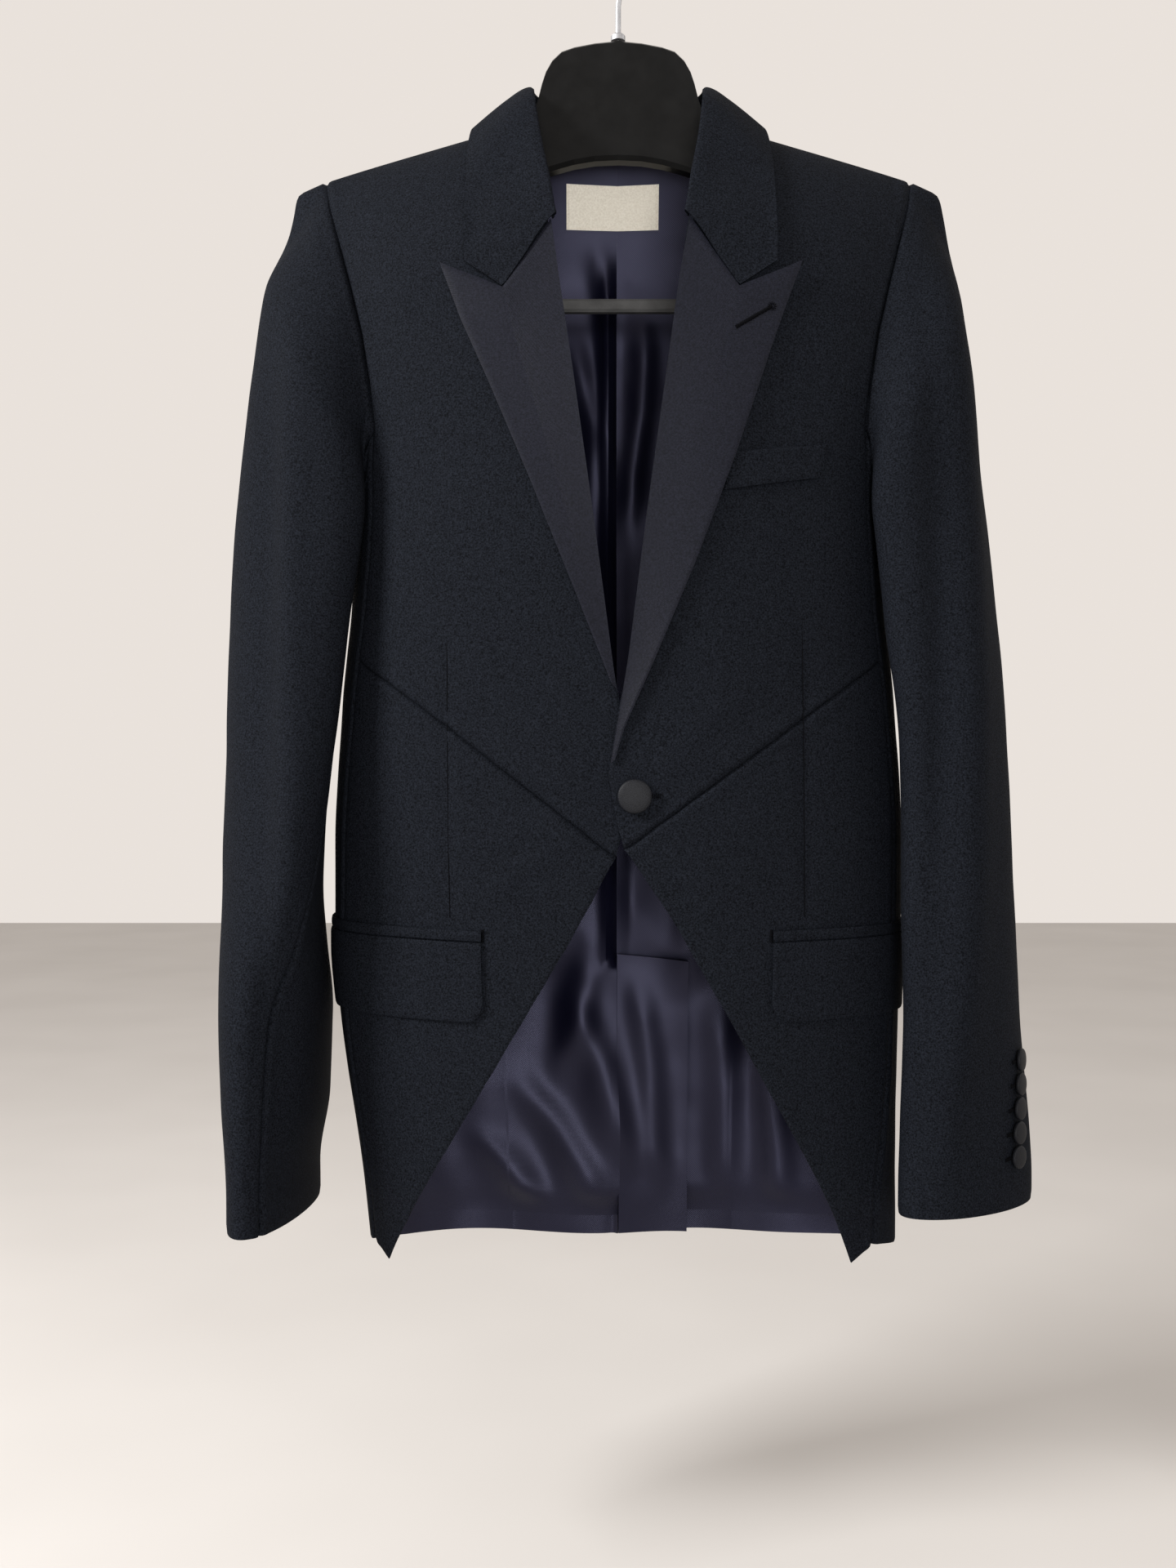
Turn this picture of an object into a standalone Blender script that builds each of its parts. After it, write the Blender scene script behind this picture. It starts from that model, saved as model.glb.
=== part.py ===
"""Single-button tailored blazer with peaked lapels, hanging on its moulded hanger.

Blender 4.5, metres, +Z up. The origin is where the hook bears on the rail that it hangs from.
+X is the wearer's left, which is the viewer's right, and -Y is the front of the blazer.

The torso is one round form: horizontal sections turned from the centre front (+90 degrees)
over the side (0) to the centre back (-90 degrees), closed at the top along the shoulder line.
Each cloth panel is a stretch of that form between its own seams, given a thin wall.
"""

import math
from typing import NamedTuple

import bpy
import numpy as np

# Walls and gaps
CLOTH = 0.0015
LAPEL_CLOTH = 0.0013
LINING_CLOTH = 0.0010
SEAM_INSET = 0.00015
ARMHOLE_GAP = 0.0009
RESTING_GAP = 0.0004

# The torso
SHOULDER_SLOPE = 0.29
SHOULDER_NECK_X = 0.070
SHOULDER_NECK_Z = -0.1345
SHOULDER_TIP_X = 0.186
CLOSING_DEPTH = 0.100
CLOSING_POWER = 1.6
SECTION_POWER = 2.4
FRONT_LAP = 0.0036
FRONT_LAP_FULL_X = 0.040
FRONT_LAP_END_X = 0.120

# The hem at the back hangs in soft waves
WAVE_TOP_Z = -0.700
WAVE_FULL_Z = -0.840
WAVE_DEPTH = 0.006
WAVE_CREST_X = -0.100
WAVE_LENGTH = 0.150


class TorsoSection(NamedTuple):
    """One horizontal section of the torso form."""

    z: float
    left_half_width: float
    right_half_width: float
    middle_y: float
    front_depth: float
    back_depth: float


TORSO = (
    TorsoSection(-0.890, 0.1775, 0.1560, 0.006, 0.058, 0.056),
    TorsoSection(-0.850, 0.1775, 0.1580, 0.006, 0.060, 0.055),
    TorsoSection(-0.800, 0.1770, 0.1630, 0.006, 0.064, 0.053),
    TorsoSection(-0.760, 0.1770, 0.1685, 0.006, 0.067, 0.052),
    TorsoSection(-0.700, 0.1785, 0.1770, 0.006, 0.071, 0.050),
    TorsoSection(-0.650, 0.1800, 0.1810, 0.006, 0.074, 0.046),
    TorsoSection(-0.600, 0.1805, 0.1810, 0.006, 0.077, 0.042),
    TorsoSection(-0.500, 0.1755, 0.1755, 0.006, 0.080, 0.040),
    TorsoSection(-0.440, 0.1700, 0.1700, 0.006, 0.083, 0.048),
    TorsoSection(-0.384, 0.1680, 0.1680, 0.006, 0.085, 0.055),
    TorsoSection(-0.336, 0.1730, 0.1730, 0.005, 0.082, 0.056),
    TorsoSection(-0.300, 0.1790, 0.1790, 0.003, 0.078, 0.056),
    TorsoSection(-0.245, 0.1880, 0.1880, 0.002, 0.071, 0.055),
    TorsoSection(-0.188, 0.1980, 0.1980, 0.000, 0.064, 0.051),
    TorsoSection(-0.140, 0.2050, 0.2050, 0.000, 0.060, 0.047),
    TorsoSection(-0.100, 0.2100, 0.2100, 0.000, 0.058, 0.045),
)


class SidePoint(NamedTuple):
    """A point given by its distance from the centre plane and its height."""

    x: float
    z: float


# The armhole runs from the shoulder tip down the front and down the back to the underarm.
# Each step is 20 degrees of the sleeve.
ARMHOLE_FRONT = (
    SidePoint(0.1860, -0.1680),
    SidePoint(0.1815, -0.1880),
    SidePoint(0.1735, -0.2160),
    SidePoint(0.1655, -0.2450),
    SidePoint(0.1580, -0.2760),
    SidePoint(0.1530, -0.3070),
    SidePoint(0.1505, -0.3360),
    SidePoint(0.1525, -0.3600),
    SidePoint(0.1590, -0.3770),
    SidePoint(0.1680, -0.3840),
)
ARMHOLE_BACK = (
    SidePoint(0.1860, -0.1680),
    SidePoint(0.1835, -0.1880),
    SidePoint(0.1780, -0.2160),
    SidePoint(0.1720, -0.2450),
    SidePoint(0.1670, -0.2760),
    SidePoint(0.1630, -0.3070),
    SidePoint(0.1610, -0.3360),
    SidePoint(0.1620, -0.3600),
    SidePoint(0.1650, -0.3770),
    SidePoint(0.1680, -0.3840),
)
ARMHOLE_CENTRE_Z = -0.276
TORSO_MIDDLE_Y = 0.002
UNDERARM_SPREAD_START = 4
SEAM_STEP = 7
UNDERARM_STEP = 9


class SideSeams(NamedTuple):
    """Where the side panel's two seams lie, as shares of the half width at a height."""

    z: float
    front_left: float
    front_right: float
    back: float


SIDE_SEAMS = (
    SideSeams(-0.890, 0.885, 0.968, 0.930),
    SideSeams(-0.840, 0.888, 0.965, 0.930),
    SideSeams(-0.720, 0.945, 0.955, 0.940),
    SideSeams(-0.600, 0.945, 0.945, 0.945),
    SideSeams(-0.476, 0.930, 0.930, 0.950),
    SideSeams(-0.360, 0.8945, 0.8945, 0.9505),
)


class FrontEdge(NamedTuple):
    """The free front edge of one side, from the neck to the point where the cutaway ends."""

    upper: tuple[SidePoint, ...]
    lower: tuple[SidePoint, ...]


WAIST_FRONT = {1: SidePoint(0.0021, -0.5910), -1: SidePoint(0.0026, -0.5958)}
FRONT_EDGES = {
    1: FrontEdge(
        upper=(
            SidePoint(0.0720, -0.1350),
            SidePoint(0.0409, -0.2141),
            SidePoint(0.0349, -0.2505),
            SidePoint(0.0263, -0.3127),
            SidePoint(0.0143, -0.3989),
            SidePoint(0.0047, -0.4756),
            SidePoint(-0.0015, -0.5139),
            SidePoint(-0.0073, -0.5474),
            SidePoint(-0.0073, -0.5700),
            WAIST_FRONT[1],
        ),
        lower=(
            WAIST_FRONT[1],
            SidePoint(0.0295, -0.6301),
            SidePoint(0.0417, -0.6521),
            SidePoint(0.0685, -0.6983),
            SidePoint(0.0984, -0.7531),
            SidePoint(0.1180, -0.7873),
            SidePoint(0.1294, -0.8098),
            SidePoint(0.1434, -0.8473),
        ),
    ),
    -1: FrontEdge(
        upper=(
            SidePoint(0.0720, -0.1350),
            SidePoint(0.0429, -0.2170),
            SidePoint(0.0360, -0.2540),
            SidePoint(0.0270, -0.3160),
            SidePoint(0.0150, -0.4020),
            SidePoint(0.0050, -0.4780),
            SidePoint(-0.0015, -0.5160),
            SidePoint(-0.0070, -0.5490),
            SidePoint(-0.0060, -0.5720),
            WAIST_FRONT[-1],
        ),
        lower=(
            WAIST_FRONT[-1],
            SidePoint(0.0290, -0.6448),
            SidePoint(0.0530, -0.6855),
            SidePoint(0.0777, -0.7276),
            SidePoint(0.1020, -0.7690),
            SidePoint(0.1180, -0.7962),
            SidePoint(0.1297, -0.8182),
            SidePoint(0.1439, -0.8480),
        ),
    ),
}
WAIST_SEAM_BEND = SidePoint(0.1099, -0.5132)
WAIST_SEAM_END_Z = -0.4761
FRONT_HEM_Z = -0.8380
BACK_SEAM_HEM_Z = -0.8500
BACK_HEM_Z = -0.8560
NECK_BACK_Z = -0.1400
NECK_SIDE_X = 0.0720
NECK_CURVE_POWER = 2.0
SHOULDER_SEAM_HALF_GAP = 0.00015
SHOULDER_MITRE = np.array([0.0, 0.0, -1.2])


def smooth_column(heights: np.ndarray, values: np.ndarray, at: np.ndarray) -> np.ndarray:
    """Read a smooth curve through a table's column that never overshoots its values."""
    order = np.argsort(heights)
    x, y = np.asarray(heights, float)[order], np.asarray(values, float)[order]
    step = np.diff(x)
    slope = np.diff(y) / step
    tangent = np.zeros_like(y)
    same_way = slope[:-1] * slope[1:] > 0
    first, second = 2 * step[1:] + step[:-1], step[1:] + 2 * step[:-1]
    with np.errstate(divide="ignore", invalid="ignore"):
        mean = (first + second) / (first / slope[:-1] + second / slope[1:])
    tangent[1:-1] = np.where(same_way, mean, 0.0)
    tangent[0], tangent[-1] = slope[0], slope[-1]
    where = np.clip(np.asarray(at, float), x[0], x[-1])
    cell = np.clip(np.searchsorted(x, where, side="right") - 1, 0, len(x) - 2)
    width = step[cell]
    t = (where - x[cell]) / width
    return (
        (1 + 2 * t) * (1 - t) ** 2 * y[cell]
        + t * (1 - t) ** 2 * width * tangent[cell]
        + t * t * (3 - 2 * t) * y[cell + 1]
        + t * t * (t - 1) * width * tangent[cell + 1]
    )


def table_value(table: tuple, column: str, z: np.ndarray) -> np.ndarray:
    """Read one column of a table at the given heights."""
    heights = np.array([row.z for row in table])
    values = np.array([getattr(row, column) for row in table])
    return smooth_column(heights, values, z)


def half_width(side: int, z: np.ndarray) -> np.ndarray:
    """Half width of the torso form on one side at a height."""
    return table_value(TORSO, "left_half_width" if side > 0 else "right_half_width", z)


def smoothstep(start: float, end: float, value: np.ndarray) -> np.ndarray:
    """Rise from 0 at start to 1 at end, flat at both."""
    t = np.clip((np.asarray(value, float) - start) / (end - start), 0.0, 1.0)
    return t * t * (3 - 2 * t)


def signed_power(value: np.ndarray, power: float) -> np.ndarray:
    """Raise the size of a number to a power and keep its sign."""
    return np.sign(value) * np.abs(value) ** power


def shoulder_line(x: np.ndarray) -> np.ndarray:
    """Height of the shoulder ridge at a distance from the centre plane."""
    return SHOULDER_NECK_Z - SHOULDER_SLOPE * (np.abs(x) - SHOULDER_NECK_X)


def closing(drop: np.ndarray) -> np.ndarray:
    """Share of the torso's full depth at a drop below the shoulder ridge."""
    share = np.clip(np.asarray(drop, float) / CLOSING_DEPTH, 0.0, 1.0)
    return (1 - (1 - share) ** CLOSING_POWER) ** (1 / CLOSING_POWER)


def hem_wave(x: np.ndarray, z: np.ndarray) -> np.ndarray:
    """How far the back hangs out or in from its plain form near the hem."""
    depth = WAVE_DEPTH * smoothstep(WAVE_TOP_Z, WAVE_FULL_Z, z)
    return depth * np.cos(math.tau * (x - WAVE_CREST_X) / WAVE_LENGTH)


def front_lap(side: int, x: np.ndarray, z: np.ndarray) -> np.ndarray:
    """How far the wearer's left front lies above the right one, near the centre."""
    near_centre = 1 - smoothstep(FRONT_LAP_FULL_X, FRONT_LAP_END_X, np.abs(x))
    return max(side, 0) * FRONT_LAP * near_centre * closing(shoulder_line(x) - z)


def body_point(side: int, turn: np.ndarray, z: np.ndarray) -> np.ndarray:
    """Point of the torso form on one side, at a turn in radians and a height."""
    turn, z = np.broadcast_arrays(np.asarray(turn, float), np.asarray(z, float))
    power = 2 / SECTION_POWER
    x = side * half_width(side, z) * signed_power(np.cos(turn), power)
    closed = closing(shoulder_line(x) - z)
    reach = np.abs(np.sin(turn)) ** power * closed
    front = table_value(TORSO, "front_depth", z) * reach
    back = table_value(TORSO, "back_depth", z) * reach + hem_wave(x, z) * reach
    front = front + front_lap(side, x, z)
    y = table_value(TORSO, "middle_y", z) + np.where(turn > 0, -front, back)
    return np.stack([x, y, z], axis=-1)


def turn_of(side: int, share: np.ndarray, front: bool) -> np.ndarray:
    """Turn at which the form is at a share of its half width, on the front or the back."""
    turn = np.arccos(np.clip(signed_power(share, SECTION_POWER / 2), -1.0, 1.0))
    return turn if front else -turn


def turn_at(side: int, x: np.ndarray, z: np.ndarray, front: bool) -> np.ndarray:
    """Turn at which the form is at a distance from the centre plane, at a height."""
    return turn_of(side, np.asarray(x, float) / half_width(side, z), front)


def body_inward(side: int, turn: np.ndarray, z: np.ndarray) -> np.ndarray:
    """Unit direction from the form's surface to its inside."""
    small_turn, small_z = 0.004, 0.0008
    lower = np.asarray(z, float) - small_z
    across = body_point(side, turn + small_turn, z) - body_point(side, turn - small_turn, z)
    upward = body_point(side, turn, lower + small_z) - body_point(side, turn, lower)
    inward = np.cross(across, upward) * side
    length = np.linalg.norm(inward, axis=-1, keepdims=True)
    return inward / np.maximum(length, 1e-12)


def armhole_at(steps: np.ndarray, front: bool) -> tuple[np.ndarray, np.ndarray]:
    """Distance from the centre plane and height of the armhole, by steps of 20 sleeve degrees."""
    table = ARMHOLE_FRONT if front else ARMHOLE_BACK
    counts = np.arange(len(table), dtype=float)
    x = smooth_column(counts, np.array([point.x for point in table]), steps)
    z = smooth_column(counts, np.array([point.z for point in table]), steps)
    return x, z


def armhole_turns(side: int, steps: np.ndarray, front: bool) -> np.ndarray:
    """The armhole as pairs of turn and height on the torso form."""
    x, z = armhole_at(steps, front)
    return np.stack([turn_at(side, x, z, front), z], axis=-1)


def armhole_mitre(steps: np.ndarray, front: bool) -> np.ndarray:
    """Direction from the armhole's outer edge to its inner edge, shared by torso and sleeve."""
    x, z = armhole_at(steps, front)
    y = body_point(-1, turn_at(-1, x, z, front), z)[..., 1]
    across = TORSO_MIDDLE_Y - y
    upward = ARMHOLE_CENTRE_Z - z
    length = np.hypot(across, upward)
    inward = np.where(steps < 1, 0.0, across / length)
    rise = np.where(steps < 1, -1.0, upward / length)
    toward_middle = smoothstep(UNDERARM_SPREAD_START, UNDERARM_STEP, steps)
    return np.stack([-toward_middle, inward, rise], axis=-1)


def seam_turn(side: int, z: np.ndarray, front: bool) -> np.ndarray:
    """Turn of the side panel's front or back seam at a height."""
    if front:
        column = "front_left" if side > 0 else "front_right"
        top = ARMHOLE_FRONT[SEAM_STEP]
    else:
        column = "back"
        top = ARMHOLE_BACK[SEAM_STEP]
    height = np.array(top.z)
    miss = top.x / half_width(side, height) - table_value(SIDE_SEAMS, column, height)
    share = table_value(SIDE_SEAMS, column, z) + miss * smoothstep(WAIST_SEAM_END_Z, top.z, z)
    return turn_of(side, share, front)


def seam_line(side: int, heights: np.ndarray, front: bool) -> np.ndarray:
    """The side panel's front or back seam as pairs of turn and height."""
    return np.stack([seam_turn(side, heights, front), heights], axis=-1)


def along(points: tuple[SidePoint, ...], shares: np.ndarray) -> np.ndarray:
    """Points at shares of the length of a line through the given points, as x and z."""
    line = np.array(points, float)
    run = np.concatenate([[0.0], np.cumsum(np.linalg.norm(np.diff(line, axis=0), axis=1))])
    run /= run[-1]
    x = np.interp(shares, run, line[:, 0])
    z = np.interp(shares, run, line[:, 1])
    return np.stack([x, z], axis=-1)


def as_turns(side: int, line: np.ndarray, front: bool) -> np.ndarray:
    """Change pairs of x and z, x positive on the side's own half, to turn and height."""
    return np.stack([turn_at(side, line[:, 0], line[:, 1], front), line[:, 1]], axis=-1)


def length_shares(points: np.ndarray) -> np.ndarray:
    """Share of a line's length at each of its points."""
    run = np.concatenate([[0.0], np.cumsum(np.linalg.norm(np.diff(points, axis=0), axis=1))])
    return run / run[-1]


def coons(top: np.ndarray, bottom: np.ndarray, start: np.ndarray, end: np.ndarray) -> np.ndarray:
    """Fill four border lines with a grid; start and end run from the top to the bottom."""
    across = length_shares(top)[None, :, None]
    down = length_shares(end)[:, None, None]
    ruled = (1 - down) * top[None] + down * bottom[None]
    other = (1 - across) * start[:, None] + across * end[:, None]
    corners = (
        (1 - down) * ((1 - across) * top[0] + across * top[-1])
        + down * ((1 - across) * bottom[0] + across * bottom[-1])
    )
    return ruled + other - corners


def drawn_in(grid: np.ndarray, edges: str, gap: float = SEAM_INSET) -> np.ndarray:
    """Draw the named edges of a grid back along it, to leave a seam's gap."""
    result = grid.copy()
    strips = {
        "top": (result[0], grid[0], grid[1]),
        "bottom": (result[-1], grid[-1], grid[-2]),
        "start": (result[:, 0], grid[:, 0], grid[:, 1]),
        "end": (result[:, -1], grid[:, -1], grid[:, -2]),
    }
    for name in edges.split():
        moved, edge, neighbour = strips[name]
        run = np.gradient(edge, axis=0)
        run /= np.maximum(np.linalg.norm(run, axis=-1, keepdims=True), 1e-12)
        toward = neighbour - edge
        toward = toward - (toward * run).sum(axis=-1, keepdims=True) * run
        moved += gap * toward / np.linalg.norm(toward, axis=-1, keepdims=True)
    return result


def sheet_solid(outer: np.ndarray, inner: np.ndarray) -> tuple[np.ndarray, list]:
    """Close two like grids into one thin solid, with triangles that match on both faces."""
    rows, columns = outer.shape[:2]
    points = np.concatenate([outer.reshape(-1, 3), inner.reshape(-1, 3)])
    shift = rows * columns
    faces = []
    for row in range(rows - 1):
        for column in range(columns - 1):
            a = row * columns + column
            b, c, d = a + 1, a + columns + 1, a + columns
            faces += [(a, b, c), (a, c, d)]
            faces += [(a + shift, c + shift, b + shift), (a + shift, d + shift, c + shift)]
    rim = list(range(columns))
    rim += [row * columns + columns - 1 for row in range(1, rows)]
    rim += [(rows - 1) * columns + column for column in range(columns - 2, -1, -1)]
    rim += [row * columns for row in range(rows - 2, 0, -1)]
    for here, after in zip(rim, rim[1:] + rim[:1]):
        if points[here][2] >= points[after][2]:
            faces += [(here, here + shift, after + shift), (here, after + shift, after)]
        else:
            faces += [(here, here + shift, after), (here + shift, after + shift, after)]
    return points, faces


def tube_normals(grid: np.ndarray) -> np.ndarray:
    """Unit normals of a tube's grid, whose rows are rings, from each point's neighbours."""
    down = np.gradient(grid, axis=0)
    across = np.roll(grid, -1, axis=1) - np.roll(grid, 1, axis=1)
    normal = np.cross(down, across)
    length = np.linalg.norm(normal, axis=-1, keepdims=True)
    return normal / np.maximum(length, 1e-12)


def signed_volume(points: np.ndarray, faces: list) -> float:
    """Volume of a closed triangle or quad mesh, positive when its faces point out."""
    total = 0.0
    for face in faces:
        first = points[face[0]]
        for second, third in zip(face[1:], face[2:]):
            total += np.dot(first, np.cross(points[second], points[third])) / 6
    return total


class Finish(NamedTuple):
    """Colour and surface of one kind of material."""

    colour: tuple[float, float, float]
    roughness: float
    metallic: float = 0.0


WOOL = Finish((0.012, 0.012, 0.013), 0.85)
GROSGRAIN = Finish((0.018, 0.018, 0.019), 0.60)
SATIN = Finish((0.020, 0.022, 0.032), 0.40)
CREAM = Finish((0.72, 0.70, 0.64), 0.80)
BUTTON_BLACK = Finish((0.010, 0.010, 0.010), 0.45)
HANGER_BLACK = Finish((0.015, 0.015, 0.015), 0.55)
STEEL = Finish((0.60, 0.60, 0.60), 0.25, 1.0)


def add_solid(name: str, points: np.ndarray, faces: list, finish: Finish) -> bpy.types.Object:
    """Make an object of its own from a closed mesh, with its own material."""
    if signed_volume(points, faces) < 0:
        faces = [tuple(reversed(face)) for face in faces]
    mesh = bpy.data.meshes.new(name)
    mesh.from_pydata([tuple(point) for point in points], [], faces)
    mesh.shade_smooth()
    mesh.set_sharp_from_angle(angle=math.radians(50))
    thing = bpy.data.objects.new(name, mesh)
    bpy.context.scene.collection.objects.link(thing)
    give_material(thing, finish)
    return thing


def give_material(thing: bpy.types.Object, finish: Finish) -> None:
    """Give an object a Principled material in its finish."""
    material = bpy.data.materials.new(thing.name)
    material.use_nodes = True
    shader = material.node_tree.nodes["Principled BSDF"]
    shader.inputs["Base Color"].default_value = (*finish.colour, 1.0)
    shader.inputs["Roughness"].default_value = finish.roughness
    shader.inputs["Metallic"].default_value = finish.metallic
    thing.data.materials.append(material)


SHOULDER_COLUMNS = 8
NECK_COLUMNS = 4
ARMHOLE_STEPS = np.array([0.0, 0.5, 1.0, 2.0, 3.0, 4.0, 5.0, 6.0, 7.0])
UNDERARM_STEPS = np.array([7.0, 8.0, 9.0])
CHEST_ROWS = 3
SKIRT_ROWS = 10
HEM_ROW_SHARES = np.linspace(0.0, 1.0, SKIRT_ROWS + 1)


def front_seam_heights() -> tuple[np.ndarray, np.ndarray]:
    """Heights of the rows on the front seam, above and below the waist seam's end."""
    top = ARMHOLE_FRONT[SEAM_STEP].z
    chest = np.linspace(top, WAIST_SEAM_END_Z, CHEST_ROWS + 1)
    skirt = WAIST_SEAM_END_Z + (FRONT_HEM_Z - WAIST_SEAM_END_Z) * HEM_ROW_SHARES
    return chest, skirt


def back_seam_heights() -> np.ndarray:
    """Heights of the rows on the back seam, from the armhole to the hem."""
    chest = np.linspace(ARMHOLE_BACK[SEAM_STEP].z, WAIST_SEAM_END_Z, CHEST_ROWS + 1)
    skirt = WAIST_SEAM_END_Z + (BACK_SEAM_HEM_Z - WAIST_SEAM_END_Z) * HEM_ROW_SHARES
    return np.concatenate([chest, skirt[1:]])


def shoulder_seam(side: int, front: bool) -> np.ndarray:
    """The shoulder seam from the neck to the tip, as turns and heights."""
    x = np.linspace(NECK_SIDE_X, SHOULDER_TIP_X, SHOULDER_COLUMNS + 1)
    z = shoulder_line(x)
    return np.stack([turn_at(side, x, z, front), z], axis=-1)


def waist_seam(side: int, columns: int) -> np.ndarray:
    """The slanted seam from the front edge over the waist to the front seam."""
    end_turn = seam_turn(side, np.array(WAIST_SEAM_END_Z), True)
    end_x = abs(float(body_point(side, end_turn, np.array(WAIST_SEAM_END_Z))[0]))
    corners = (WAIST_FRONT[side], WAIST_SEAM_BEND, SidePoint(end_x, WAIST_SEAM_END_Z))
    return as_turns(side, along(corners, np.linspace(0.0, 1.0, columns + 1)), True)


class Panel(NamedTuple):
    """A torso panel's outer face, and the way from each point of it to the inner face."""

    outer: np.ndarray
    inward: np.ndarray


def panel_on_form(side: int, turns: np.ndarray) -> Panel:
    """Lay a grid of turns and heights on the torso form."""
    outer = body_point(side, turns[..., 0], turns[..., 1])
    inward = body_inward(side, turns[..., 0], turns[..., 1])
    return Panel(outer, inward)


def panel_solid(
    panel: Panel, seams: str, thickness: float, depth: float = 0.0, gap: float = SEAM_INSET
) -> tuple:
    """Close a panel into a wall, its outer face at a depth below the form."""
    outer = drawn_in(panel.outer + depth * panel.inward, seams, gap)
    inner = drawn_in(panel.outer + (depth + thickness) * panel.inward, seams, gap)
    return sheet_solid(outer, inner)


def front_upper(side: int) -> Panel:
    """The front from the shoulder down to the slanted waist seam."""
    chest, _ = front_seam_heights()
    armhole = armhole_turns(side, ARMHOLE_STEPS, True)
    end = np.concatenate([armhole, seam_line(side, chest[1:], True)])
    edge = along(FRONT_EDGES[side].upper, length_shares(end))
    start = as_turns(side, edge, True)
    turns = coons(shoulder_seam(side, True), waist_seam(side, SHOULDER_COLUMNS), start, end)
    panel = panel_on_form(side, turns)
    panel.outer[0, :, 1] -= SHOULDER_SEAM_HALF_GAP
    panel.inward[0] = SHOULDER_MITRE
    panel.inward[: len(armhole), -1] = side_mitre(side, ARMHOLE_STEPS, True)
    return panel


def side_mitre(side: int, steps: np.ndarray, front: bool) -> np.ndarray:
    """The armhole's mitre turned to one side of the blazer."""
    return armhole_mitre(steps, front) * np.array([side, 1.0, 1.0])


def front_lower(side: int) -> Panel:
    """The front from the slanted waist seam to the cutaway and the hem."""
    _, skirt = front_seam_heights()
    end = seam_line(side, skirt, True)
    start = as_turns(side, along(FRONT_EDGES[side].lower, length_shares(end)), True)
    hem_end = body_point(side, end[-1, 0], end[-1, 1])
    corner = FRONT_EDGES[side].lower[-1]
    hem = (corner, SidePoint(abs(float(hem_end[0])), FRONT_HEM_Z))
    bottom = as_turns(side, along(hem, np.linspace(0.0, 1.0, SHOULDER_COLUMNS + 1)), True)
    return panel_on_form(side, coons(waist_seam(side, SHOULDER_COLUMNS), bottom, start, end))


def side_panel(side: int) -> Panel:
    """The panel under the arm, from the armhole's foot to the hem."""
    chest, skirt = front_seam_heights()
    start = seam_line(side, np.concatenate([chest, skirt[1:]]), True)
    end = seam_line(side, back_seam_heights(), False)
    front_foot = armhole_turns(side, UNDERARM_STEPS, True)
    back_foot = armhole_turns(side, UNDERARM_STEPS[::-1], False)
    top = np.concatenate([front_foot, back_foot[1:]])
    bottom = start[-1] + length_shares(top)[:, None] * (end[-1] - start[-1])
    panel = panel_on_form(side, coons(top, bottom, start, end))
    mitres = [side_mitre(side, UNDERARM_STEPS, True)]
    mitres.append(side_mitre(side, UNDERARM_STEPS[::-1], False)[1:])
    panel.inward[0] = np.concatenate(mitres)
    return panel


def back_panel(side: int) -> Panel:
    """The back from the shoulder and the neck to the hem, with its vent edge in the centre."""
    armhole = armhole_turns(side, ARMHOLE_STEPS, False)
    end = np.concatenate([armhole, seam_line(side, back_seam_heights()[1:], False)])
    neck_x = NECK_SIDE_X * np.linspace(0.0, 1.0, NECK_COLUMNS + 1)[:-1]
    neck_z = back_neck_height(neck_x)
    neck = np.stack([turn_at(side, neck_x, neck_z, False), neck_z], axis=-1)
    top = np.concatenate([neck, shoulder_seam(side, False)])
    centre_z = NECK_BACK_Z + (BACK_HEM_Z - NECK_BACK_Z) * length_shares(end)
    start = np.stack([np.full(len(centre_z), -math.pi / 2), centre_z], axis=-1)
    bottom_z = np.linspace(BACK_HEM_Z, BACK_SEAM_HEM_Z, len(top))
    bottom_turn = np.linspace(-math.pi / 2, end[-1, 0], len(top))
    bottom = np.stack([bottom_turn, bottom_z], axis=-1)
    panel = panel_on_form(side, coons(top, bottom, start, end))
    shoulder = slice(NECK_COLUMNS, None)
    panel.outer[0, shoulder, 1] += SHOULDER_SEAM_HALF_GAP
    panel.inward[0, shoulder] = SHOULDER_MITRE
    panel.inward[: len(armhole), -1] = side_mitre(side, ARMHOLE_STEPS, False)
    return panel


def back_neck_height(x: np.ndarray) -> np.ndarray:
    """Height of the back neck seam, from the centre back to the neck's side."""
    share = np.abs(x) / NECK_SIDE_X
    return NECK_BACK_Z + (shoulder_line(NECK_SIDE_X) - NECK_BACK_Z) * share ** NECK_CURVE_POWER


class SleeveSection(NamedTuple):
    """One level section of a sleeve: a flattened ring, turned and bent around the body."""

    z: float
    centre_x: float
    centre_y: float
    half_thickness: float
    half_depth: float
    yaw: float
    curl: float


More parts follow.
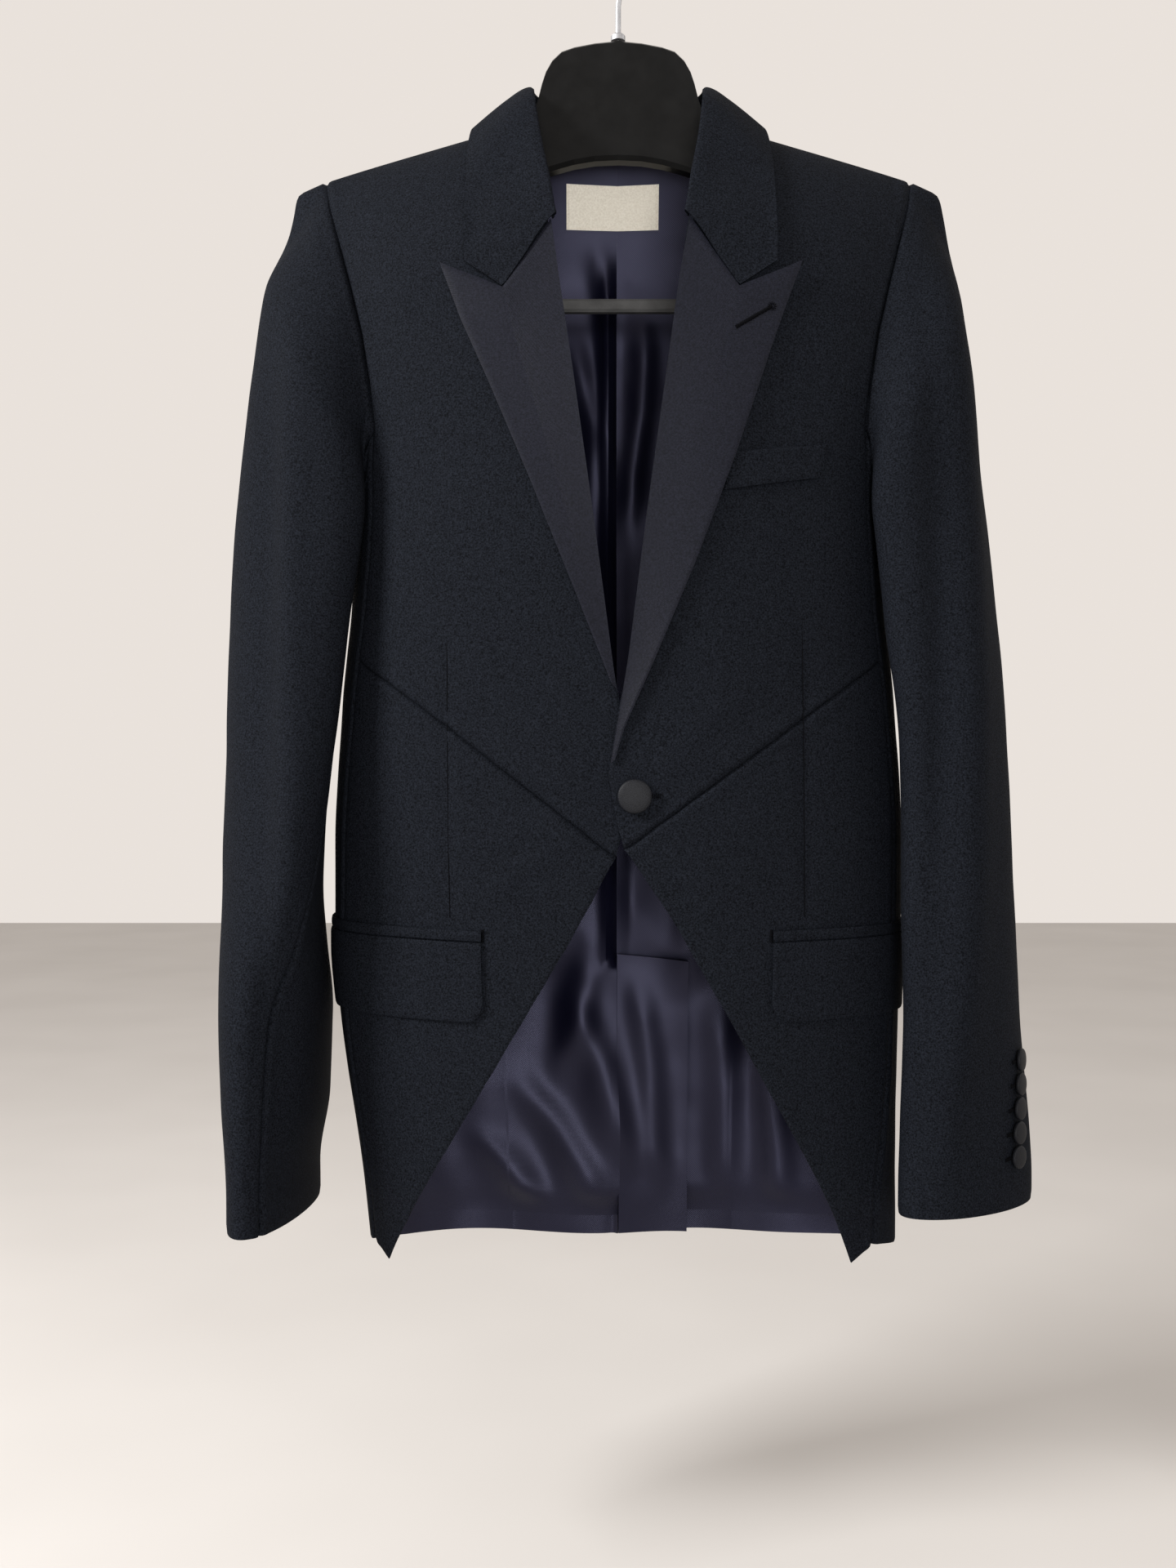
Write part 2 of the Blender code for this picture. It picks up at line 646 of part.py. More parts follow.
SLEEVES = {
    1: (
        SleeveSection(-0.168, 0.1800, 0.000, 0.015, 0.012, 0.0, 0.0),
        SleeveSection(-0.178, 0.1810, 0.000, 0.029, 0.026, 0.0, 0.0),
        SleeveSection(-0.200, 0.1800, -0.001, 0.032, 0.037, 0.0, 2.0),
        SleeveSection(-0.240, 0.1825, -0.004, 0.032, 0.047, 3.0, 10.0),
        SleeveSection(-0.300, 0.1895, -0.008, 0.033, 0.055, 10.0, 26.0),
        SleeveSection(-0.390, 0.2025, -0.017, 0.0260, 0.062, 31.0, 43.0),
        SleeveSection(-0.450, 0.2085, -0.018, 0.026, 0.062, 31.0, 42.0),
        SleeveSection(-0.520, 0.2145, -0.019, 0.026, 0.062, 29.0, 38.0),
        SleeveSection(-0.600, 0.2175, -0.020, 0.026, 0.062, 32.0, 34.0),
        SleeveSection(-0.700, 0.2185, -0.022, 0.025, 0.058, 41.0, 20.0),
        SleeveSection(-0.800, 0.2185, -0.022, 0.023, 0.053, 58.0, 6.0),
        SleeveSection(-0.840, 0.2185, -0.022, 0.023, 0.053, 58.0, 6.0),
    ),
    -1: (
        SleeveSection(-0.168, 0.1800, 0.000, 0.015, 0.012, 0.0, 0.0),
        SleeveSection(-0.178, 0.1810, 0.000, 0.029, 0.026, 0.0, 0.0),
        SleeveSection(-0.200, 0.1810, -0.001, 0.031, 0.037, 0.0, 2.0),
        SleeveSection(-0.240, 0.1875, -0.004, 0.036, 0.047, 3.0, 10.0),
        SleeveSection(-0.300, 0.1960, -0.008, 0.036, 0.055, 12.0, 28.0),
        SleeveSection(-0.390, 0.2075, -0.016, 0.030, 0.064, 34.0, 45.0),
        SleeveSection(-0.450, 0.2120, -0.017, 0.029, 0.062, 31.0, 42.0),
        SleeveSection(-0.520, 0.2150, -0.018, 0.029, 0.062, 25.0, 36.0),
        SleeveSection(-0.600, 0.2165, -0.019, 0.031, 0.062, 14.0, 20.0),
        SleeveSection(-0.650, 0.2160, -0.019, 0.031, 0.062, 1.0, 12.0),
        SleeveSection(-0.700, 0.2145, -0.018, 0.028, 0.063, -10.0, 8.0),
        SleeveSection(-0.750, 0.2145, -0.017, 0.025, 0.063, -11.0, 5.0),
        SleeveSection(-0.800, 0.2165, -0.017, 0.020, 0.062, -9.0, 5.0),
        SleeveSection(-0.840, 0.2165, -0.017, 0.020, 0.062, -9.0, 5.0),
    ),
}
CUFF_Z = {1: -0.8150, -1: -0.8200}
SLEEVE_EASE_DROP = 0.070
SLEEVE_SEAM_INSET = 0.0005
SLEEVE_FOOT_EASE_DROP = 0.028
FOOT_EASE_START_STEP = 3.5
FOOT_EASE_FULL_STEP = 6.0
SLEEVE_ROW_SHARES = np.array([
    0.0, 0.015, 0.035, 0.06, 0.09, 0.13, 0.18, 0.24, 0.31,
    0.39, 0.47, 0.55, 0.63, 0.71, 0.79, 0.86, 0.93, 1.0,
])
SLEEVE_FRONT_SEAM_STEP = 6
SLEEVE_BACK_SEAM_STEP = 4
CUFF_BUTTON_STEP = 1


def sleeve_ring(side: int, angle: np.ndarray, z: np.ndarray) -> np.ndarray:
    """Point of a sleeve's plain ring at an angle from its outer side, forward, and a height."""
    read = {
        column: table_value(SLEEVES[side], column, z)
        for column in SleeveSection._fields
        if column != "z"
    }
    yaw, curl = np.radians(read["yaw"]), np.radians(read["curl"]) + 1e-6
    along_ring = read["half_depth"] * np.sin(angle)
    across_ring = read["half_thickness"] * np.cos(angle)
    bend = curl / read["half_depth"]
    heading = yaw + bend * along_ring
    x = read["centre_x"] + (np.cos(heading) - np.cos(yaw)) / bend + across_ring * np.cos(heading)
    y = read["centre_y"] - (np.sin(heading) - np.sin(yaw)) / bend - across_ring * np.sin(heading)
    return np.stack([side * x, y, z + 0.0 * x], axis=-1)


def armhole_ring(side: int, steps: np.ndarray) -> tuple[np.ndarray, np.ndarray]:
    """Armhole points and mitres at sleeve steps from -9 (back underarm) to 9 (front underarm)."""
    front = steps >= 0
    size = np.abs(steps)
    points, mitres = np.zeros((len(steps), 3)), np.zeros((len(steps), 3))
    for on_front in (True, False):
        chosen = front == on_front
        turns = armhole_turns(side, size[chosen], on_front)
        points[chosen] = body_point(side, turns[:, 0], turns[:, 1])
        mitres[chosen] = side_mitre(side, size[chosen], on_front)
    return points, mitres


def sleeve_grid(side: int, steps: np.ndarray) -> Panel:
    """A sleeve's outer face from the armhole to the cuff, and the way to its inner face."""
    angle = np.radians(20.0 * steps)
    start, mitres = armhole_ring(side, steps)
    near_foot = smoothstep(FOOT_EASE_START_STEP, FOOT_EASE_FULL_STEP, np.abs(steps))
    ease_drop = SLEEVE_EASE_DROP + (SLEEVE_FOOT_EASE_DROP - SLEEVE_EASE_DROP) * near_foot
    rows = []
    for share in SLEEVE_ROW_SHARES:
        z = start[:, 2] + (CUFF_Z[side] - start[:, 2]) * share
        eased = np.clip(1 - (start[:, 2] - z) / ease_drop, 0.0, 1.0) ** 2
        offset = start - sleeve_ring(side, angle, start[:, 2])
        rows.append(sleeve_ring(side, angle, z) + eased[:, None] * offset)
    outer = np.array(rows)
    outer[0, :, 0] += side * ARMHOLE_GAP
    inward = tube_normals(outer)
    middle = outer.mean(axis=1, keepdims=True)
    inward *= np.sign((inward * (middle - outer)).sum())
    inward[0] = mitres
    return Panel(outer, inward)


def sleeve_steps() -> np.ndarray:
    """Steps of the sleeve's columns, from the back underarm over the top to the front."""
    return np.array([-8, -7, -6, -5, -4, -3, -2, -1, -0.5, 0, 0.5, 1, 2, 3, 4, 5, 6, 7, 8, 9.0])


def make_sleeve(side: int, name: str) -> None:
    """Make a sleeve's upper and under pieces, seamed in front and behind."""
    steps = sleeve_steps()
    panel = sleeve_grid(side, steps)
    back = int(np.argmin(np.abs(steps + SLEEVE_BACK_SEAM_STEP)))
    front = int(np.argmin(np.abs(steps - SLEEVE_FRONT_SEAM_STEP)))
    count = len(steps)
    upper = np.arange(back, front + 1)
    under = np.arange(front, count + back + 1) % count
    for piece, columns in (("sleeve_upper_", upper), ("sleeve_under_", under)):
        part = Panel(panel.outer[:, columns], panel.inward[:, columns])
        solid = panel_solid(part, "start end", CLOTH, gap=SLEEVE_SEAM_INSET)
        add_solid(piece + name, *solid, WOOL)


class LapelShape(NamedTuple):
    """A lapel on its front: the roll line and the free outer edge, from top to bottom."""

    roll: tuple[SidePoint, ...]
    outer: tuple[SidePoint, ...]


GORGE_START = SidePoint(0.0412, -0.2160)
GORGE_END = SidePoint(0.0695, -0.2584)
COLLAR_TIP = SidePoint(0.0922, -0.2420)
LAPELS = {
    1: LapelShape(
        roll=(
            GORGE_START,
            SidePoint(0.0349, -0.2505),
            SidePoint(0.0263, -0.3127),
            SidePoint(0.0143, -0.3989),
            SidePoint(0.0047, -0.4756),
            SidePoint(-0.0015, -0.5139),
            SidePoint(-0.0060, -0.5400),
        ),
        outer=(
            SidePoint(0.1070, -0.2411),
            SidePoint(0.0879, -0.2951),
            SidePoint(0.0665, -0.3593),
            SidePoint(0.0427, -0.4236),
            SidePoint(0.0189, -0.4808),
            SidePoint(0.0022, -0.5189),
            SidePoint(-0.0035, -0.5380),
        ),
    ),
    -1: LapelShape(
        roll=(
            GORGE_START,
            SidePoint(0.0360, -0.2540),
            SidePoint(0.0270, -0.3160),
            SidePoint(0.0150, -0.4020),
            SidePoint(0.0050, -0.4780),
            SidePoint(0.0025, -0.4960),
        ),
        outer=(
            SidePoint(0.1064, -0.2423),
            SidePoint(0.0943, -0.2763),
            SidePoint(0.0773, -0.3150),
            SidePoint(0.0531, -0.3731),
            SidePoint(0.0289, -0.4336),
            SidePoint(0.0055, -0.4930),
        ),
    ),
}
LAPEL_ROLL_LIFT = LAPEL_CLOTH + 0.0007
LAPEL_EDGE_LIFT = 0.0045
LAPEL_PEAK_LIFT = 0.0065
LAPEL_PEAK_ROWS = 0.12
LAPEL_FOOT_START = 0.75
LAPEL_FOOT_FALL = 0.6
LAPEL_COLUMNS = 6
LAPEL_ROWS = 16
GORGE_COLUMNS = 4


def lifted(side: int, line: np.ndarray, lift: np.ndarray, front: bool = True) -> np.ndarray:
    """Points of the form at x and z, moved straight out from it."""
    turns = turn_at(side, line[..., 0], line[..., 1], front)
    point = body_point(side, turns, line[..., 1])
    return point - np.asarray(lift)[..., None] * body_inward(side, turns, line[..., 1])


def lapel_line(side: int) -> np.ndarray:
    """A lapel's grid as x and z on its own half."""
    shape = LAPELS[side]
    down = np.linspace(0.0, 1.0, LAPEL_ROWS + 1)
    gorge = along((GORGE_START, GORGE_END), np.linspace(0.0, 1.0, GORGE_COLUMNS + 1))
    peak_columns = LAPEL_COLUMNS - GORGE_COLUMNS
    peak = along((GORGE_END, shape.outer[0]), np.linspace(0.0, 1.0, peak_columns + 1))
    top = np.concatenate([gorge, peak[1:]])
    bottom = along((shape.roll[-1], shape.outer[-1]), np.linspace(0.0, 1.0, LAPEL_COLUMNS + 1))
    return coons(top, bottom, along(shape.roll, down), along(shape.outer, down))


def make_lapel(side: int, name: str) -> None:
    """Make a peaked lapel, lying on its front and lifting towards its edge and peak."""
    line = lapel_line(side)
    across = np.linspace(0.0, 1.0, LAPEL_COLUMNS + 1)[None, :]
    down = np.linspace(0.0, 1.0, LAPEL_ROWS + 1)[:, None]
    peak = (LAPEL_PEAK_LIFT - LAPEL_EDGE_LIFT) * (1 - smoothstep(0.0, LAPEL_PEAK_ROWS, down))
    foot = 1 - LAPEL_FOOT_FALL * smoothstep(LAPEL_FOOT_START, 1.0, down)
    rise = (LAPEL_EDGE_LIFT - LAPEL_ROLL_LIFT) * foot + peak
    lift = LAPEL_ROLL_LIFT + rise * across ** 1.5
    outer = lifted(side, line, lift)
    inner = lifted(side, line, lift - LAPEL_CLOTH)
    points, faces = sheet_solid(drawn_in(outer, "top"), drawn_in(inner, "top"))
    add_solid("lapel_" + name, points, faces, GROSGRAIN)


class CollarStation(NamedTuple):
    """A section of the collar: its place on the neck seam, its fold and its lower edge."""

    place: float
    fold_x: float
    fold_y: float
    fold_z: float
    edge_x: float
    edge_z: float
    edge_lift: float


COLLAR_BACK = (
    CollarStation(0.00, 0.0000, 0.0270, -0.1125, 0.0000, -0.1600, 0.0055),
    CollarStation(0.40, 0.0270, 0.0250, -0.1120, 0.0330, -0.1590, 0.0050),
    CollarStation(0.75, 0.0455, 0.0160, -0.1100, 0.0680, -0.1560, 0.0045),
)
COLLAR_SHOULDER_EDGE = (0.0915, -0.0040, -0.1355)
COLLAR_SHOULDER_FOLD = (0.0545, 0.0000, -0.1085)
COLLAR_FRONT = (
    CollarStation(1.25, 0.0535, -0.0200, -0.1200, 0.0930, -0.1650, 0.0045),
    CollarStation(1.50, 0.0500, -0.0400, -0.1500, 0.0928, -0.1950, 0.0045),
    CollarStation(1.78, 0.0440, -0.0570, -0.1840, 0.0925, -0.2220, 0.0048),
    CollarStation(2.00, 0.0385, -0.0680, -0.2130, 0.0922, -0.2420, 0.0050),
)
COLLAR_STAND_GAP = 0.0015
COLLAR_STAND_CELLS = 3
COLLAR_FALL_CELLS = 5
COLLAR_HALF_ROWS = 13
COLLAR_ROLL_REACH = 0.0045
COLLAR_END_INSET = 0.0006
COLLAR_MIN_LIFT = CLOTH + 0.0024
COLLAR_ROLL_SHARE = 0.35
COLLAR_TURN_OVER = 1.6
COLLAR_EDGE_PULL = 0.45
COLLAR_FRONT_FOLD_PLACE = 1.6
COLLAR_PLACES = np.array(
    [*(row.place for row in COLLAR_BACK), 1.0, *(row.place for row in COLLAR_FRONT)]
)
GORGE_BEND_START = 1.35
GORGE_FOLD_SHARE = 0.35
GORGE_LIFT = 1.4 * LAPEL_ROLL_LIFT
NECK_CENTRE_Y = -0.014
NECK_CENTRE_RISE = 0.030


def neck_seam(side: int, place: float) -> np.ndarray:
    """The neck seam, from 0 at the centre back over 1 at the shoulder to 2 at the gorge."""
    if place <= 1:
        x = NECK_SIDE_X * place
        z = back_neck_height(np.array(x))
        return body_point(side, turn_at(side, np.array(x), z, False), z)
    corners = (SidePoint(NECK_SIDE_X, float(shoulder_line(NECK_SIDE_X))), GORGE_START)
    x, z = along(corners, np.array([place - 1]))[0]
    return body_point(side, turn_at(side, np.array(x), np.array(z), True), np.array(z))


def toward_neck_centre(point: np.ndarray) -> np.ndarray:
    """Unit direction from the neck seam into the neck opening."""
    way = np.array([0.0, NECK_CENTRE_Y, point[2] + NECK_CENTRE_RISE]) - point
    return way / np.linalg.norm(way)


def bezier(corners: list, count: int) -> np.ndarray:
    """Points on the cubic Bezier curve that four corners pull."""
    t = np.linspace(0.0, 1.0, count + 1)[:, None]
    a, b, c, d = corners
    return (1 - t) ** 3 * a + 3 * t * (1 - t) ** 2 * b + 3 * t * t * (1 - t) * c + t ** 3 * d


def collar_curve(stand: np.ndarray, fold: np.ndarray, edge: np.ndarray, reach: float) -> np.ndarray:
    """One section of the collar: up the stand, over the fold and down to the edge."""
    up = (fold - stand) / np.linalg.norm(fold - stand)
    fall = edge - fold
    out = fall - np.dot(fall, up) * up
    out = out / np.linalg.norm(out)
    reach = min(reach, COLLAR_ROLL_SHARE * float(np.linalg.norm(fold - stand)))
    climb = [stand, stand + 0.5 * (fold - stand), fold - reach * out, fold]
    turn_over = fold + COLLAR_TURN_OVER * reach * out
    drop = [fold, turn_over, edge + COLLAR_EDGE_PULL * (turn_over - edge), edge]
    first = bezier(climb, COLLAR_STAND_CELLS)
    return np.concatenate([first, bezier(drop, COLLAR_FALL_CELLS)[1:]])


def collar_half(side: int, depth: float) -> np.ndarray:
    """Half of the collar from the centre back to its front end, at a depth in its cloth."""
    stations = COLLAR_BACK + COLLAR_FRONT
    folds, edges = [], []
    for row in stations:
        front = row.place > 1
        lap = front_lap(side, np.array(row.fold_x), np.array(row.fold_z)) if front else 0.0
        folds.append((side * row.fold_x, row.fold_y - lap, row.fold_z - depth))
        foot = np.array([row.edge_x, row.edge_z])
        edges.append(lifted(side, foot, np.array(row.edge_lift - depth), front))
    shoulder_fold = np.array(COLLAR_SHOULDER_FOLD) * (side, 1, 1) - (0, 0, depth)
    shoulder_edge = np.array(COLLAR_SHOULDER_EDGE) * (side, 1, 1) - (0, 0, depth)
    folds.insert(len(COLLAR_BACK), tuple(shoulder_fold))
    edges.insert(len(COLLAR_BACK), shoulder_edge)
    folds, edges = np.array(folds), np.array(edges)
    folds[COLLAR_PLACES > COLLAR_FRONT_FOLD_PLACE, 2] += depth
    folds[COLLAR_PLACES > COLLAR_FRONT_FOLD_PLACE, 1] += depth
    rows = []
    for place in np.linspace(0.0, 2.0, COLLAR_HALF_ROWS):
        at = np.array(place)
        fold = np.array([smooth_column(COLLAR_PLACES, folds[:, axis], at) for axis in range(3)])
        edge = np.array([smooth_column(COLLAR_PLACES, edges[:, axis], at) for axis in range(3)])
        seam = neck_seam(side, float(place))
        stand = seam + (COLLAR_STAND_GAP + CLOTH - depth) * toward_neck_centre(seam)
        rows.append(collar_curve(stand, fold, edge, COLLAR_ROLL_REACH - depth))
    grid = np.array(rows)
    return to_gorge(side, grid, depth)


def to_gorge(side: int, grid: np.ndarray, depth: float) -> np.ndarray:
    """Bend the collar's front end to the gorge and the notch, and keep it over the front."""
    fall = slice(COLLAR_STAND_CELLS, None)
    shares = np.linspace(0.0, 1.0, COLLAR_FALL_CELLS + 1)
    line = along((GORGE_START, GORGE_END, COLLAR_TIP), shares)
    lift = COLLAR_FRONT[-1].edge_lift * shares + GORGE_LIFT * (1 - shares)
    end = lifted(side, line, lift - depth)
    places = np.linspace(0.0, 2.0, COLLAR_HALF_ROWS)
    weight = smoothstep(GORGE_BEND_START, 2.0, places)[:, None, None]
    keep_fold = smoothstep(0.0, GORGE_FOLD_SHARE, shares)[None, :, None]
    grid[:, fall] += weight * keep_fold * (end - grid[-1, fall])
    clearance = COLLAR_MIN_LIFT - depth
    for row, place in enumerate(places):
        front = place > 1
        for column in range(COLLAR_STAND_CELLS + (1 if front else 2), grid.shape[1]):
            x, y, z = grid[row, column]
            own_x = np.array(side * x)
            surface = body_point(side, turn_at(side, own_x, np.array(z), front), np.array(z))[1]
            if front:
                grid[row, column, 1] = min(y, float(surface) - clearance)
            else:
                grid[row, column, 1] = max(y, float(surface) + clearance)
    return grid


def make_collar() -> None:
    """Make the collar as one folded sheet from gorge to gorge."""
    faces_of_cloth = []
    for depth in (0.0, CLOTH):
        right, left = collar_half(-1, depth), collar_half(1, depth)
        grid = np.concatenate([right[::-1], left[1:]])
        faces_of_cloth.append(drawn_in(grid, "top bottom", COLLAR_END_INSET))
    add_solid("collar", *sheet_solid(*faces_of_cloth), WOOL)


LINING_DEPTH = CLOTH + 0.0009
LINING_NECK_DROP = 0.5
LINING_HEM_SHARE = 0.55
UNDERLAP_DEPTH = LINING_DEPTH + LINING_CLOTH + 0.0005
UNDERLAP_WIDTH = 0.046
UNDERLAP_START_X = 0.0015
VENT_TOP_Z = -0.6655
UNDERLAP_ROWS = 6
UNDERLAP_COLUMNS = 3


def make_lining(side: int, name: str) -> None:
    """Make the back lining, which follows the back's own points and ends above the hem."""
    panel = back_panel(side)
    outer, inward = panel.outer.copy(), panel.inward.copy()
    outer[-1] = outer[-2] + LINING_HEM_SHARE * (outer[-1] - outer[-2])
    neck = slice(0, NECK_COLUMNS + 1)
    outer[0, neck] += LINING_NECK_DROP * (outer[1, neck] - outer[0, neck])
    inward[0, neck] = inward[1, neck]
    inward[:, -1] = inward[:, -2]
    inward[0] /= np.linalg.norm(inward[0], axis=-1, keepdims=True)
    shape = Panel(outer, inward)
    points, faces = panel_solid(shape, "start end", LINING_CLOTH, LINING_DEPTH)
    add_solid("lining_" + name, points, faces, SATIN)


def back_sheet(x: np.ndarray, z: np.ndarray, depth: float) -> np.ndarray:
    """Points behind the wearer at world x and z, at a depth inside the back's outer face."""
    grid_x, grid_z = np.meshgrid(x, z)
    points = np.zeros(grid_x.shape + (3,))
    for side in (1, -1):
        turns = turn_at(side, side * grid_x, grid_z, False)
        laid = body_point(side, turns, grid_z) + depth * body_inward(side, turns, grid_z)
        points = np.where((side * grid_x > 0)[..., None], laid, points)
    return points


def make_vent_underlap() -> None:
    """Make the back vent's underlap, which lies inside the wearer's left back."""
    x = np.linspace(UNDERLAP_START_X, UNDERLAP_START_X + UNDERLAP_WIDTH, UNDERLAP_COLUMNS + 1)
    z = np.linspace(VENT_TOP_Z, BACK_HEM_Z + 0.002, UNDERLAP_ROWS + 1)
    outer = back_sheet(x, z, UNDERLAP_DEPTH)
    inner = back_sheet(x, z, UNDERLAP_DEPTH + CLOTH)
    add_solid("vent_underlap", *sheet_solid(outer, inner), SATIN)


LABEL_CLOTH = 0.0006
LABEL_DEPTH = LINING_DEPTH + LINING_CLOTH + 0.0009
LABEL_HALF_WIDTH = 0.031
LABEL_CENTRE_X = -0.003
LABEL_TOP_Z = -0.1500
LABEL_BOTTOM_Z = -0.1770
LABEL_COLUMNS = 9
LABEL_ROWS = 3


def make_label() -> None:
    """Make the plain woven label inside the neck."""
    edges = LABEL_CENTRE_X + LABEL_HALF_WIDTH * np.array([-1.0, 1.0])
    x = np.linspace(edges[0], edges[1], LABEL_COLUMNS + 1)
    z = np.linspace(LABEL_TOP_Z, LABEL_BOTTOM_Z, LABEL_ROWS + 1)
    outer = back_sheet(x, z, LABEL_DEPTH)
    inner = back_sheet(x, z, LABEL_DEPTH + LABEL_CLOTH)
    add_solid("label", *sheet_solid(outer, inner), CREAM)


class PocketPlace(NamedTuple):
    """A hip pocket: where its front end and its top lie."""

    front_x: float
    front_z: float
    back_z: float


POCKETS = {1: PocketPlace(0.0910, -0.6400, -0.6370), -1: PocketPlace(0.0829, -0.6400, -0.6350)}
POCKET_LENGTH = 0.140
JET_HEIGHT = 0.006
FLAP_HEIGHT = 0.048
FLAP_CLOTH = 0.0014
JET_CLOTH = 0.0010
FLAP_LIFT = FLAP_CLOTH + 0.0011
JET_LIFT = JET_CLOTH + 0.0010
FLAP_COLUMNS = 12
FLAP_ROWS = 4
FLAP_CORNER = 0.012
POCKET_GAP = 0.0006


def turn_after(side: int, start_turn: float, z: float, lengths: np.ndarray) -> np.ndarray:
    """Turns at lengths along the form's section, from a start on the front round to the side."""
    turns = start_turn - np.linspace(0.0, math.radians(120), 481)
    points = body_point(side, turns, np.full(turns.shape, z))
    run = np.concatenate([[0.0], np.cumsum(np.linalg.norm(np.diff(points, axis=0), axis=1))])
    return np.interp(lengths, run, turns)


def pocket_turns(side: int, tops: np.ndarray, bottoms: np.ndarray, rows: int) -> np.ndarray:
    """Grid of turns and heights for a strip of the pocket, between two drops from its line."""
    place = POCKETS[side]
    start = float(turn_at(side, np.array(place.front_x), np.array(place.front_z), True))
    lengths = np.linspace(0.0, POCKET_LENGTH, FLAP_COLUMNS + 1)
    turns = turn_after(side, start, place.front_z, lengths)
    line_z = place.front_z + (place.back_z - place.front_z) * lengths / POCKET_LENGTH
    down = np.linspace(0.0, 1.0, rows + 1)[:, None]
    z = line_z[None] - tops[None] - (bottoms - tops)[None] * down
    return np.stack([np.broadcast_to(turns, z.shape), z], axis=-1)


def raised(side: int, turns: np.ndarray, lift: float) -> np.ndarray:
    """Points of the form moved out from it by a lift."""
    point = body_point(side, turns[..., 0], turns[..., 1])
    return point - lift * body_inward(side, turns[..., 0], turns[..., 1])


def make_pocket(side: int, name: str) -> None:
    """Make a hip pocket's jet and the flap that hangs under it."""
    lengths = np.linspace(0.0, POCKET_LENGTH, FLAP_COLUMNS + 1)
    level = np.zeros(FLAP_COLUMNS + 1)
    jet = pocket_turns(side, level, level + JET_HEIGHT, 1)
    faces = [raised(side, jet, JET_LIFT), raised(side, jet, JET_LIFT - JET_CLOTH)]
    add_solid("jet_" + name, *sheet_solid(*faces), WOOL)
    from_end = np.minimum(lengths, POCKET_LENGTH - lengths)
    short = np.clip(FLAP_CORNER - from_end, 0.0, None)
    rounding = FLAP_CORNER - np.sqrt(FLAP_CORNER ** 2 - short ** 2)
    top = level + JET_HEIGHT + POCKET_GAP
    flap = pocket_turns(side, top, top + FLAP_HEIGHT - rounding, FLAP_ROWS)
    faces = [raised(side, flap, FLAP_LIFT), raised(side, flap, FLAP_LIFT - FLAP_CLOTH)]
    add_solid("flap_" + name, *sheet_solid(*faces), WOOL)


WELT_TOP = (SidePoint(0.0660, -0.3576), SidePoint(0.1243, -0.3489))
WELT_BOTTOM = (SidePoint(0.0603, -0.3798), SidePoint(0.1195, -0.3692))
WELT_COLUMNS = 6
WELT_ROWS = 2
WELT_LIFT = CLOTH + 0.0006


def make_breast_welt() -> None:
    """Make the slanted breast pocket's welt on the wearer's left."""
    across, down = np.linspace(0.0, 1.0, WELT_COLUMNS + 1), np.linspace(0.0, 1.0, WELT_ROWS + 1)
    start = along((WELT_TOP[0], WELT_BOTTOM[0]), down)
    end = along((WELT_TOP[1], WELT_BOTTOM[1]), down)
    line = coons(along(WELT_TOP, across), along(WELT_BOTTOM, across), start, end)
    outer = lifted(1, line, np.array(WELT_LIFT))
    inner = lifted(1, line, np.array(WELT_LIFT - CLOTH))
    add_solid("breast_welt", *sheet_solid(outer, inner), WOOL)


FRONT_BUTTON = SidePoint(0.0082, -0.5594)
FRONT_BUTTON_RADIUS = 0.0102
FRONT_BUTTON_HEIGHT = 0.0045
CUFF_BUTTON_RADIUS = 0.0071
CUFF_BUTTON_HEIGHT = 0.0030
CUFF_BUTTON_COUNT = 5
CUFF_BUTTON_PITCH = 0.0147
CUFF_BUTTON_FIRST = 0.0320
BUTTON_REST = 0.0006
BUTTON_SIDES = 14


# Half section of a rounded button from its back to its front, as shares of radius and height
BUTTON_SHAPE = (
    (0.0, 0.0), (0.72, 0.0), (0.96, 0.28), (1.0, 0.50), (0.90, 0.80), (0.60, 0.97), (0.0, 1.0),
)


def button_profile(radius: float, height: float) -> list:
    """Half section of a button of this size."""
    return [(across * radius, up * height) for across, up in BUTTON_SHAPE]


def turned_solid(profile: list, sides: int) -> tuple[np.ndarray, list]:
    """Turn a half section around Z; its first and last points lie on the axis."""
    points, faces = [(0.0, 0.0, profile[0][1])], []
    for radius, height in profile[1:-1]:
        for index in range(sides):
            angle = math.tau * index / sides
            points.append((radius * math.cos(angle), radius * math.sin(angle), height))
    points.append((0.0, 0.0, profile[-1][1]))
    rings = len(profile) - 2
    for index in range(sides):
        after = (index + 1) % sides
        faces.append((0, 1 + after, 1 + index))
        for ring in range(rings - 1):
            low = 1 + ring * sides
            high = low + sides
            faces.append((low + index, low + after, high + after, high + index))
        last = 1 + (rings - 1) * sides
        faces.append((last + index, last + after, len(points) - 1))
    return np.array(points), faces


def stand_on(points: np.ndarray, foot: np.ndarray, outward: np.ndarray) -> np.ndarray:
    """Turn points from +Z to a direction and move them to a foot point."""
    axis = outward / np.linalg.norm(outward)
    right = np.cross(np.array([0.0, 0.0, 1.0]), axis)
    right /= np.linalg.norm(right)
    up = np.cross(axis, right)
    return foot + points @ np.array([right, up, axis])


def make_front_button() -> None:
    """Make the cloth-covered front button."""
    place = np.array(FRONT_BUTTON)
    foot = lifted(1, place, np.array(BUTTON_REST))
    outward = foot - lifted(1, place, np.array(0.0))
    profile = button_profile(FRONT_BUTTON_RADIUS, FRONT_BUTTON_HEIGHT)
    points, faces = turned_solid(profile, BUTTON_SIDES)
    add_solid("front_button", stand_on(points, foot, outward), faces, WOOL)


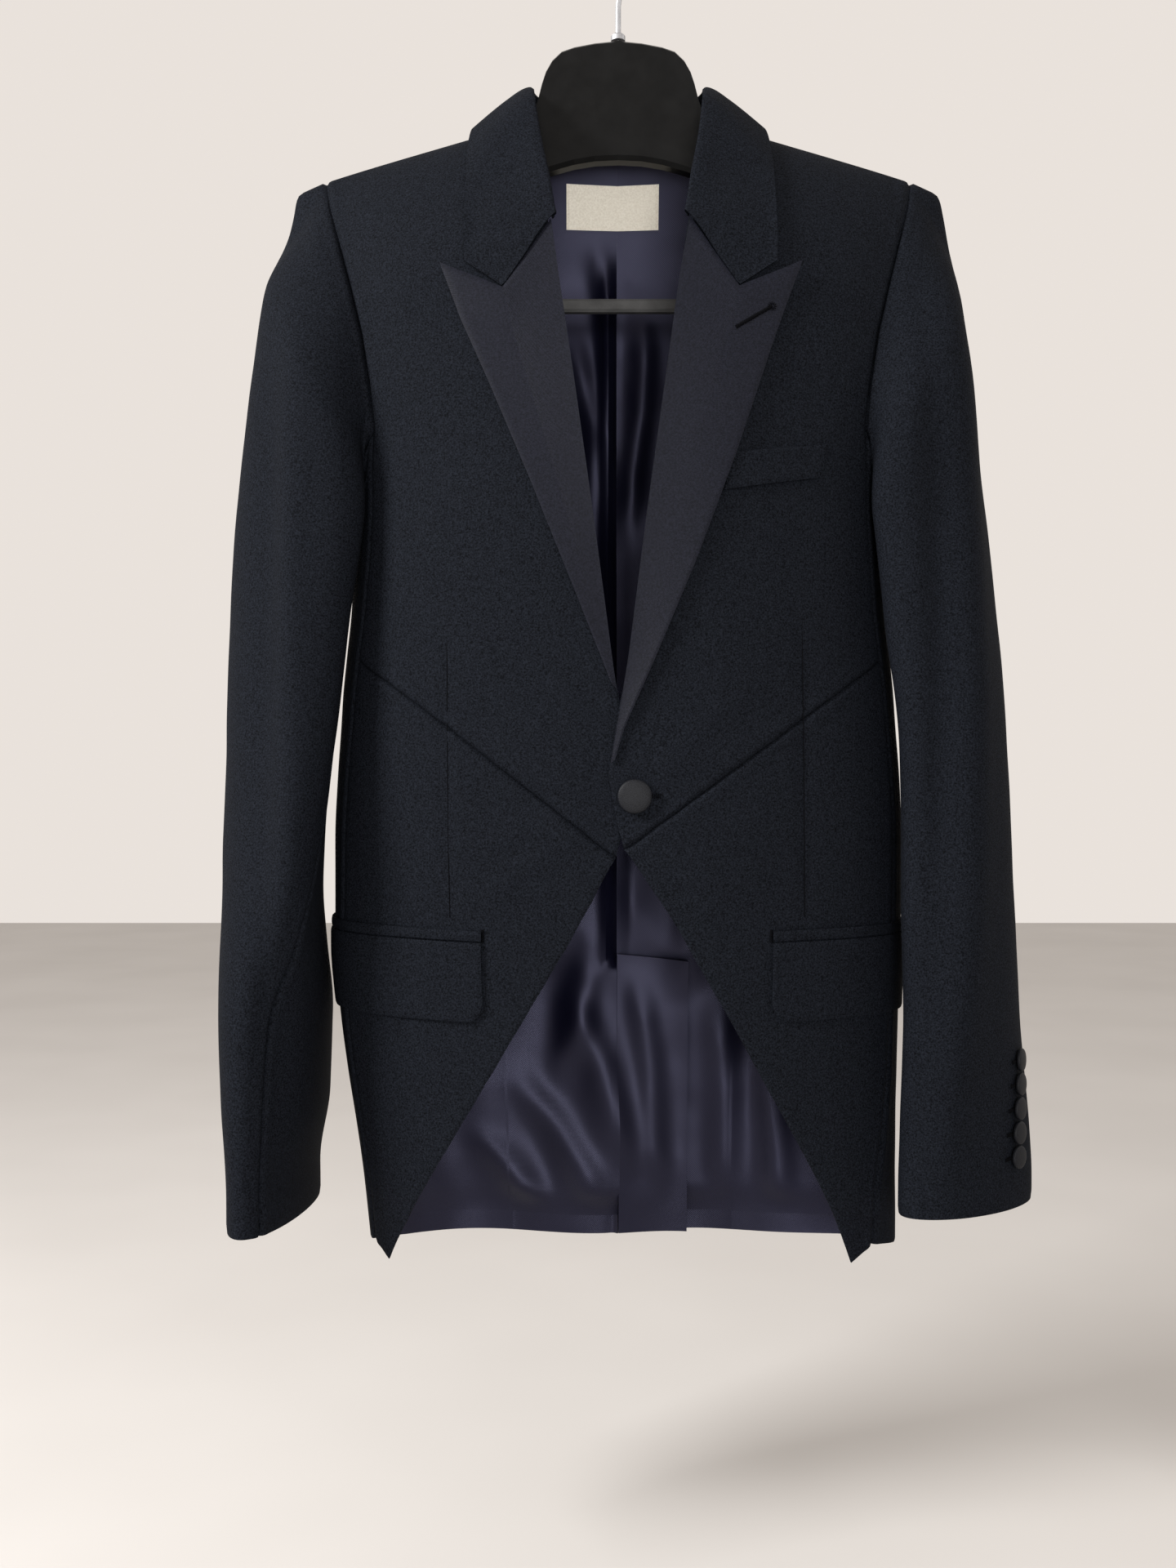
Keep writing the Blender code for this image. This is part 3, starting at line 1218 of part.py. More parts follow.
def make_cuff_buttons(side: int, name: str) -> None:
    """Make the row of cuff buttons behind a sleeve's outer side."""
    steps = sleeve_steps()
    panel = sleeve_grid(side, steps)
    column = int(np.argmin(np.abs(steps + CUFF_BUTTON_STEP)))
    line, inward = panel.outer[:, column], panel.inward[:, column]
    profile = button_profile(CUFF_BUTTON_RADIUS, CUFF_BUTTON_HEIGHT)
    points, faces = turned_solid(profile, BUTTON_SIDES)
    for number in range(CUFF_BUTTON_COUNT):
        z = CUFF_Z[side] + CUFF_BUTTON_FIRST + number * CUFF_BUTTON_PITCH
        foot = np.array([np.interp(-z, -line[:, 2], line[:, axis]) for axis in range(3)])
        way = -np.array([np.interp(-z, -line[:, 2], inward[:, axis]) for axis in range(3)])
        placed = stand_on(points, foot + BUTTON_REST * way, way)
        add_solid(f"cuff_button_{name}_{number + 1}", placed, faces, BUTTON_BLACK)


class HangerSection(NamedTuple):
    """An upright section of the hanger: its top and bottom at a distance from the centre."""

    x: float
    top_z: float
    bottom_z: float
    half_thickness: float


ARM_TOP_DROP = 0.0046
ARM_END_X = 0.176


def arm_top(x: float) -> float:
    """Height of the hanger's arm, just under the cloth on its shoulder."""
    return float(shoulder_line(x)) - ARM_TOP_DROP


HANGER_SECTIONS = (
    HangerSection(0.0000, -0.0780, -0.1551, 0.0065),
    HangerSection(0.0150, -0.0795, -0.1558, 0.0065),
    HangerSection(0.0280, -0.0820, -0.1580, 0.0065),
    HangerSection(0.0360, -0.0848, -0.1602, 0.0065),
    HangerSection(0.0420, -0.0905, -0.1620, 0.0065),
    HangerSection(0.0460, -0.0975, -0.1632, 0.0065),
    HangerSection(0.0485, -0.1050, -0.1640, 0.0065),
    HangerSection(0.0510, -0.1150, -0.1648, 0.0065),
    HangerSection(0.0560, -0.1300, -0.1662, 0.0068),
    HangerSection(0.0610, -0.1378, -0.1675, 0.0072),
    HangerSection(0.0670, -0.1405, -0.1690, 0.0076),
    HangerSection(0.0760, arm_top(0.076), -0.1705, 0.0082),
    HangerSection(0.1000, arm_top(0.100), -0.1740, 0.0090),
    HangerSection(0.1300, arm_top(0.130), -0.1790, 0.0080),
    HangerSection(0.1560, arm_top(0.156) - 0.0008, -0.1850, 0.0065),
    HangerSection(ARM_END_X, arm_top(ARM_END_X) - 0.0025, -0.1900, 0.0050),
)
HANGER_MIDDLE_Y = 0.0
CREST = ((0.14, 0.0), (0.36, 2.0), (0.68, 4.8), (1.0, 10.0))
FOOT_BEVEL = 0.0025
PLATE_CREST_X = 0.060
PLATE_CREST_SCALE = 0.3
MILLIMETRE = 0.001


def hanger_outline(section: HangerSection) -> list:
    """Section of the hanger as y and z, round at the top and bevelled at the foot."""
    wide = section.half_thickness
    crest_scale = 1.0 if section.x > PLATE_CREST_X else PLATE_CREST_SCALE
    half = []
    for share, drop in CREST:
        half.append((share * wide, section.top_z - crest_scale * drop * MILLIMETRE))
    half.append((wide, section.bottom_z + FOOT_BEVEL))
    half.append((wide - FOOT_BEVEL, section.bottom_z))
    other = [(-y, z) for y, z in reversed(half)]
    return [(HANGER_MIDDLE_Y + y, z) for y, z in half + other]


def make_hanger_body() -> None:
    """Make the hanger's plate and arms as one moulded piece."""
    sections = [section._replace(x=-section.x) for section in HANGER_SECTIONS[:0:-1]]
    outlines = []
    for section in sections + list(HANGER_SECTIONS):
        wide_apart = section._replace(x=abs(section.x))
        outlines.append([(section.x, y, z) for y, z in hanger_outline(wide_apart)])
    points, faces = lofted(np.array(outlines))
    add_solid("hanger_body", points, faces, HANGER_BLACK)


def lofted(rings: np.ndarray) -> tuple[np.ndarray, list]:
    """Skin a row of like closed sections and cap both ends."""
    count, sides = rings.shape[:2]
    faces = []
    for ring in range(count - 1):
        for index in range(sides):
            after = (index + 1) % sides
            low, high = ring * sides, (ring + 1) * sides
            faces.append((low + index, high + index, high + after, low + after))
    faces.append(tuple(range(sides)))
    faces.append(tuple(reversed(range((count - 1) * sides, count * sides))))
    return rings.reshape(-1, 3), faces


BAR_Z = -0.2470
BAR_HALF_SPAN = 0.1500
BAR_HALF_WIDTH = 0.0035
BAR_HALF_HEIGHT = 0.0042
BAR_CORNER = 0.012
BAR_CORNER_CELLS = 4
ARM_FOOT_FALL = 0.0012
BAR_OUTLINE = (
    (-0.6, -1), (0.6, -1), (1, -0.6), (1, 0.6), (0.6, 1), (-0.6, 1), (-1, 0.6), (-1, -0.6),
)


def make_hanger_bar() -> None:
    """Make the trouser bar and its two risers, hanging from the arms."""
    reach = [section.x for section in HANGER_SECTIONS]
    feet = [section.bottom_z for section in HANGER_SECTIONS]
    top = float(np.interp(BAR_HALF_SPAN, reach, feet)) - RESTING_GAP - ARM_FOOT_FALL
    line = [(-BAR_HALF_SPAN, top)]
    for start, centre in ((180, -1), (270, 1)):
        for step in range(BAR_CORNER_CELLS + 1):
            angle = math.radians(start + 90 * step / BAR_CORNER_CELLS)
            x = centre * (BAR_HALF_SPAN - BAR_CORNER) + BAR_CORNER * math.cos(angle)
            line.append((x, BAR_Z + BAR_CORNER + BAR_CORNER * math.sin(angle)))
    line.append((BAR_HALF_SPAN, top))
    path = np.array(line)
    ways = np.gradient(path, axis=0)
    ways /= np.linalg.norm(ways, axis=1, keepdims=True)
    rings = []
    for (x, z), (way_x, way_z) in zip(path, ways):
        ring = []
        for across, upward in BAR_OUTLINE:
            rise = upward * BAR_HALF_HEIGHT
            y = HANGER_MIDDLE_Y + across * BAR_HALF_WIDTH
            ring.append((x - way_z * rise, y, z + way_x * rise))
        rings.append(ring)
    add_solid("hanger_bar", *lofted(np.array(rings)), HANGER_BLACK)


HOOK_WIRE = 0.0018
HOOK_INNER_RADIUS = 0.0200
HOOK_SIDES = 10
HOOK_STEM_Z = (-0.0776, -0.0690, -0.0600, -0.0550)
HOOK_NECK_CELLS = 5
HOOK_NECK_PULL = 0.4
HOOK_BEND_START = 56
HOOK_BEND_END = 196
HOOK_BEND_STEP = 12
HOOK_TIP_SHARE = 0.55
FERRULE_RADIUS = 0.0046
FERRULE_HEIGHT = 0.0045
FERRULE_BEVEL = 0.001
FERRULE_SIDES = 20


def hook_path() -> np.ndarray:
    """The hook's middle line as x and z: stem, neck and bend over the rail."""
    radius = HOOK_INNER_RADIUS + HOOK_WIRE
    stem = np.array([(0.0, z) for z in HOOK_STEM_Z])
    angles = np.radians(np.arange(-HOOK_BEND_START, HOOK_BEND_END + 1, HOOK_BEND_STEP))
    bend = radius * np.stack([np.cos(angles), np.sin(angles)], axis=-1) - (0.0, HOOK_INNER_RADIUS)
    start, end = stem[-1], bend[0]
    pull = HOOK_NECK_PULL * float(np.linalg.norm(end - start))
    heading = np.array([-math.sin(angles[0]), math.cos(angles[0])])
    neck = bezier([start, start + (0.0, pull), end - pull * heading, end], HOOK_NECK_CELLS)
    return np.concatenate([stem, neck[1:-1], bend])


def make_hook() -> None:
    """Make the hook of round wire, with a rounded tip."""
    path = hook_path()
    ways = np.gradient(path, axis=0)
    ways /= np.linalg.norm(ways, axis=1, keepdims=True)
    rings = []
    for index, ((x, z), (way_x, way_z)) in enumerate(zip(path, ways)):
        size = HOOK_WIRE * (HOOK_TIP_SHARE if index == len(path) - 1 else 1.0)
        ring = []
        for number in range(HOOK_SIDES):
            angle = math.tau * number / HOOK_SIDES
            out, across = size * math.cos(angle), size * math.sin(angle)
            ring.append((x + way_z * out, HANGER_MIDDLE_Y + across, z - way_x * out))
        rings.append(ring)
    add_solid("hook", *lofted(np.array(rings)), STEEL)


def make_hook_ferrule() -> None:
    """Make the collar around the hook's foot, on the plate's top."""
    inner, outer = HOOK_WIRE + RESTING_GAP, FERRULE_RADIUS
    foot, top = HANGER_SECTIONS[0].top_z + RESTING_GAP, HANGER_SECTIONS[0].top_z + FERRULE_HEIGHT
    shoulder = (outer, top - FERRULE_BEVEL)
    section = ((inner, foot), (outer, foot), shoulder, (outer - FERRULE_BEVEL, top), (inner, top))
    points, faces = [], []
    for index in range(FERRULE_SIDES):
        angle = math.tau * index / FERRULE_SIDES
        for radius, z in section:
            points.append((radius * math.cos(angle), HANGER_MIDDLE_Y + radius * math.sin(angle), z))
    size = len(section)
    for index in range(FERRULE_SIDES):
        here, there = index * size, ((index + 1) % FERRULE_SIDES) * size
        for corner in range(size):
            after = (corner + 1) % size
            faces.append((here + corner, there + corner, there + after, here + after))
    add_solid("hook_ferrule", np.array(points), faces, STEEL)


SIDES = {1: "left", -1: "right"}


def main() -> None:
    """Clear the scene and build every piece of the blazer and its hanger."""
    for thing in list(bpy.data.objects):
        bpy.data.objects.remove(thing, do_unlink=True)
    for side, name in SIDES.items():
        for piece, panel, seams in (
            ("front_upper_", front_upper(side), "top bottom end"),
            ("front_lower_", front_lower(side), "top end"),
            ("side_panel_", side_panel(side), "start end"),
            ("back_", back_panel(side), "start end"),
        ):
            add_solid(piece + name, *panel_solid(panel, seams, CLOTH), WOOL)
        make_sleeve(side, name)
        make_lapel(side, name)
        make_lining(side, name)
        make_pocket(side, name)
        make_cuff_buttons(side, name)
    make_collar()
    make_vent_underlap()
    make_label()
    make_breast_welt()
    make_front_button()
    make_hanger_body()
    make_hanger_bar()
    make_hook()
    make_hook_ferrule()


if __name__ == "__main__":
    main()
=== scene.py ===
"""Dressed model of a single-button tailored blazer on its moulded hanger.

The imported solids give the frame: metres, +Z up, the origin where the hook bears on its rail,
+X the wearer's left (the viewer's right) and -Y the front. Each cloth piece is laid on the same
round form as its solid, sampled finely, with its folds, seams, edges and stitches added.
"""

import logging
import math
from dataclasses import dataclass, field
from enum import Enum
from typing import NamedTuple

import bmesh
import bpy
import numpy as np
from mathutils import Matrix, Vector


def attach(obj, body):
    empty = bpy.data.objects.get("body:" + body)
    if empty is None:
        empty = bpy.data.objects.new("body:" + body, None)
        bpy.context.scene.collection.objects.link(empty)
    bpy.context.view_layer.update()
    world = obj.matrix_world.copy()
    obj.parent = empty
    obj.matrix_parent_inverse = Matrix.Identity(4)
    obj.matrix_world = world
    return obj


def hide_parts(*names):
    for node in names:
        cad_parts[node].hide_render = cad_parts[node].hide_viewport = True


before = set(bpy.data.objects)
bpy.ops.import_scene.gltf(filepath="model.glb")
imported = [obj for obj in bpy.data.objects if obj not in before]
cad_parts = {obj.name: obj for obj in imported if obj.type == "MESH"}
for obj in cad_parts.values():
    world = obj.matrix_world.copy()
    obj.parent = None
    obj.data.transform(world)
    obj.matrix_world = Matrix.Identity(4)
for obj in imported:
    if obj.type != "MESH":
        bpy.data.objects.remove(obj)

Array = np.ndarray
Material = bpy.types.Material
Thing = bpy.types.Object
Socket = bpy.types.NodeSocket
Tone = tuple[float, float, float]
Place = tuple[float, float, float]

LOG = logging.getLogger("blazer")
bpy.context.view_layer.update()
SIDES = {1: "left", -1: "right"}
TINY = 1e-12
CLOSE = 1e-6
SMALL_TURN = 0.004
SMALL_DROP = 0.0008


# The round form that the cloth is cut on
CLOTH = 0.0015
LAPEL_CLOTH = 0.0013
LINING_CLOTH = 0.0010
SEAM_INSET = 0.00002
ARMHOLE_GAP = 0.0001
SHOULDER_SLOPE = 0.29
SHOULDER_NECK_X = 0.070
SHOULDER_NECK_Z = -0.1345
SHOULDER_TIP_X = 0.186
CLOSING_DEPTH = 0.100
CLOSING_POWER = 1.6
SECTION_POWER = 2.4
FRONT_LAP = 0.0036
FRONT_LAP_FULL_X = 0.040
FRONT_LAP_END_X = 0.120
WAVE_TOP_Z = -0.700
WAVE_FULL_Z = -0.840
WAVE_DEPTH = 0.006
WAVE_CREST_X = -0.100
WAVE_LENGTH = 0.150


def even(steps: int) -> Array:
    """Even shares from 0 to 1 in a number of steps."""
    return np.linspace(0.0, 1.0, steps + 1)


def table(kind: type, *rows: tuple[float, ...]) -> tuple:
    """Make a table whose rows are all of one kind."""
    return tuple(kind(*row) for row in rows)


class TorsoSection(NamedTuple):
    """One horizontal section of the torso form."""

    z: float
    left_half_width: float
    right_half_width: float
    middle_y: float
    front_depth: float
    back_depth: float


TORSO = table(
    TorsoSection,
    (-0.890, 0.1775, 0.1560, 0.006, 0.058, 0.056), (-0.850, 0.1775, 0.1580, 0.006, 0.060, 0.055),
    (-0.800, 0.1770, 0.1630, 0.006, 0.064, 0.053), (-0.760, 0.1770, 0.1685, 0.006, 0.067, 0.052),
    (-0.700, 0.1785, 0.1770, 0.006, 0.071, 0.050), (-0.650, 0.1800, 0.1810, 0.006, 0.074, 0.046),
    (-0.600, 0.1805, 0.1810, 0.006, 0.077, 0.042), (-0.500, 0.1755, 0.1755, 0.006, 0.080, 0.040),
    (-0.440, 0.1700, 0.1700, 0.006, 0.083, 0.048), (-0.384, 0.1680, 0.1680, 0.006, 0.085, 0.055),
    (-0.336, 0.1730, 0.1730, 0.005, 0.082, 0.056), (-0.300, 0.1790, 0.1790, 0.003, 0.078, 0.056),
    (-0.245, 0.1880, 0.1880, 0.002, 0.071, 0.055), (-0.188, 0.1980, 0.1980, 0.000, 0.064, 0.051),
    (-0.140, 0.2050, 0.2050, 0.000, 0.060, 0.047), (-0.100, 0.2100, 0.2100, 0.000, 0.058, 0.045),
)


class SidePoint(NamedTuple):
    """A point given by its distance from the centre plane and its height."""

    x: float
    z: float


def point_line(*rows: tuple[float, float]) -> tuple[SidePoint, ...]:
    """Make a line of points."""
    return table(SidePoint, *rows)


ARMHOLE_FRONT = point_line(
    (0.1860, -0.1680), (0.1815, -0.1880), (0.1735, -0.2160), (0.1655, -0.2450), (0.1580, -0.2760),
    (0.1530, -0.3070), (0.1505, -0.3360), (0.1525, -0.3600), (0.1590, -0.3770), (0.1680, -0.3840),
)
ARMHOLE_BACK = point_line(
    (0.1860, -0.1680), (0.1835, -0.1880), (0.1780, -0.2160), (0.1720, -0.2450), (0.1670, -0.2760),
    (0.1630, -0.3070), (0.1610, -0.3360), (0.1620, -0.3600), (0.1650, -0.3770), (0.1680, -0.3840),
)
ARMHOLE_CENTRE_Z = -0.276
TORSO_MIDDLE_Y = 0.002
UNDERARM_SPREAD_START = 4
SEAM_STEP = 7
UNDERARM_STEP = 9


class SideSeams(NamedTuple):
    """Where the side panel's two seams lie, as shares of the half width at a height."""

    z: float
    front_left: float
    front_right: float
    back: float


SIDE_SEAMS = table(
    SideSeams,
    (-0.890, 0.885, 0.968, 0.930), (-0.840, 0.888, 0.965, 0.930), (-0.720, 0.945, 0.955, 0.940),
    (-0.600, 0.945, 0.945, 0.945), (-0.476, 0.930, 0.930, 0.950), (-0.360, 0.8945, 0.8945, 0.9505),
)


class FrontEdge(NamedTuple):
    """The free front edge of one side, from the neck to the point where the cutaway ends."""

    upper: tuple[SidePoint, ...]
    lower: tuple[SidePoint, ...]


WAIST_FRONT = {1: SidePoint(0.0021, -0.5910), -1: SidePoint(0.0026, -0.5958)}
FRONT_EDGES = {
    1: FrontEdge(
        upper=point_line(
            (0.0720, -0.1350), (0.0409, -0.2141), (0.0349, -0.2505), (0.0263, -0.3127),
            (0.0143, -0.3989), (0.0047, -0.4756), (-0.0015, -0.5139), (-0.0073, -0.5474),
            (-0.0073, -0.5700), WAIST_FRONT[1],
        ),
        lower=point_line(
            WAIST_FRONT[1], (0.0295, -0.6301), (0.0417, -0.6521), (0.0685, -0.6983),
            (0.0984, -0.7531), (0.1180, -0.7873), (0.1294, -0.8098), (0.1434, -0.8473),
        ),
    ),
    -1: FrontEdge(
        upper=point_line(
            (0.0720, -0.1350), (0.0429, -0.2170), (0.0360, -0.2540), (0.0270, -0.3160),
            (0.0150, -0.4020), (0.0050, -0.4780), (-0.0015, -0.5160), (-0.0070, -0.5490),
            (-0.0060, -0.5720), WAIST_FRONT[-1],
        ),
        lower=point_line(
            WAIST_FRONT[-1], (0.0290, -0.6448), (0.0530, -0.6855), (0.0777, -0.7276),
            (0.1020, -0.7690), (0.1180, -0.7962), (0.1297, -0.8182), (0.1439, -0.8480),
        ),
    ),
}
WAIST_SEAM_BEND = SidePoint(0.1099, -0.5132)
WAIST_SEAM_END_Z = -0.4761
FRONT_HEM_Z = -0.8380
BACK_SEAM_HEM_Z = -0.8500
BACK_HEM_Z = -0.8560
NECK_BACK_Z = -0.1400
NECK_SIDE_X = 0.0720
NECK_CURVE_POWER = 2.0
SHOULDER_SEAM_HALF_GAP = 0.00003
SHOULDER_MITRE = np.array([0.0, 0.0, -1.2])
SHOULDER_COLUMNS = 8
NECK_COLUMNS = 4
ARMHOLE_STEPS = np.array([0.0, 0.5, 1.0, 2.0, 3.0, 4.0, 5.0, 6.0, 7.0])
UNDERARM_STEPS = np.array([7.0, 8.0, 9.0])
CHEST_ROWS = 3
SKIRT_ROWS = 10
HEM_ROW_SHARES = even(SKIRT_ROWS)


def smooth_column(heights: Array, values: Array, at: Array) -> Array:
    """Read a smooth curve through a table's column that never overshoots its values.

    Args:
        heights: The rows' heights.
        values: The column.
        at: Where to read.

    Returns:
        The value at each place.
    """
    order = np.argsort(heights)
    x, y = np.asarray(heights, float)[order], np.asarray(values, float)[order]
    step = np.diff(x)
    slope = np.diff(y) / step
    tangent = np.zeros_like(y)
    same_way = slope[:-1] * slope[1:] > 0
    first, second = 2 * step[1:] + step[:-1], step[1:] + 2 * step[:-1]
    with np.errstate(divide="ignore", invalid="ignore"):
        mean = (first + second) / (first / slope[:-1] + second / slope[1:])
    tangent[1:-1] = np.where(same_way, mean, 0.0)
    tangent[0], tangent[-1] = slope[0], slope[-1]
    where = np.clip(np.asarray(at, float), x[0], x[-1])
    cell = np.clip(np.searchsorted(x, where, side="right") - 1, 0, len(x) - 2)
    width = step[cell]
    t = (where - x[cell]) / width
    return (
        (1 + 2 * t) * (1 - t) ** 2 * y[cell]
        + t * (1 - t) ** 2 * width * tangent[cell]
        + t * t * (3 - 2 * t) * y[cell + 1]
        + t * t * (t - 1) * width * tangent[cell + 1]
    )


def table_value(table: tuple, column: str, z: Array) -> Array:
    """Read one column of a table at the given heights.

    Args:
        table: The table.
        column: The column's name.
        z: Heights.

    Returns:
        The value at each height.
    """
    heights = np.array([row.z for row in table])
    values = np.array([getattr(row, column) for row in table])
    return smooth_column(heights, values, z)


def half_width(side: int, z: Array) -> Array:
    """Half width of the torso form on one side at a height."""
    return table_value(TORSO, "left_half_width" if side > 0 else "right_half_width", z)


def unit(ways: Array) -> Array:
    """Ways of length one."""
    return ways / np.maximum(np.linalg.norm(ways, axis=-1, keepdims=True), TINY)


def bell(distance: Array, width: float | Array) -> Array:
    """Share that is 1 at no distance and falls off over a width."""
    return np.exp(-((distance / width) ** 2))


def smoothstep(start: float, end: float, value: Array) -> Array:
    """Rise from 0 at start to 1 at end, flat at both."""
    t = np.clip((np.asarray(value, float) - start) / (end - start), 0.0, 1.0)
    return t * t * (3 - 2 * t)


def signed_power(value: Array, power: float) -> Array:
    """Raise the size of a number to a power and keep its sign."""
    return np.sign(value) * np.abs(value) ** power


def shoulder_line(x: Array) -> Array:
    """Height of the shoulder ridge at a distance from the centre plane."""
    return SHOULDER_NECK_Z - SHOULDER_SLOPE * (np.abs(x) - SHOULDER_NECK_X)


def closing(drop: Array) -> Array:
    """Share of the torso's full depth at a drop below the shoulder ridge."""
    share = np.clip(np.asarray(drop, float) / CLOSING_DEPTH, 0.0, 1.0)
    return (1 - (1 - share) ** CLOSING_POWER) ** (1 / CLOSING_POWER)


def hem_wave(x: Array, z: Array) -> Array:
    """How far the back hangs out or in from its plain form near the hem."""
    depth = WAVE_DEPTH * smoothstep(WAVE_TOP_Z, WAVE_FULL_Z, z)
    return depth * np.cos(math.tau * (x - WAVE_CREST_X) / WAVE_LENGTH)


def front_lap(side: int, x: Array, z: Array) -> Array:
    """How far the wearer's left front lies above the right one, near the centre."""
    near_centre = 1 - smoothstep(FRONT_LAP_FULL_X, FRONT_LAP_END_X, np.abs(x))
    return max(side, 0) * FRONT_LAP * near_centre * closing(shoulder_line(x) - z)


def body_point(side: int, turn: Array, z: Array) -> Array:
    """Point of the torso form on one side, at a turn in radians and a height.

    Args:
        side: 1 for the wearer's left, -1 for the right.
        turn: Turns in radians from the side, forward.
        z: Heights.

    Returns:
        The points.
    """
    turn, z = np.broadcast_arrays(np.asarray(turn, float), np.asarray(z, float))
    power = 2 / SECTION_POWER
    x = side * half_width(side, z) * signed_power(np.cos(turn), power)
    closed = closing(shoulder_line(x) - z)
    reach = np.abs(np.sin(turn)) ** power * closed
    front = table_value(TORSO, "front_depth", z) * reach
    back = table_value(TORSO, "back_depth", z) * reach + hem_wave(x, z) * reach
    front = front + front_lap(side, x, z)
    y = table_value(TORSO, "middle_y", z) + np.where(turn > 0, -front, back)
    return np.stack([x, y, z], axis=-1)


def turn_of(share: Array, front: bool) -> Array:
    """Turn at which the form is at a share of its half width, on the front or the back."""
    turn = np.arccos(np.clip(signed_power(share, SECTION_POWER / 2), -1.0, 1.0))
    return turn if front else -turn


def turn_at(side: int, x: Array, z: Array, front: bool) -> Array:
    """Turn at which the form is at a distance from the centre plane, at a height."""
    return turn_of(np.asarray(x, float) / half_width(side, z), front)


def body_inward(side: int, turn: Array, z: Array) -> Array:
    """Unit direction from the form's surface to its inside.

    Args:
        side: 1 for the wearer's left, -1 for the right.
        turn: Turns in radians from the side, forward.
        z: Heights.

    Returns:
        The directions.
    """
    lower = np.asarray(z, float) - SMALL_DROP
    across = body_point(side, turn + SMALL_TURN, z) - body_point(side, turn - SMALL_TURN, z)
    upward = body_point(side, turn, lower + SMALL_DROP) - body_point(side, turn, lower)
    return unit(np.cross(across, upward) * side)


def armhole_at(steps: Array, front: bool) -> tuple[Array, Array]:
    """Distance from the centre plane and height of the armhole, by steps of 20 sleeve degrees.

    Args:
        steps: Sleeve steps of 20 degrees.
        front: True on the front, False on the back.

    Returns:
        The distances and the heights.
    """
    table = ARMHOLE_FRONT if front else ARMHOLE_BACK
    counts = np.arange(len(table), dtype=float)
    x = smooth_column(counts, np.array([point.x for point in table]), steps)
    z = smooth_column(counts, np.array([point.z for point in table]), steps)
    return x, z


def armhole_turns(side: int, steps: Array, front: bool) -> Array:
    """The armhole as pairs of turn and height on the torso form."""
    return as_turns(side, np.stack(armhole_at(steps, front), axis=-1), front)


def armhole_mitre(steps: Array, front: bool) -> Array:
    """Direction from the armhole's outer edge to its inner edge, shared by torso and sleeve.

    Args:
        steps: Sleeve steps of 20 degrees.
        front: True on the front, False on the back.

    Returns:
        The directions, for the wearer's left.
    """
    x, z = armhole_at(steps, front)
    y = body_point(-1, turn_at(-1, x, z, front), z)[..., 1]
    across = TORSO_MIDDLE_Y - y
    upward = ARMHOLE_CENTRE_Z - z
    length = np.hypot(across, upward)
    inward = np.where(steps < 1, 0.0, across / length)
    rise = np.where(steps < 1, -1.0, upward / length)
    toward_middle = smoothstep(UNDERARM_SPREAD_START, UNDERARM_STEP, steps)
    return np.stack([-toward_middle, inward, rise], axis=-1)


def seam_turn(side: int, z: Array, front: bool) -> Array:
    """Turn of the side panel's front or back seam at a height.

    Args:
        side: 1 for the wearer's left, -1 for the right.
        z: Heights.
        front: True on the front, False on the back.

    Returns:
        The turn at each height.
    """
    if front:
        column = "front_left" if side > 0 else "front_right"
        top = ARMHOLE_FRONT[SEAM_STEP]
    else:
        column = "back"
        top = ARMHOLE_BACK[SEAM_STEP]
    height = np.array(top.z)
    miss = top.x / half_width(side, height) - table_value(SIDE_SEAMS, column, height)
    share = table_value(SIDE_SEAMS, column, z) + miss * smoothstep(WAIST_SEAM_END_Z, top.z, z)
    return turn_of(share, front)


def seam_line(side: int, heights: Array, front: bool) -> Array:
    """The side panel's front or back seam as pairs of turn and height."""
    return np.stack([seam_turn(side, heights, front), heights], axis=-1)


def run_lengths(line: Array) -> Array:
    """Length of a line up to each of its points."""
    return np.concatenate([[0.0], np.cumsum(np.linalg.norm(np.diff(line, axis=0), axis=1))])


def along(corners: tuple[SidePoint, ...], shares: Array) -> Array:
    """Points at shares of the length of a line through the given corners, as x and z.

    Args:
        corners: The line's corners.
        shares: Shares of its length.

    Returns:
        The points.
    """
    line = np.array(corners, float)
    run = length_shares(line)
    return np.stack([np.interp(shares, run, line[:, axis]) for axis in (0, 1)], axis=-1)


def as_turns(side: int, line: Array, front: bool) -> Array:
    """Change pairs of x and z, x positive on the side's own half, to turn and height."""
    x, z = line[..., 0], line[..., 1]
    return np.stack([turn_at(side, x, z, front), z], axis=-1)


def length_shares(line: Array) -> Array:
    """Share of a line's length at each of its points."""
    run = run_lengths(line)
    return run / run[-1]


def coons(top: Array, bottom: Array, start: Array, end: Array) -> Array:
    """Fill four border lines with a grid; start and end run from the top to the bottom.

    Args:
        top: First row.
        bottom: Last row.
        start: First column.
        end: Last column.

    Returns:
        The grid.
    """
    across = length_shares(top)[None, :, None]
    down = length_shares(end)[:, None, None]
    ruled = (1 - down) * top[None] + down * bottom[None]
    other = (1 - across) * start[:, None] + across * end[:, None]
    corners = (
        (1 - down) * ((1 - across) * top[0] + across * top[-1])
        + down * ((1 - across) * bottom[0] + across * bottom[-1])
    )
    return ruled + other - corners


def front_seam_heights() -> tuple[Array, Array]:
    """Heights of the rows on the front seam, above and below the waist seam's end.

    Returns:
        The chest's heights and the skirt's.
    """
    top = ARMHOLE_FRONT[SEAM_STEP].z
    chest = np.linspace(top, WAIST_SEAM_END_Z, CHEST_ROWS + 1)
    skirt = WAIST_SEAM_END_Z + (FRONT_HEM_Z - WAIST_SEAM_END_Z) * HEM_ROW_SHARES
    return chest, skirt


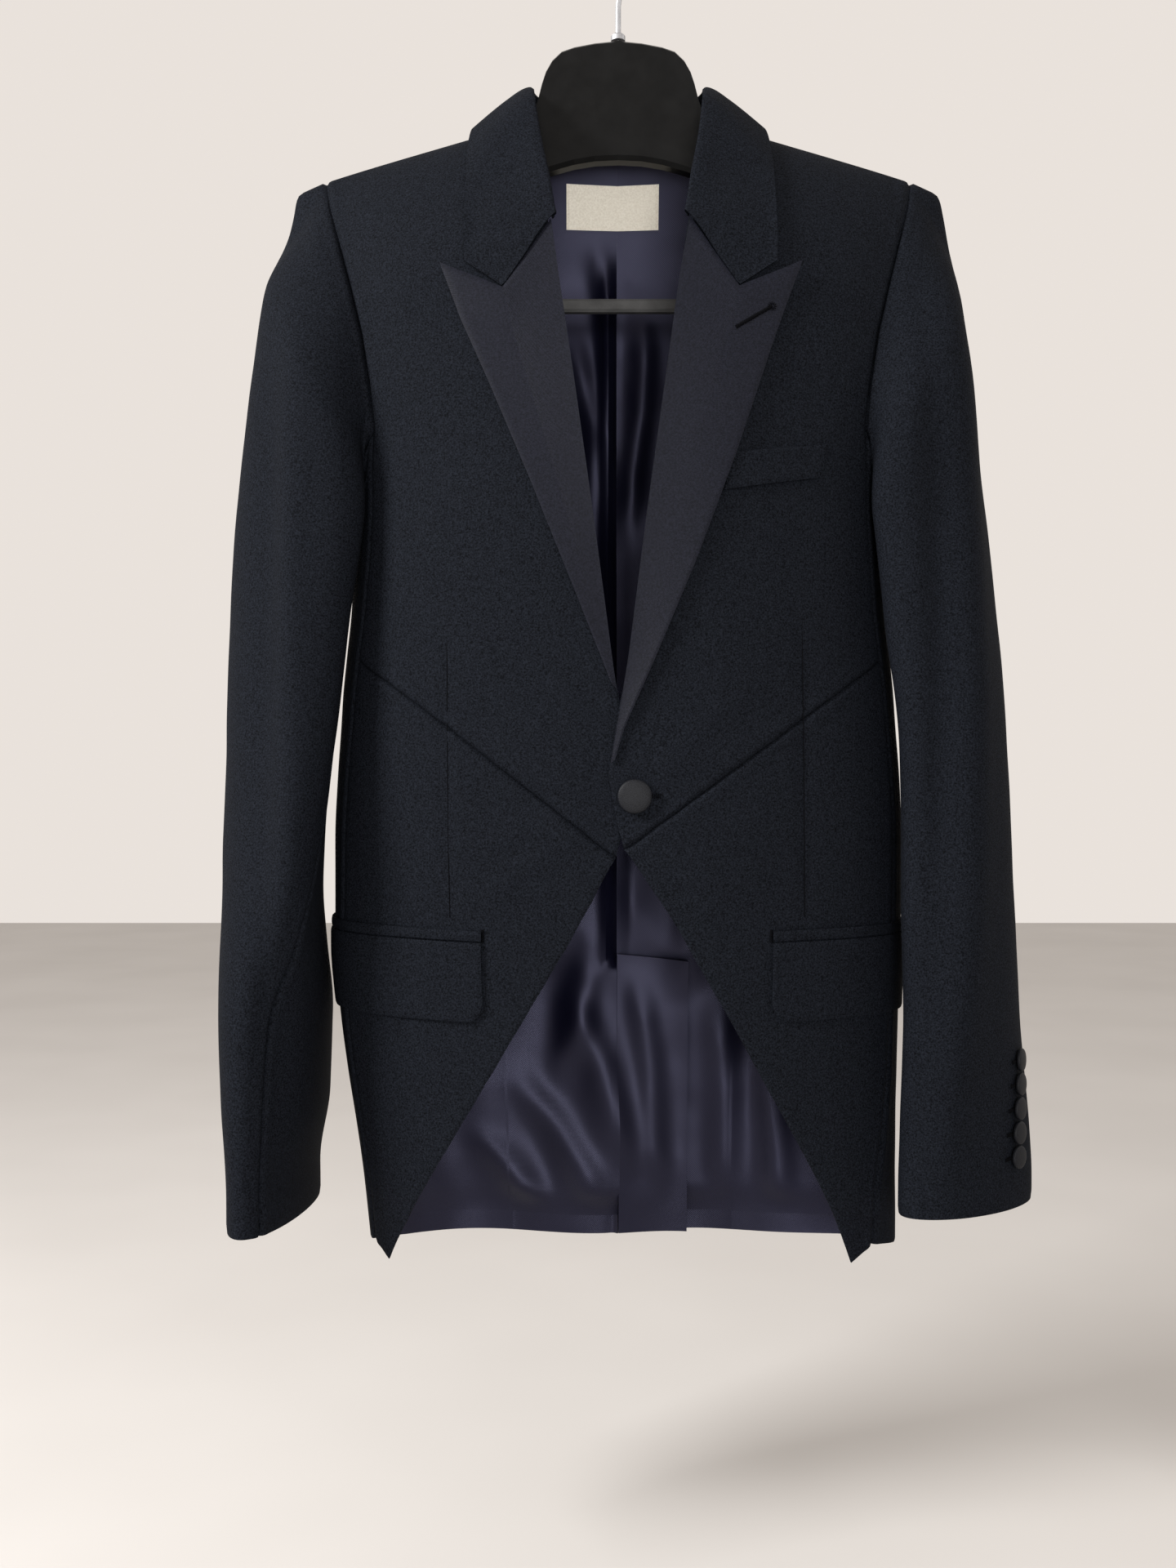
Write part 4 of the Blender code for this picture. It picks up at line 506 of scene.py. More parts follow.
def back_seam_heights() -> Array:
    """Heights of the rows on the back seam, from the armhole to the hem.

    Returns:
        The heights.
    """
    chest = np.linspace(ARMHOLE_BACK[SEAM_STEP].z, WAIST_SEAM_END_Z, CHEST_ROWS + 1)
    skirt = WAIST_SEAM_END_Z + (BACK_SEAM_HEM_Z - WAIST_SEAM_END_Z) * HEM_ROW_SHARES
    return np.concatenate([chest, skirt[1:]])


def shoulder_seam(side: int, front: bool) -> Array:
    """The shoulder seam from the neck to the tip, as turns and heights."""
    x = np.linspace(NECK_SIDE_X, SHOULDER_TIP_X, SHOULDER_COLUMNS + 1)
    return as_turns(side, np.stack([x, shoulder_line(x)], axis=-1), front)


def waist_seam(side: int, columns: int) -> Array:
    """The slanted seam from the front edge over the waist to the front seam.

    Args:
        side: 1 for the wearer's left, -1 for the right.
        columns: How many steps to make.

    Returns:
        Pairs of turn and height.
    """
    end_turn = seam_turn(side, np.array(WAIST_SEAM_END_Z), True)
    end_x = abs(float(body_point(side, end_turn, np.array(WAIST_SEAM_END_Z))[0]))
    corners = (WAIST_FRONT[side], WAIST_SEAM_BEND, SidePoint(end_x, WAIST_SEAM_END_Z))
    return as_turns(side, along(corners, even(columns)), True)


def side_mitre(side: int, steps: Array, front: bool) -> Array:
    """The armhole's mitre turned to one side of the blazer."""
    return armhole_mitre(steps, front) * np.array([side, 1.0, 1.0])


def back_neck_height(x: Array) -> Array:
    """Height of the back neck seam, from the centre back to the neck's side."""
    share = np.abs(x) / NECK_SIDE_X
    return NECK_BACK_Z + (shoulder_line(NECK_SIDE_X) - NECK_BACK_Z) * share ** NECK_CURVE_POWER


def bezier(corners: list, count: int) -> Array:
    """Points on the cubic Bezier curve that four corners pull.

    Args:
        corners: The four corners.
        count: How many steps to make.

    Returns:
        The points.
    """
    t = even(count)[:, None]
    a, b, c, d = corners
    return (1 - t) ** 3 * a + 3 * t * (1 - t) ** 2 * b + 3 * t * t * (1 - t) * c + t ** 3 * d


class SleeveSection(NamedTuple):
    """One level section of a sleeve: a flattened ring, turned and bent around the body."""

    z: float
    centre_x: float
    centre_y: float
    half_thickness: float
    half_depth: float
    yaw: float
    curl: float


SLEEVES = {
    1: table(
        SleeveSection,
        (-0.168, 0.1800, 0.000, 0.015, 0.012, 0.0, 0.0),
        (-0.178, 0.1810, 0.000, 0.029, 0.026, 0.0, 0.0),
        (-0.200, 0.1800, -0.001, 0.032, 0.037, 0.0, 2.0),
        (-0.240, 0.1825, -0.004, 0.032, 0.047, 3.0, 10.0),
        (-0.300, 0.1895, -0.008, 0.033, 0.055, 10.0, 26.0),
        (-0.390, 0.2025, -0.017, 0.0260, 0.062, 31.0, 43.0),
        (-0.450, 0.2085, -0.018, 0.026, 0.062, 31.0, 42.0),
        (-0.520, 0.2145, -0.019, 0.026, 0.062, 29.0, 38.0),
        (-0.600, 0.2175, -0.020, 0.026, 0.062, 32.0, 34.0),
        (-0.700, 0.2185, -0.022, 0.025, 0.058, 41.0, 20.0),
        (-0.800, 0.2185, -0.022, 0.023, 0.053, 58.0, 6.0),
        (-0.840, 0.2185, -0.022, 0.023, 0.053, 58.0, 6.0),
    ),
    -1: table(
        SleeveSection,
        (-0.168, 0.1800, 0.000, 0.015, 0.012, 0.0, 0.0),
        (-0.178, 0.1810, 0.000, 0.029, 0.026, 0.0, 0.0),
        (-0.200, 0.1810, -0.001, 0.031, 0.037, 0.0, 2.0),
        (-0.240, 0.1875, -0.004, 0.036, 0.047, 3.0, 10.0),
        (-0.300, 0.1960, -0.008, 0.036, 0.055, 12.0, 28.0),
        (-0.390, 0.2075, -0.016, 0.030, 0.064, 34.0, 45.0),
        (-0.450, 0.2120, -0.017, 0.029, 0.062, 31.0, 42.0),
        (-0.520, 0.2150, -0.018, 0.029, 0.062, 25.0, 36.0),
        (-0.600, 0.2165, -0.019, 0.031, 0.062, 14.0, 20.0),
        (-0.650, 0.2160, -0.019, 0.031, 0.062, 1.0, 12.0),
        (-0.700, 0.2145, -0.018, 0.028, 0.063, -10.0, 8.0),
        (-0.750, 0.2145, -0.017, 0.025, 0.063, -11.0, 5.0),
        (-0.800, 0.2165, -0.017, 0.020, 0.062, -9.0, 5.0),
        (-0.840, 0.2165, -0.017, 0.020, 0.062, -9.0, 5.0),
    ),
}
CUFF_Z = {1: -0.8150, -1: -0.8200}
SLEEVE_EASE_DROP = 0.070
SLEEVE_SEAM_INSET = 0.00003
SLEEVE_FOOT_EASE_DROP = 0.028
FOOT_EASE_START_STEP = 3.5
FOOT_EASE_FULL_STEP = 6.0
SLEEVE_FRONT_SEAM_STEP = 6
SLEEVE_BACK_SEAM_STEP = 4
CUFF_BUTTON_STEP = 1.0
CUFF_BUTTON_SIDE_STEP = 0.5
STEP_DEGREES = 20.0


def sleeve_ring(side: int, angle: Array, z: Array) -> Array:
    """Point of a sleeve's plain ring at an angle from its outer side, forward, and a height.

    Args:
        side: 1 for the wearer's left, -1 for the right.
        angle: Angles in radians.
        z: Heights.

    Returns:
        The points.
    """
    read = {
        column: table_value(SLEEVES[side], column, z)
        for column in SleeveSection._fields
        if column != "z"
    }
    yaw, curl = np.radians(read["yaw"]), np.radians(read["curl"]) + CLOSE
    along_ring = read["half_depth"] * np.sin(angle)
    across_ring = read["half_thickness"] * np.cos(angle)
    bend = curl / read["half_depth"]
    heading = yaw + bend * along_ring
    x = read["centre_x"] + (np.cos(heading) - np.cos(yaw)) / bend + across_ring * np.cos(heading)
    y = read["centre_y"] - (np.sin(heading) - np.sin(yaw)) / bend - across_ring * np.sin(heading)
    return np.stack([side * x, y, z + 0.0 * x], axis=-1)


def wrap(steps: Array) -> Array:
    """Bring sleeve steps to the range from -9 (back underarm) to 9 (front underarm)."""
    lower = np.where(steps > UNDERARM_STEP, steps - 2 * UNDERARM_STEP, steps)
    return np.where(steps < -UNDERARM_STEP, steps + 2 * UNDERARM_STEP, lower)


def armhole_mitres(side: int, steps: Array) -> Array:
    """Mitres at sleeve steps from -9 (back underarm) to 9 (front underarm)."""
    front, back = (side_mitre(side, np.abs(steps), on_front) for on_front in (True, False))
    return np.where((steps >= 0)[:, None], front, back)


def face_out(side: int, spots: Array, normals: Array) -> Array:
    """Turn a sleeve's normals so that they point away from its middle.

    Args:
        side: 1 for the wearer's left, -1 for the right.
        spots: Points of the sleeve.
        normals: Its normals, all to one side.

    Returns:
        The normals, outward.
    """
    z = spots[..., 2]
    x, y = (table_value(SLEEVES[side], column, z) for column in ("centre_x", "centre_y"))
    away = spots - np.stack([side * x, y, z], axis=-1)
    return normals * np.sign((normals * away).sum())


class LapelShape(NamedTuple):
    """A lapel on its front: the roll line and the free outer edge, from top to bottom."""

    roll: tuple[SidePoint, ...]
    outer: tuple[SidePoint, ...]


GORGE_START = SidePoint(0.0412, -0.2160)
GORGE_END = SidePoint(0.0695, -0.2584)
COLLAR_TIP = SidePoint(0.0922, -0.2420)
LAPELS = {
    1: LapelShape(
        roll=point_line(
            GORGE_START, (0.0349, -0.2505), (0.0263, -0.3127), (0.0143, -0.3989),
            (0.0047, -0.4756), (-0.0015, -0.5139), (-0.0060, -0.5400),
        ),
        outer=point_line(
            (0.1070, -0.2411), (0.0879, -0.2951), (0.0665, -0.3593), (0.0427, -0.4236),
            (0.0189, -0.4808), (0.0022, -0.5189), (-0.0035, -0.5380),
        ),
    ),
    -1: LapelShape(
        roll=point_line(
            GORGE_START, (0.0360, -0.2540), (0.0270, -0.3160), (0.0150, -0.4020),
            (0.0050, -0.4780), (0.0025, -0.4960),
        ),
        outer=point_line(
            (0.1064, -0.2423), (0.0943, -0.2763), (0.0773, -0.3150), (0.0531, -0.3731),
            (0.0289, -0.4336), (0.0055, -0.4930),
        ),
    ),
}
LAPEL_ROLL_LIFT = LAPEL_CLOTH + 0.0007
LAPEL_EDGE_LIFT = 0.0045
LAPEL_PEAK_LIFT = 0.0065
LAPEL_PEAK_ROWS = 0.12
LAPEL_FOOT_START = 0.75
LAPEL_FOOT_FALL = 0.6


def lifted(side: int, line: Array, lift: Array, front: bool = True) -> Array:
    """Points of the form at x and z, moved straight out from it.

    Args:
        side: 1 for the wearer's left, -1 for the right.
        line: Pairs of x and z.
        lift: How far each point moves.
        front: True on the front, False on the back.

    Returns:
        The points.
    """
    turns = turn_at(side, line[..., 0], line[..., 1], front)
    point = body_point(side, turns, line[..., 1])
    return point - np.asarray(lift)[..., None] * body_inward(side, turns, line[..., 1])


class CollarStation(NamedTuple):
    """A section of the collar: its place on the neck seam, its fold and its lower edge."""

    place: float
    fold_x: float
    fold_y: float
    fold_z: float
    edge_x: float
    edge_z: float
    edge_lift: float


COLLAR_BACK = table(
    CollarStation,
    (0.00, 0.0000, 0.0270, -0.1125, 0.0000, -0.1600, 0.0055),
    (0.40, 0.0270, 0.0250, -0.1120, 0.0330, -0.1590, 0.0050),
    (0.75, 0.0455, 0.0160, -0.1100, 0.0680, -0.1560, 0.0045),
)
COLLAR_SHOULDER_EDGE = (0.0915, -0.0040, -0.1355)
COLLAR_SHOULDER_FOLD = (0.0545, 0.0000, -0.1085)
COLLAR_FRONT = table(
    CollarStation,
    (1.25, 0.0535, -0.0200, -0.1200, 0.0930, -0.1650, 0.0045),
    (1.50, 0.0500, -0.0400, -0.1500, 0.0928, -0.1950, 0.0045),
    (1.78, 0.0440, -0.0570, -0.1840, 0.0925, -0.2220, 0.0048),
    (2.00, 0.0385, -0.0680, -0.2130, 0.0922, -0.2420, 0.0050),
)
COLLAR_STAND_GAP = 0.0015
COLLAR_ROLL_REACH = 0.0045
COLLAR_END_INSET = 0.0006
COLLAR_MIN_LIFT = CLOTH + 0.0024
COLLAR_ROLL_SHARE = 0.35
COLLAR_TURN_OVER = 1.6
COLLAR_EDGE_PULL = 0.45
COLLAR_FRONT_FOLD_PLACE = 1.6
COLLAR_PLACES = np.array(
    [*(row.place for row in COLLAR_BACK), 1.0, *(row.place for row in COLLAR_FRONT)]
)
GORGE_BEND_START = 1.35
GORGE_FOLD_SHARE = 0.35
GORGE_LIFT = 1.4 * LAPEL_ROLL_LIFT
NECK_CENTRE_Y = -0.014
NECK_CENTRE_RISE = 0.030


def neck_seam(side: int, place: float) -> Array:
    """The neck seam, from 0 at the centre back over 1 at the shoulder to 2 at the gorge.

    Args:
        side: 1 for the wearer's left, -1 for the right.
        place: Where on the seam.

    Returns:
        The point.
    """
    if place <= 1:
        x = NECK_SIDE_X * place
        z = back_neck_height(np.array(x))
        return body_point(side, turn_at(side, np.array(x), z, False), z)
    corners = (SidePoint(NECK_SIDE_X, float(shoulder_line(NECK_SIDE_X))), GORGE_START)
    x, z = along(corners, np.array([place - 1]))[0]
    return body_point(side, turn_at(side, np.array(x), np.array(z), True), np.array(z))


def toward_neck_centre(point: Array) -> Array:
    """Unit direction from the neck seam into the neck opening."""
    return unit(np.array([0.0, NECK_CENTRE_Y, point[2] + NECK_CENTRE_RISE]) - point)


# The lining, the vent and the label
LINING_DEPTH = CLOTH + 0.0009
LINING_NECK_DROP = 0.5
LINING_HEM_SHARE = 0.55
UNDERLAP_DEPTH = LINING_DEPTH + LINING_CLOTH + 0.0005
UNDERLAP_WIDTH = 0.0473
UNDERLAP_START_X = 0.0002
UNDERLAP_PROUD = 0.0060
VENT_TOP_Z = -0.6655
LABEL_CLOTH = 0.0006
LABEL_DEPTH = LINING_DEPTH + LINING_CLOTH + 0.0009
LABEL_HALF_WIDTH = 0.031
LABEL_CENTRE_X = -0.003
LABEL_TOP_Z = -0.1560
LABEL_BOTTOM_Z = -0.1822


def back_sheet(x: Array, z: Array, depth: float) -> Array:
    """Points behind the wearer at world x and z, at a depth inside the back's outer face.

    Args:
        x: Columns' x.
        z: Rows' z.
        depth: How deep it lies.

    Returns:
        Rows by columns of points.
    """
    grid_x, grid_z = np.meshgrid(x, z)
    points = np.zeros(grid_x.shape + (3,))
    for side in (1, -1):
        turns = turn_at(side, side * grid_x, grid_z, False)
        laid = body_point(side, turns, grid_z) + depth * body_inward(side, turns, grid_z)
        points = np.where((side * grid_x > 0)[..., None], laid, points)
    return points


class PocketPlace(NamedTuple):
    """A hip pocket: where its front end and its top lie."""

    front_x: float
    front_z: float
    back_z: float


POCKETS = {1: PocketPlace(0.0910, -0.6400, -0.6370), -1: PocketPlace(0.0829, -0.6400, -0.6350)}
POCKET_LENGTH = 0.140
JET_HEIGHT = 0.006
FLAP_HEIGHT = 0.048
FLAP_CLOTH = 0.0014
JET_CLOTH = 0.0010
FLAP_LIFT = FLAP_CLOTH + 0.0011
JET_LIFT = JET_CLOTH + 0.0010
FLAP_CORNER = 0.012
POCKET_GAP = 0.0011
WELT_TOP = (SidePoint(0.0660, -0.3576), SidePoint(0.1243, -0.3489))
WELT_BOTTOM = (SidePoint(0.0603, -0.3798), SidePoint(0.1195, -0.3692))
WELT_LIFT = CLOTH + 0.0006
WELT_PROUD = 0.0004
EDGE_FALL = 0.0005
JET_EDGE_FALL = 0.0004
JET_ROWS = 10
POCKET_TURN_REACH = math.radians(120)
POCKET_TURN_STEPS = 481


def turn_after(side: int, start_turn: float, z: float, lengths: Array) -> Array:
    """Turns at lengths along the form's section, from a start on the front round to the side.

    Args:
        side: 1 for the wearer's left, -1 for the right.
        start_turn: Where the lengths start.
        z: The height.
        lengths: Lengths in metres.

    Returns:
        The turn at each length.
    """
    turns = start_turn - np.linspace(0.0, POCKET_TURN_REACH, POCKET_TURN_STEPS)
    line = body_point(side, turns, np.full(turns.shape, z))
    return np.interp(lengths, run_lengths(line), turns)


def raised(side: int, turns: Array, lift: float) -> Array:
    """Points of the form moved out from it by a lift."""
    point = body_point(side, turns[..., 0], turns[..., 1])
    return point - lift * body_inward(side, turns[..., 0], turns[..., 1])


# Buttons
FRONT_BUTTON = SidePoint(0.0082, -0.5594)
FRONT_BUTTON_RADIUS = 0.0102
FRONT_BUTTON_HEIGHT = 0.0045
CUFF_BUTTON_RADIUS = 0.0071
CUFF_BUTTON_HEIGHT = 0.0030
CUFF_BUTTON_COUNT = 5
CUFF_BUTTON_PITCH = 0.0147
CUFF_BUTTON_FIRST = 0.0320
BUTTON_REST = 0.0006
FRONT_BUTTON_LIFT = BUTTON_REST + 0.0008
CUFF_BUTTON_LIFT = BUTTON_REST + 0.0004
CUFF_LINE_START = 0.6
CUFF_LINE_ROWS = 60


# A wave texture's scale for ribs a metre apart, and where a ramp's two tones stand
WAVE_SCALE = 0.314
RAMP_START = 0.3
RAMP_END = 0.7

# How finely each cloth piece is sampled between the points of its pattern
PANEL_FINE = 8
EDGE_PARTS = 5
MILLIMETRE = 0.001
WALL_SHARP_ANGLE = 50
CUT_SLACK = 1.0005
FAR = 1.0
SHORTEST_CUT = 0.010
SLEEVE_FOLD_SCALE = 1.5


class Hang(Enum):
    """How a piece of cloth is held."""

    HUNG = "hung"


class Slot(Enum):
    """The record's material slots."""

    WOOL = "wool"
    GROSGRAIN = "grosgrain"
    LINING = "lining"
    LABEL = "label"
    BUTTON = "button_cloth"
    HANGER = "hanger_plastic"
    WIRE = "hook_wire"


class Fold(NamedTuple):
    """A soft fold at a height: its place across, its width and how far it stands out."""

    z: float
    x: float
    width: float
    rise: float


def fold_line(*rows: tuple[float, ...]) -> tuple[Fold, ...]:
    """Make one long fold from its stations."""
    return table(Fold, *rows)


# Long folds that show on the front faces: the wearer's left is +1
SLEEVE_FOLDS = {
    1: (
        fold_line(
            (-0.215, 0.198, 0.012, 0.0005), (-0.300, 0.207, 0.012, 0.0030),
            (-0.410, 0.211, 0.013, 0.0040), (-0.520, 0.212, 0.014, 0.0038),
            (-0.600, 0.211, 0.014, 0.0034), (-0.700, 0.204, 0.014, 0.0028),
            (-0.780, 0.196, 0.013, 0.0015),
        ),
        fold_line(
            (-0.260, 0.185, 0.010, -0.0005), (-0.360, 0.190, 0.011, -0.0026),
            (-0.480, 0.193, 0.012, -0.0030), (-0.620, 0.188, 0.012, -0.0022),
            (-0.760, 0.180, 0.011, -0.0006),
        ),
    ),
    -1: (
        fold_line(
            (-0.250, 0.212, 0.010, -0.0004), (-0.400, 0.214, 0.011, -0.0036),
            (-0.500, 0.214, 0.012, -0.0040), (-0.580, 0.211, 0.012, -0.0034),
            (-0.640, 0.208, 0.012, -0.0026), (-0.780, 0.200, 0.011, -0.0010),
        ),
        fold_line(
            (-0.300, 0.197, 0.011, 0.0004), (-0.420, 0.199, 0.012, 0.0030),
            (-0.540, 0.198, 0.013, 0.0030), (-0.700, 0.192, 0.013, 0.0024),
            (-0.790, 0.186, 0.012, 0.0008),
        ),
    ),
}
# Each front's dart and the drag lines that run to its button
DARTS = {
    1: fold_line(
        (-0.455, 0.1085, 0.0045, 0.0), (-0.500, 0.1095, 0.0045, -0.0009),
        (-0.580, 0.1105, 0.0045, -0.0009), (-0.640, 0.1110, 0.0045, -0.0004),
    ),
    -1: fold_line(
        (-0.455, 0.1035, 0.0045, 0.0), (-0.500, 0.1035, 0.0045, -0.0009),
        (-0.580, 0.1030, 0.0045, -0.0009), (-0.640, 0.1020, 0.0045, -0.0004),
    ),
}
DRAG_ANGLES = (24.0, 41.0, -16.0, -34.0)
DRAG_RISE = 0.0011
DRAG_WIDTH = 0.0075
DRAG_REACH = 0.115
DRAG_HOLD = 0.55
DRAG_START = 0.012
DRAG_FULL = 0.040
DRAG_ABOVE = 0.030
# Where the body's unevenness starts and is full, and how far from the armhole it holds off
RISE_TOP_Z = -0.20
RISE_FULL_DROP = 0.10
ARMHOLE_FLAT = 0.002
ARMHOLE_FULL = 0.030
ARMHOLE_SPOTS = 91
FRONT_SEED = 1.0
BACK_SEED = 4.0
FOLD_FADE = 0.03


def fold_rise(folds: tuple[Fold, ...], x: Array, z: Array) -> Array:
    """Read how far one long fold lifts the cloth.

    Args:
        folds: The fold's stations, from top to bottom.
        x: Distances from the centre plane.
        z: Heights.

    Returns:
        The rise at each point, negative in a valley.
    """
    heights = np.array([fold.z for fold in folds])
    read = {
        name: smooth_column(heights, np.array([getattr(fold, name) for fold in folds]), z)
        for name in ("x", "width", "rise")
    }
    top, foot = heights[0], heights[-1]
    inside = smoothstep(foot - FOLD_FADE, foot, z) * (1 - smoothstep(top, top + FOLD_FADE, z))
    return read["rise"] * inside * bell(x - read["x"], read["width"])


class Ripple(NamedTuple):
    """Two waves that cross: their height, and what x, z and the seed turn each of them by."""

    height: float
    first: tuple[float, float, float]
    second: tuple[float, float, float]


RIPPLES = table(
    Ripple,
    (0.45, (31.0, 17.0, 2.1), (-9.0, 13.0, 1.0)),
    (0.22, (74.0, -29.0, 1.3), (0.0, 41.0, 3.0)),
    (0.08, (140.0, 90.0, 1.0), (-51.0, 67.0, 2.0)),
)


def wave(turns: tuple[float, float, float], x: Array, z: Array, seed: float) -> Array:
    """A wave over x and z."""
    return np.sin(turns[0] * x + turns[1] * z + turns[2] * seed)


def swell(phase: Array) -> Array:
    """A wave between 0 and 1."""
    return 0.5 + 0.5 * np.sin(phase)


def soft_waves(x: Array, z: Array, seed: float) -> Array:
    """Give the cloth's slight unevenness.

    Args:
        x: Distances from the centre plane.
        z: Heights.
        seed: A number that sets one piece apart from another.

    Returns:
        A rise of about half a millimetre either way.
    """
    rise = 0.0 * z
    for ripple in RIPPLES:
        crossing = wave(ripple.first, x, z, seed) * wave(ripple.second, x, z, seed)
        rise = rise + ripple.height * crossing
    return MILLIMETRE * rise


def body_rise(side: int, x: Array, z: Array, front: bool) -> Array:
    """Tell how far the body's cloth stands out from its plain form.

    Args:
        side: 1 for the wearer's left, -1 for the right.
        x: Distances from the centre plane on the side's own half.
        z: Heights.
        front: Whether the points are on the front.

    Returns:
        The rise at each point, fading at the shoulder and the armhole.
    """
    below = smoothstep(0.0, RISE_FULL_DROP, RISE_TOP_Z - z)
    rise = soft_waves(side * x, z, FRONT_SEED if front else BACK_SEED) * below
    if not front:
        return rise
    rise = rise + fold_rise(DARTS[side], x, z)
    button = WAIST_FRONT[side]
    run_x, run_z = x - button.x, z - (button.z + DRAG_ABOVE)
    reach = np.hypot(run_x, run_z)
    angle = np.degrees(np.arctan2(run_z, np.maximum(run_x, CLOSE)))
    fade = 1 - smoothstep(DRAG_HOLD * DRAG_REACH, DRAG_REACH, reach)
    fade = smoothstep(DRAG_START, DRAG_FULL, reach) * fade
    for drag in DRAG_ANGLES:
        rise = rise + DRAG_RISE * fade * bell(reach * np.radians(angle - drag), DRAG_WIDTH)
    return rise


def refine(grid: Array, rows: int, columns: int) -> Array:
    """Insert evenly spaced points between a grid's own.

    Args:
        grid: Rows by columns by coordinates.
        rows: Steps to make of each step down.
        columns: Steps to make of each step across.

    Returns:
        The finer grid, which keeps every point of the first.
    """
    down = np.linspace(0, grid.shape[0] - 1, (grid.shape[0] - 1) * rows + 1)
    across = np.linspace(0, grid.shape[1] - 1, (grid.shape[1] - 1) * columns + 1)
    row = np.minimum(down.astype(int), grid.shape[0] - 2)
    column = np.minimum(across.astype(int), grid.shape[1] - 2)
    t, u = (down - row)[:, None, None], (across - column)[None, :, None]
    upper = grid[row][:, column] * (1 - u) + grid[row][:, column + 1] * u
    lower = grid[row + 1][:, column] * (1 - u) + grid[row + 1][:, column + 1] * u
    return upper * (1 - t) + lower * t


def tighten(grid: Array, parts: int) -> Array:
    """Insert points in a grid's outermost steps, so that a narrow groove can follow its edges.

    Args:
        grid: Rows by columns by coordinates.
        parts: Steps to make of each outermost step.

    Returns:
        The grid with closer rows and columns at its four edges.
    """
    for axis, shape in enumerate(((-1, 1, 1), (1, -1, 1))):
        last = grid.shape[axis] - 1
        ends = even(parts)
        places = np.concatenate([ends[:-1], np.arange(1, last - 1), last - 1 + ends])
        low = np.minimum(places.astype(int), last - 1)
        share = (places - low).reshape(shape)
        grid = np.take(grid, low, axis) * (1 - share) + np.take(grid, low + 1, axis) * share
    return grid


def fine_steps(steps: Array, times: int) -> Array:
    """Put evenly spaced values between the given ones."""
    places = np.linspace(0, len(steps) - 1, (len(steps) - 1) * times + 1)
    return np.interp(places, np.arange(len(steps)), steps)


def grid_runs(grid: Array) -> tuple[Array, Array]:
    """Lengths down and across a grid, up to each of its points.

    Args:
        grid: Rows by columns of points.

    Returns:
        The lengths down and the lengths across.
    """
    return tuple(
        np.cumsum(
            np.linalg.norm(np.diff(grid, axis=axis, prepend=first), axis=2), axis=axis
        )
        for axis, first in enumerate((grid[:1], grid[:, :1]))
    )


def edge_distance(grid: Array, edges: str) -> Array:
    """Measure each point's distance to the nearest of the named edges, along the grid.

    Args:
        grid: Rows by columns of points.
        edges: Names out of top, bottom, start and end.

    Returns:
        The distance at each point, large where no edge is named.
    """
    down, across = grid_runs(grid)
    reach = {
        "top": down, "bottom": down[-1:] - down,
        "start": across, "end": across[:, -1:] - across,
    }
    nearest = np.full(grid.shape[:2], FAR)
    for name in edges.split():
        nearest = np.minimum(nearest, reach[name])
    return nearest


def draw_in(grid: Array, edges: str, gap: float) -> Array:
    """Draw the named edges of a grid back along it, to leave a seam's gap.

    Args:
        grid: Rows by columns of points.
        edges: Names out of top, bottom, start and end.
        gap: How far each edge moves.

    Returns:
        The grid with those edges moved.
    """
    result = grid.copy()
    strips = {
        "top": (result[0], grid[0], grid[1]),
        "bottom": (result[-1], grid[-1], grid[-2]),
        "start": (result[:, 0], grid[:, 0], grid[:, 1]),
        "end": (result[:, -1], grid[:, -1], grid[:, -2]),
    }
    for name in edges.split():
        moved, edge, neighbour = strips[name]
        moved += gap * unit(neighbour - edge)
    return result


def sheet_area(grid: Array) -> float:
    """Area of a grid of points in square metres.

    Args:
        grid: Rows by columns of points.

    Returns:
        The area.
    """
    first = np.cross(grid[1:, :-1] - grid[:-1, :-1], grid[:-1, 1:] - grid[:-1, :-1])
    second = np.cross(grid[1:, :-1] - grid[1:, 1:], grid[:-1, 1:] - grid[1:, 1:])
    return float((np.linalg.norm(first, axis=2) + np.linalg.norm(second, axis=2)).sum() / 2)


@dataclass(frozen=True)
class Cut:
    """The flat cut of a piece of cloth: what it was before it was hung."""

    width: float
    length: float
    area: float

    @classmethod
    def of_grid(cls, grid: Array) -> "Cut":
        """Lay a grid flat and take its width, length and area.

        Args:
            grid: Rows by columns of points.

        Returns:
            The cut.
        """
        across = np.linalg.norm(np.diff(grid, axis=1), axis=2).sum(axis=1).max()
        down = np.linalg.norm(np.diff(grid, axis=0), axis=2).sum(axis=0).max()
        area = sheet_area(grid)
        width, length = float(across), float(down)
        grow = max(1.0, math.sqrt(area / (width * length)) * CUT_SLACK)
        return cls(width * grow, length * grow, area)

    def in_two(self) -> "Cut":
        """The cut of a narrow strip that is folded in two, as a pocket's jet is."""
        return Cut(self.width, 2 * self.length, self.area)


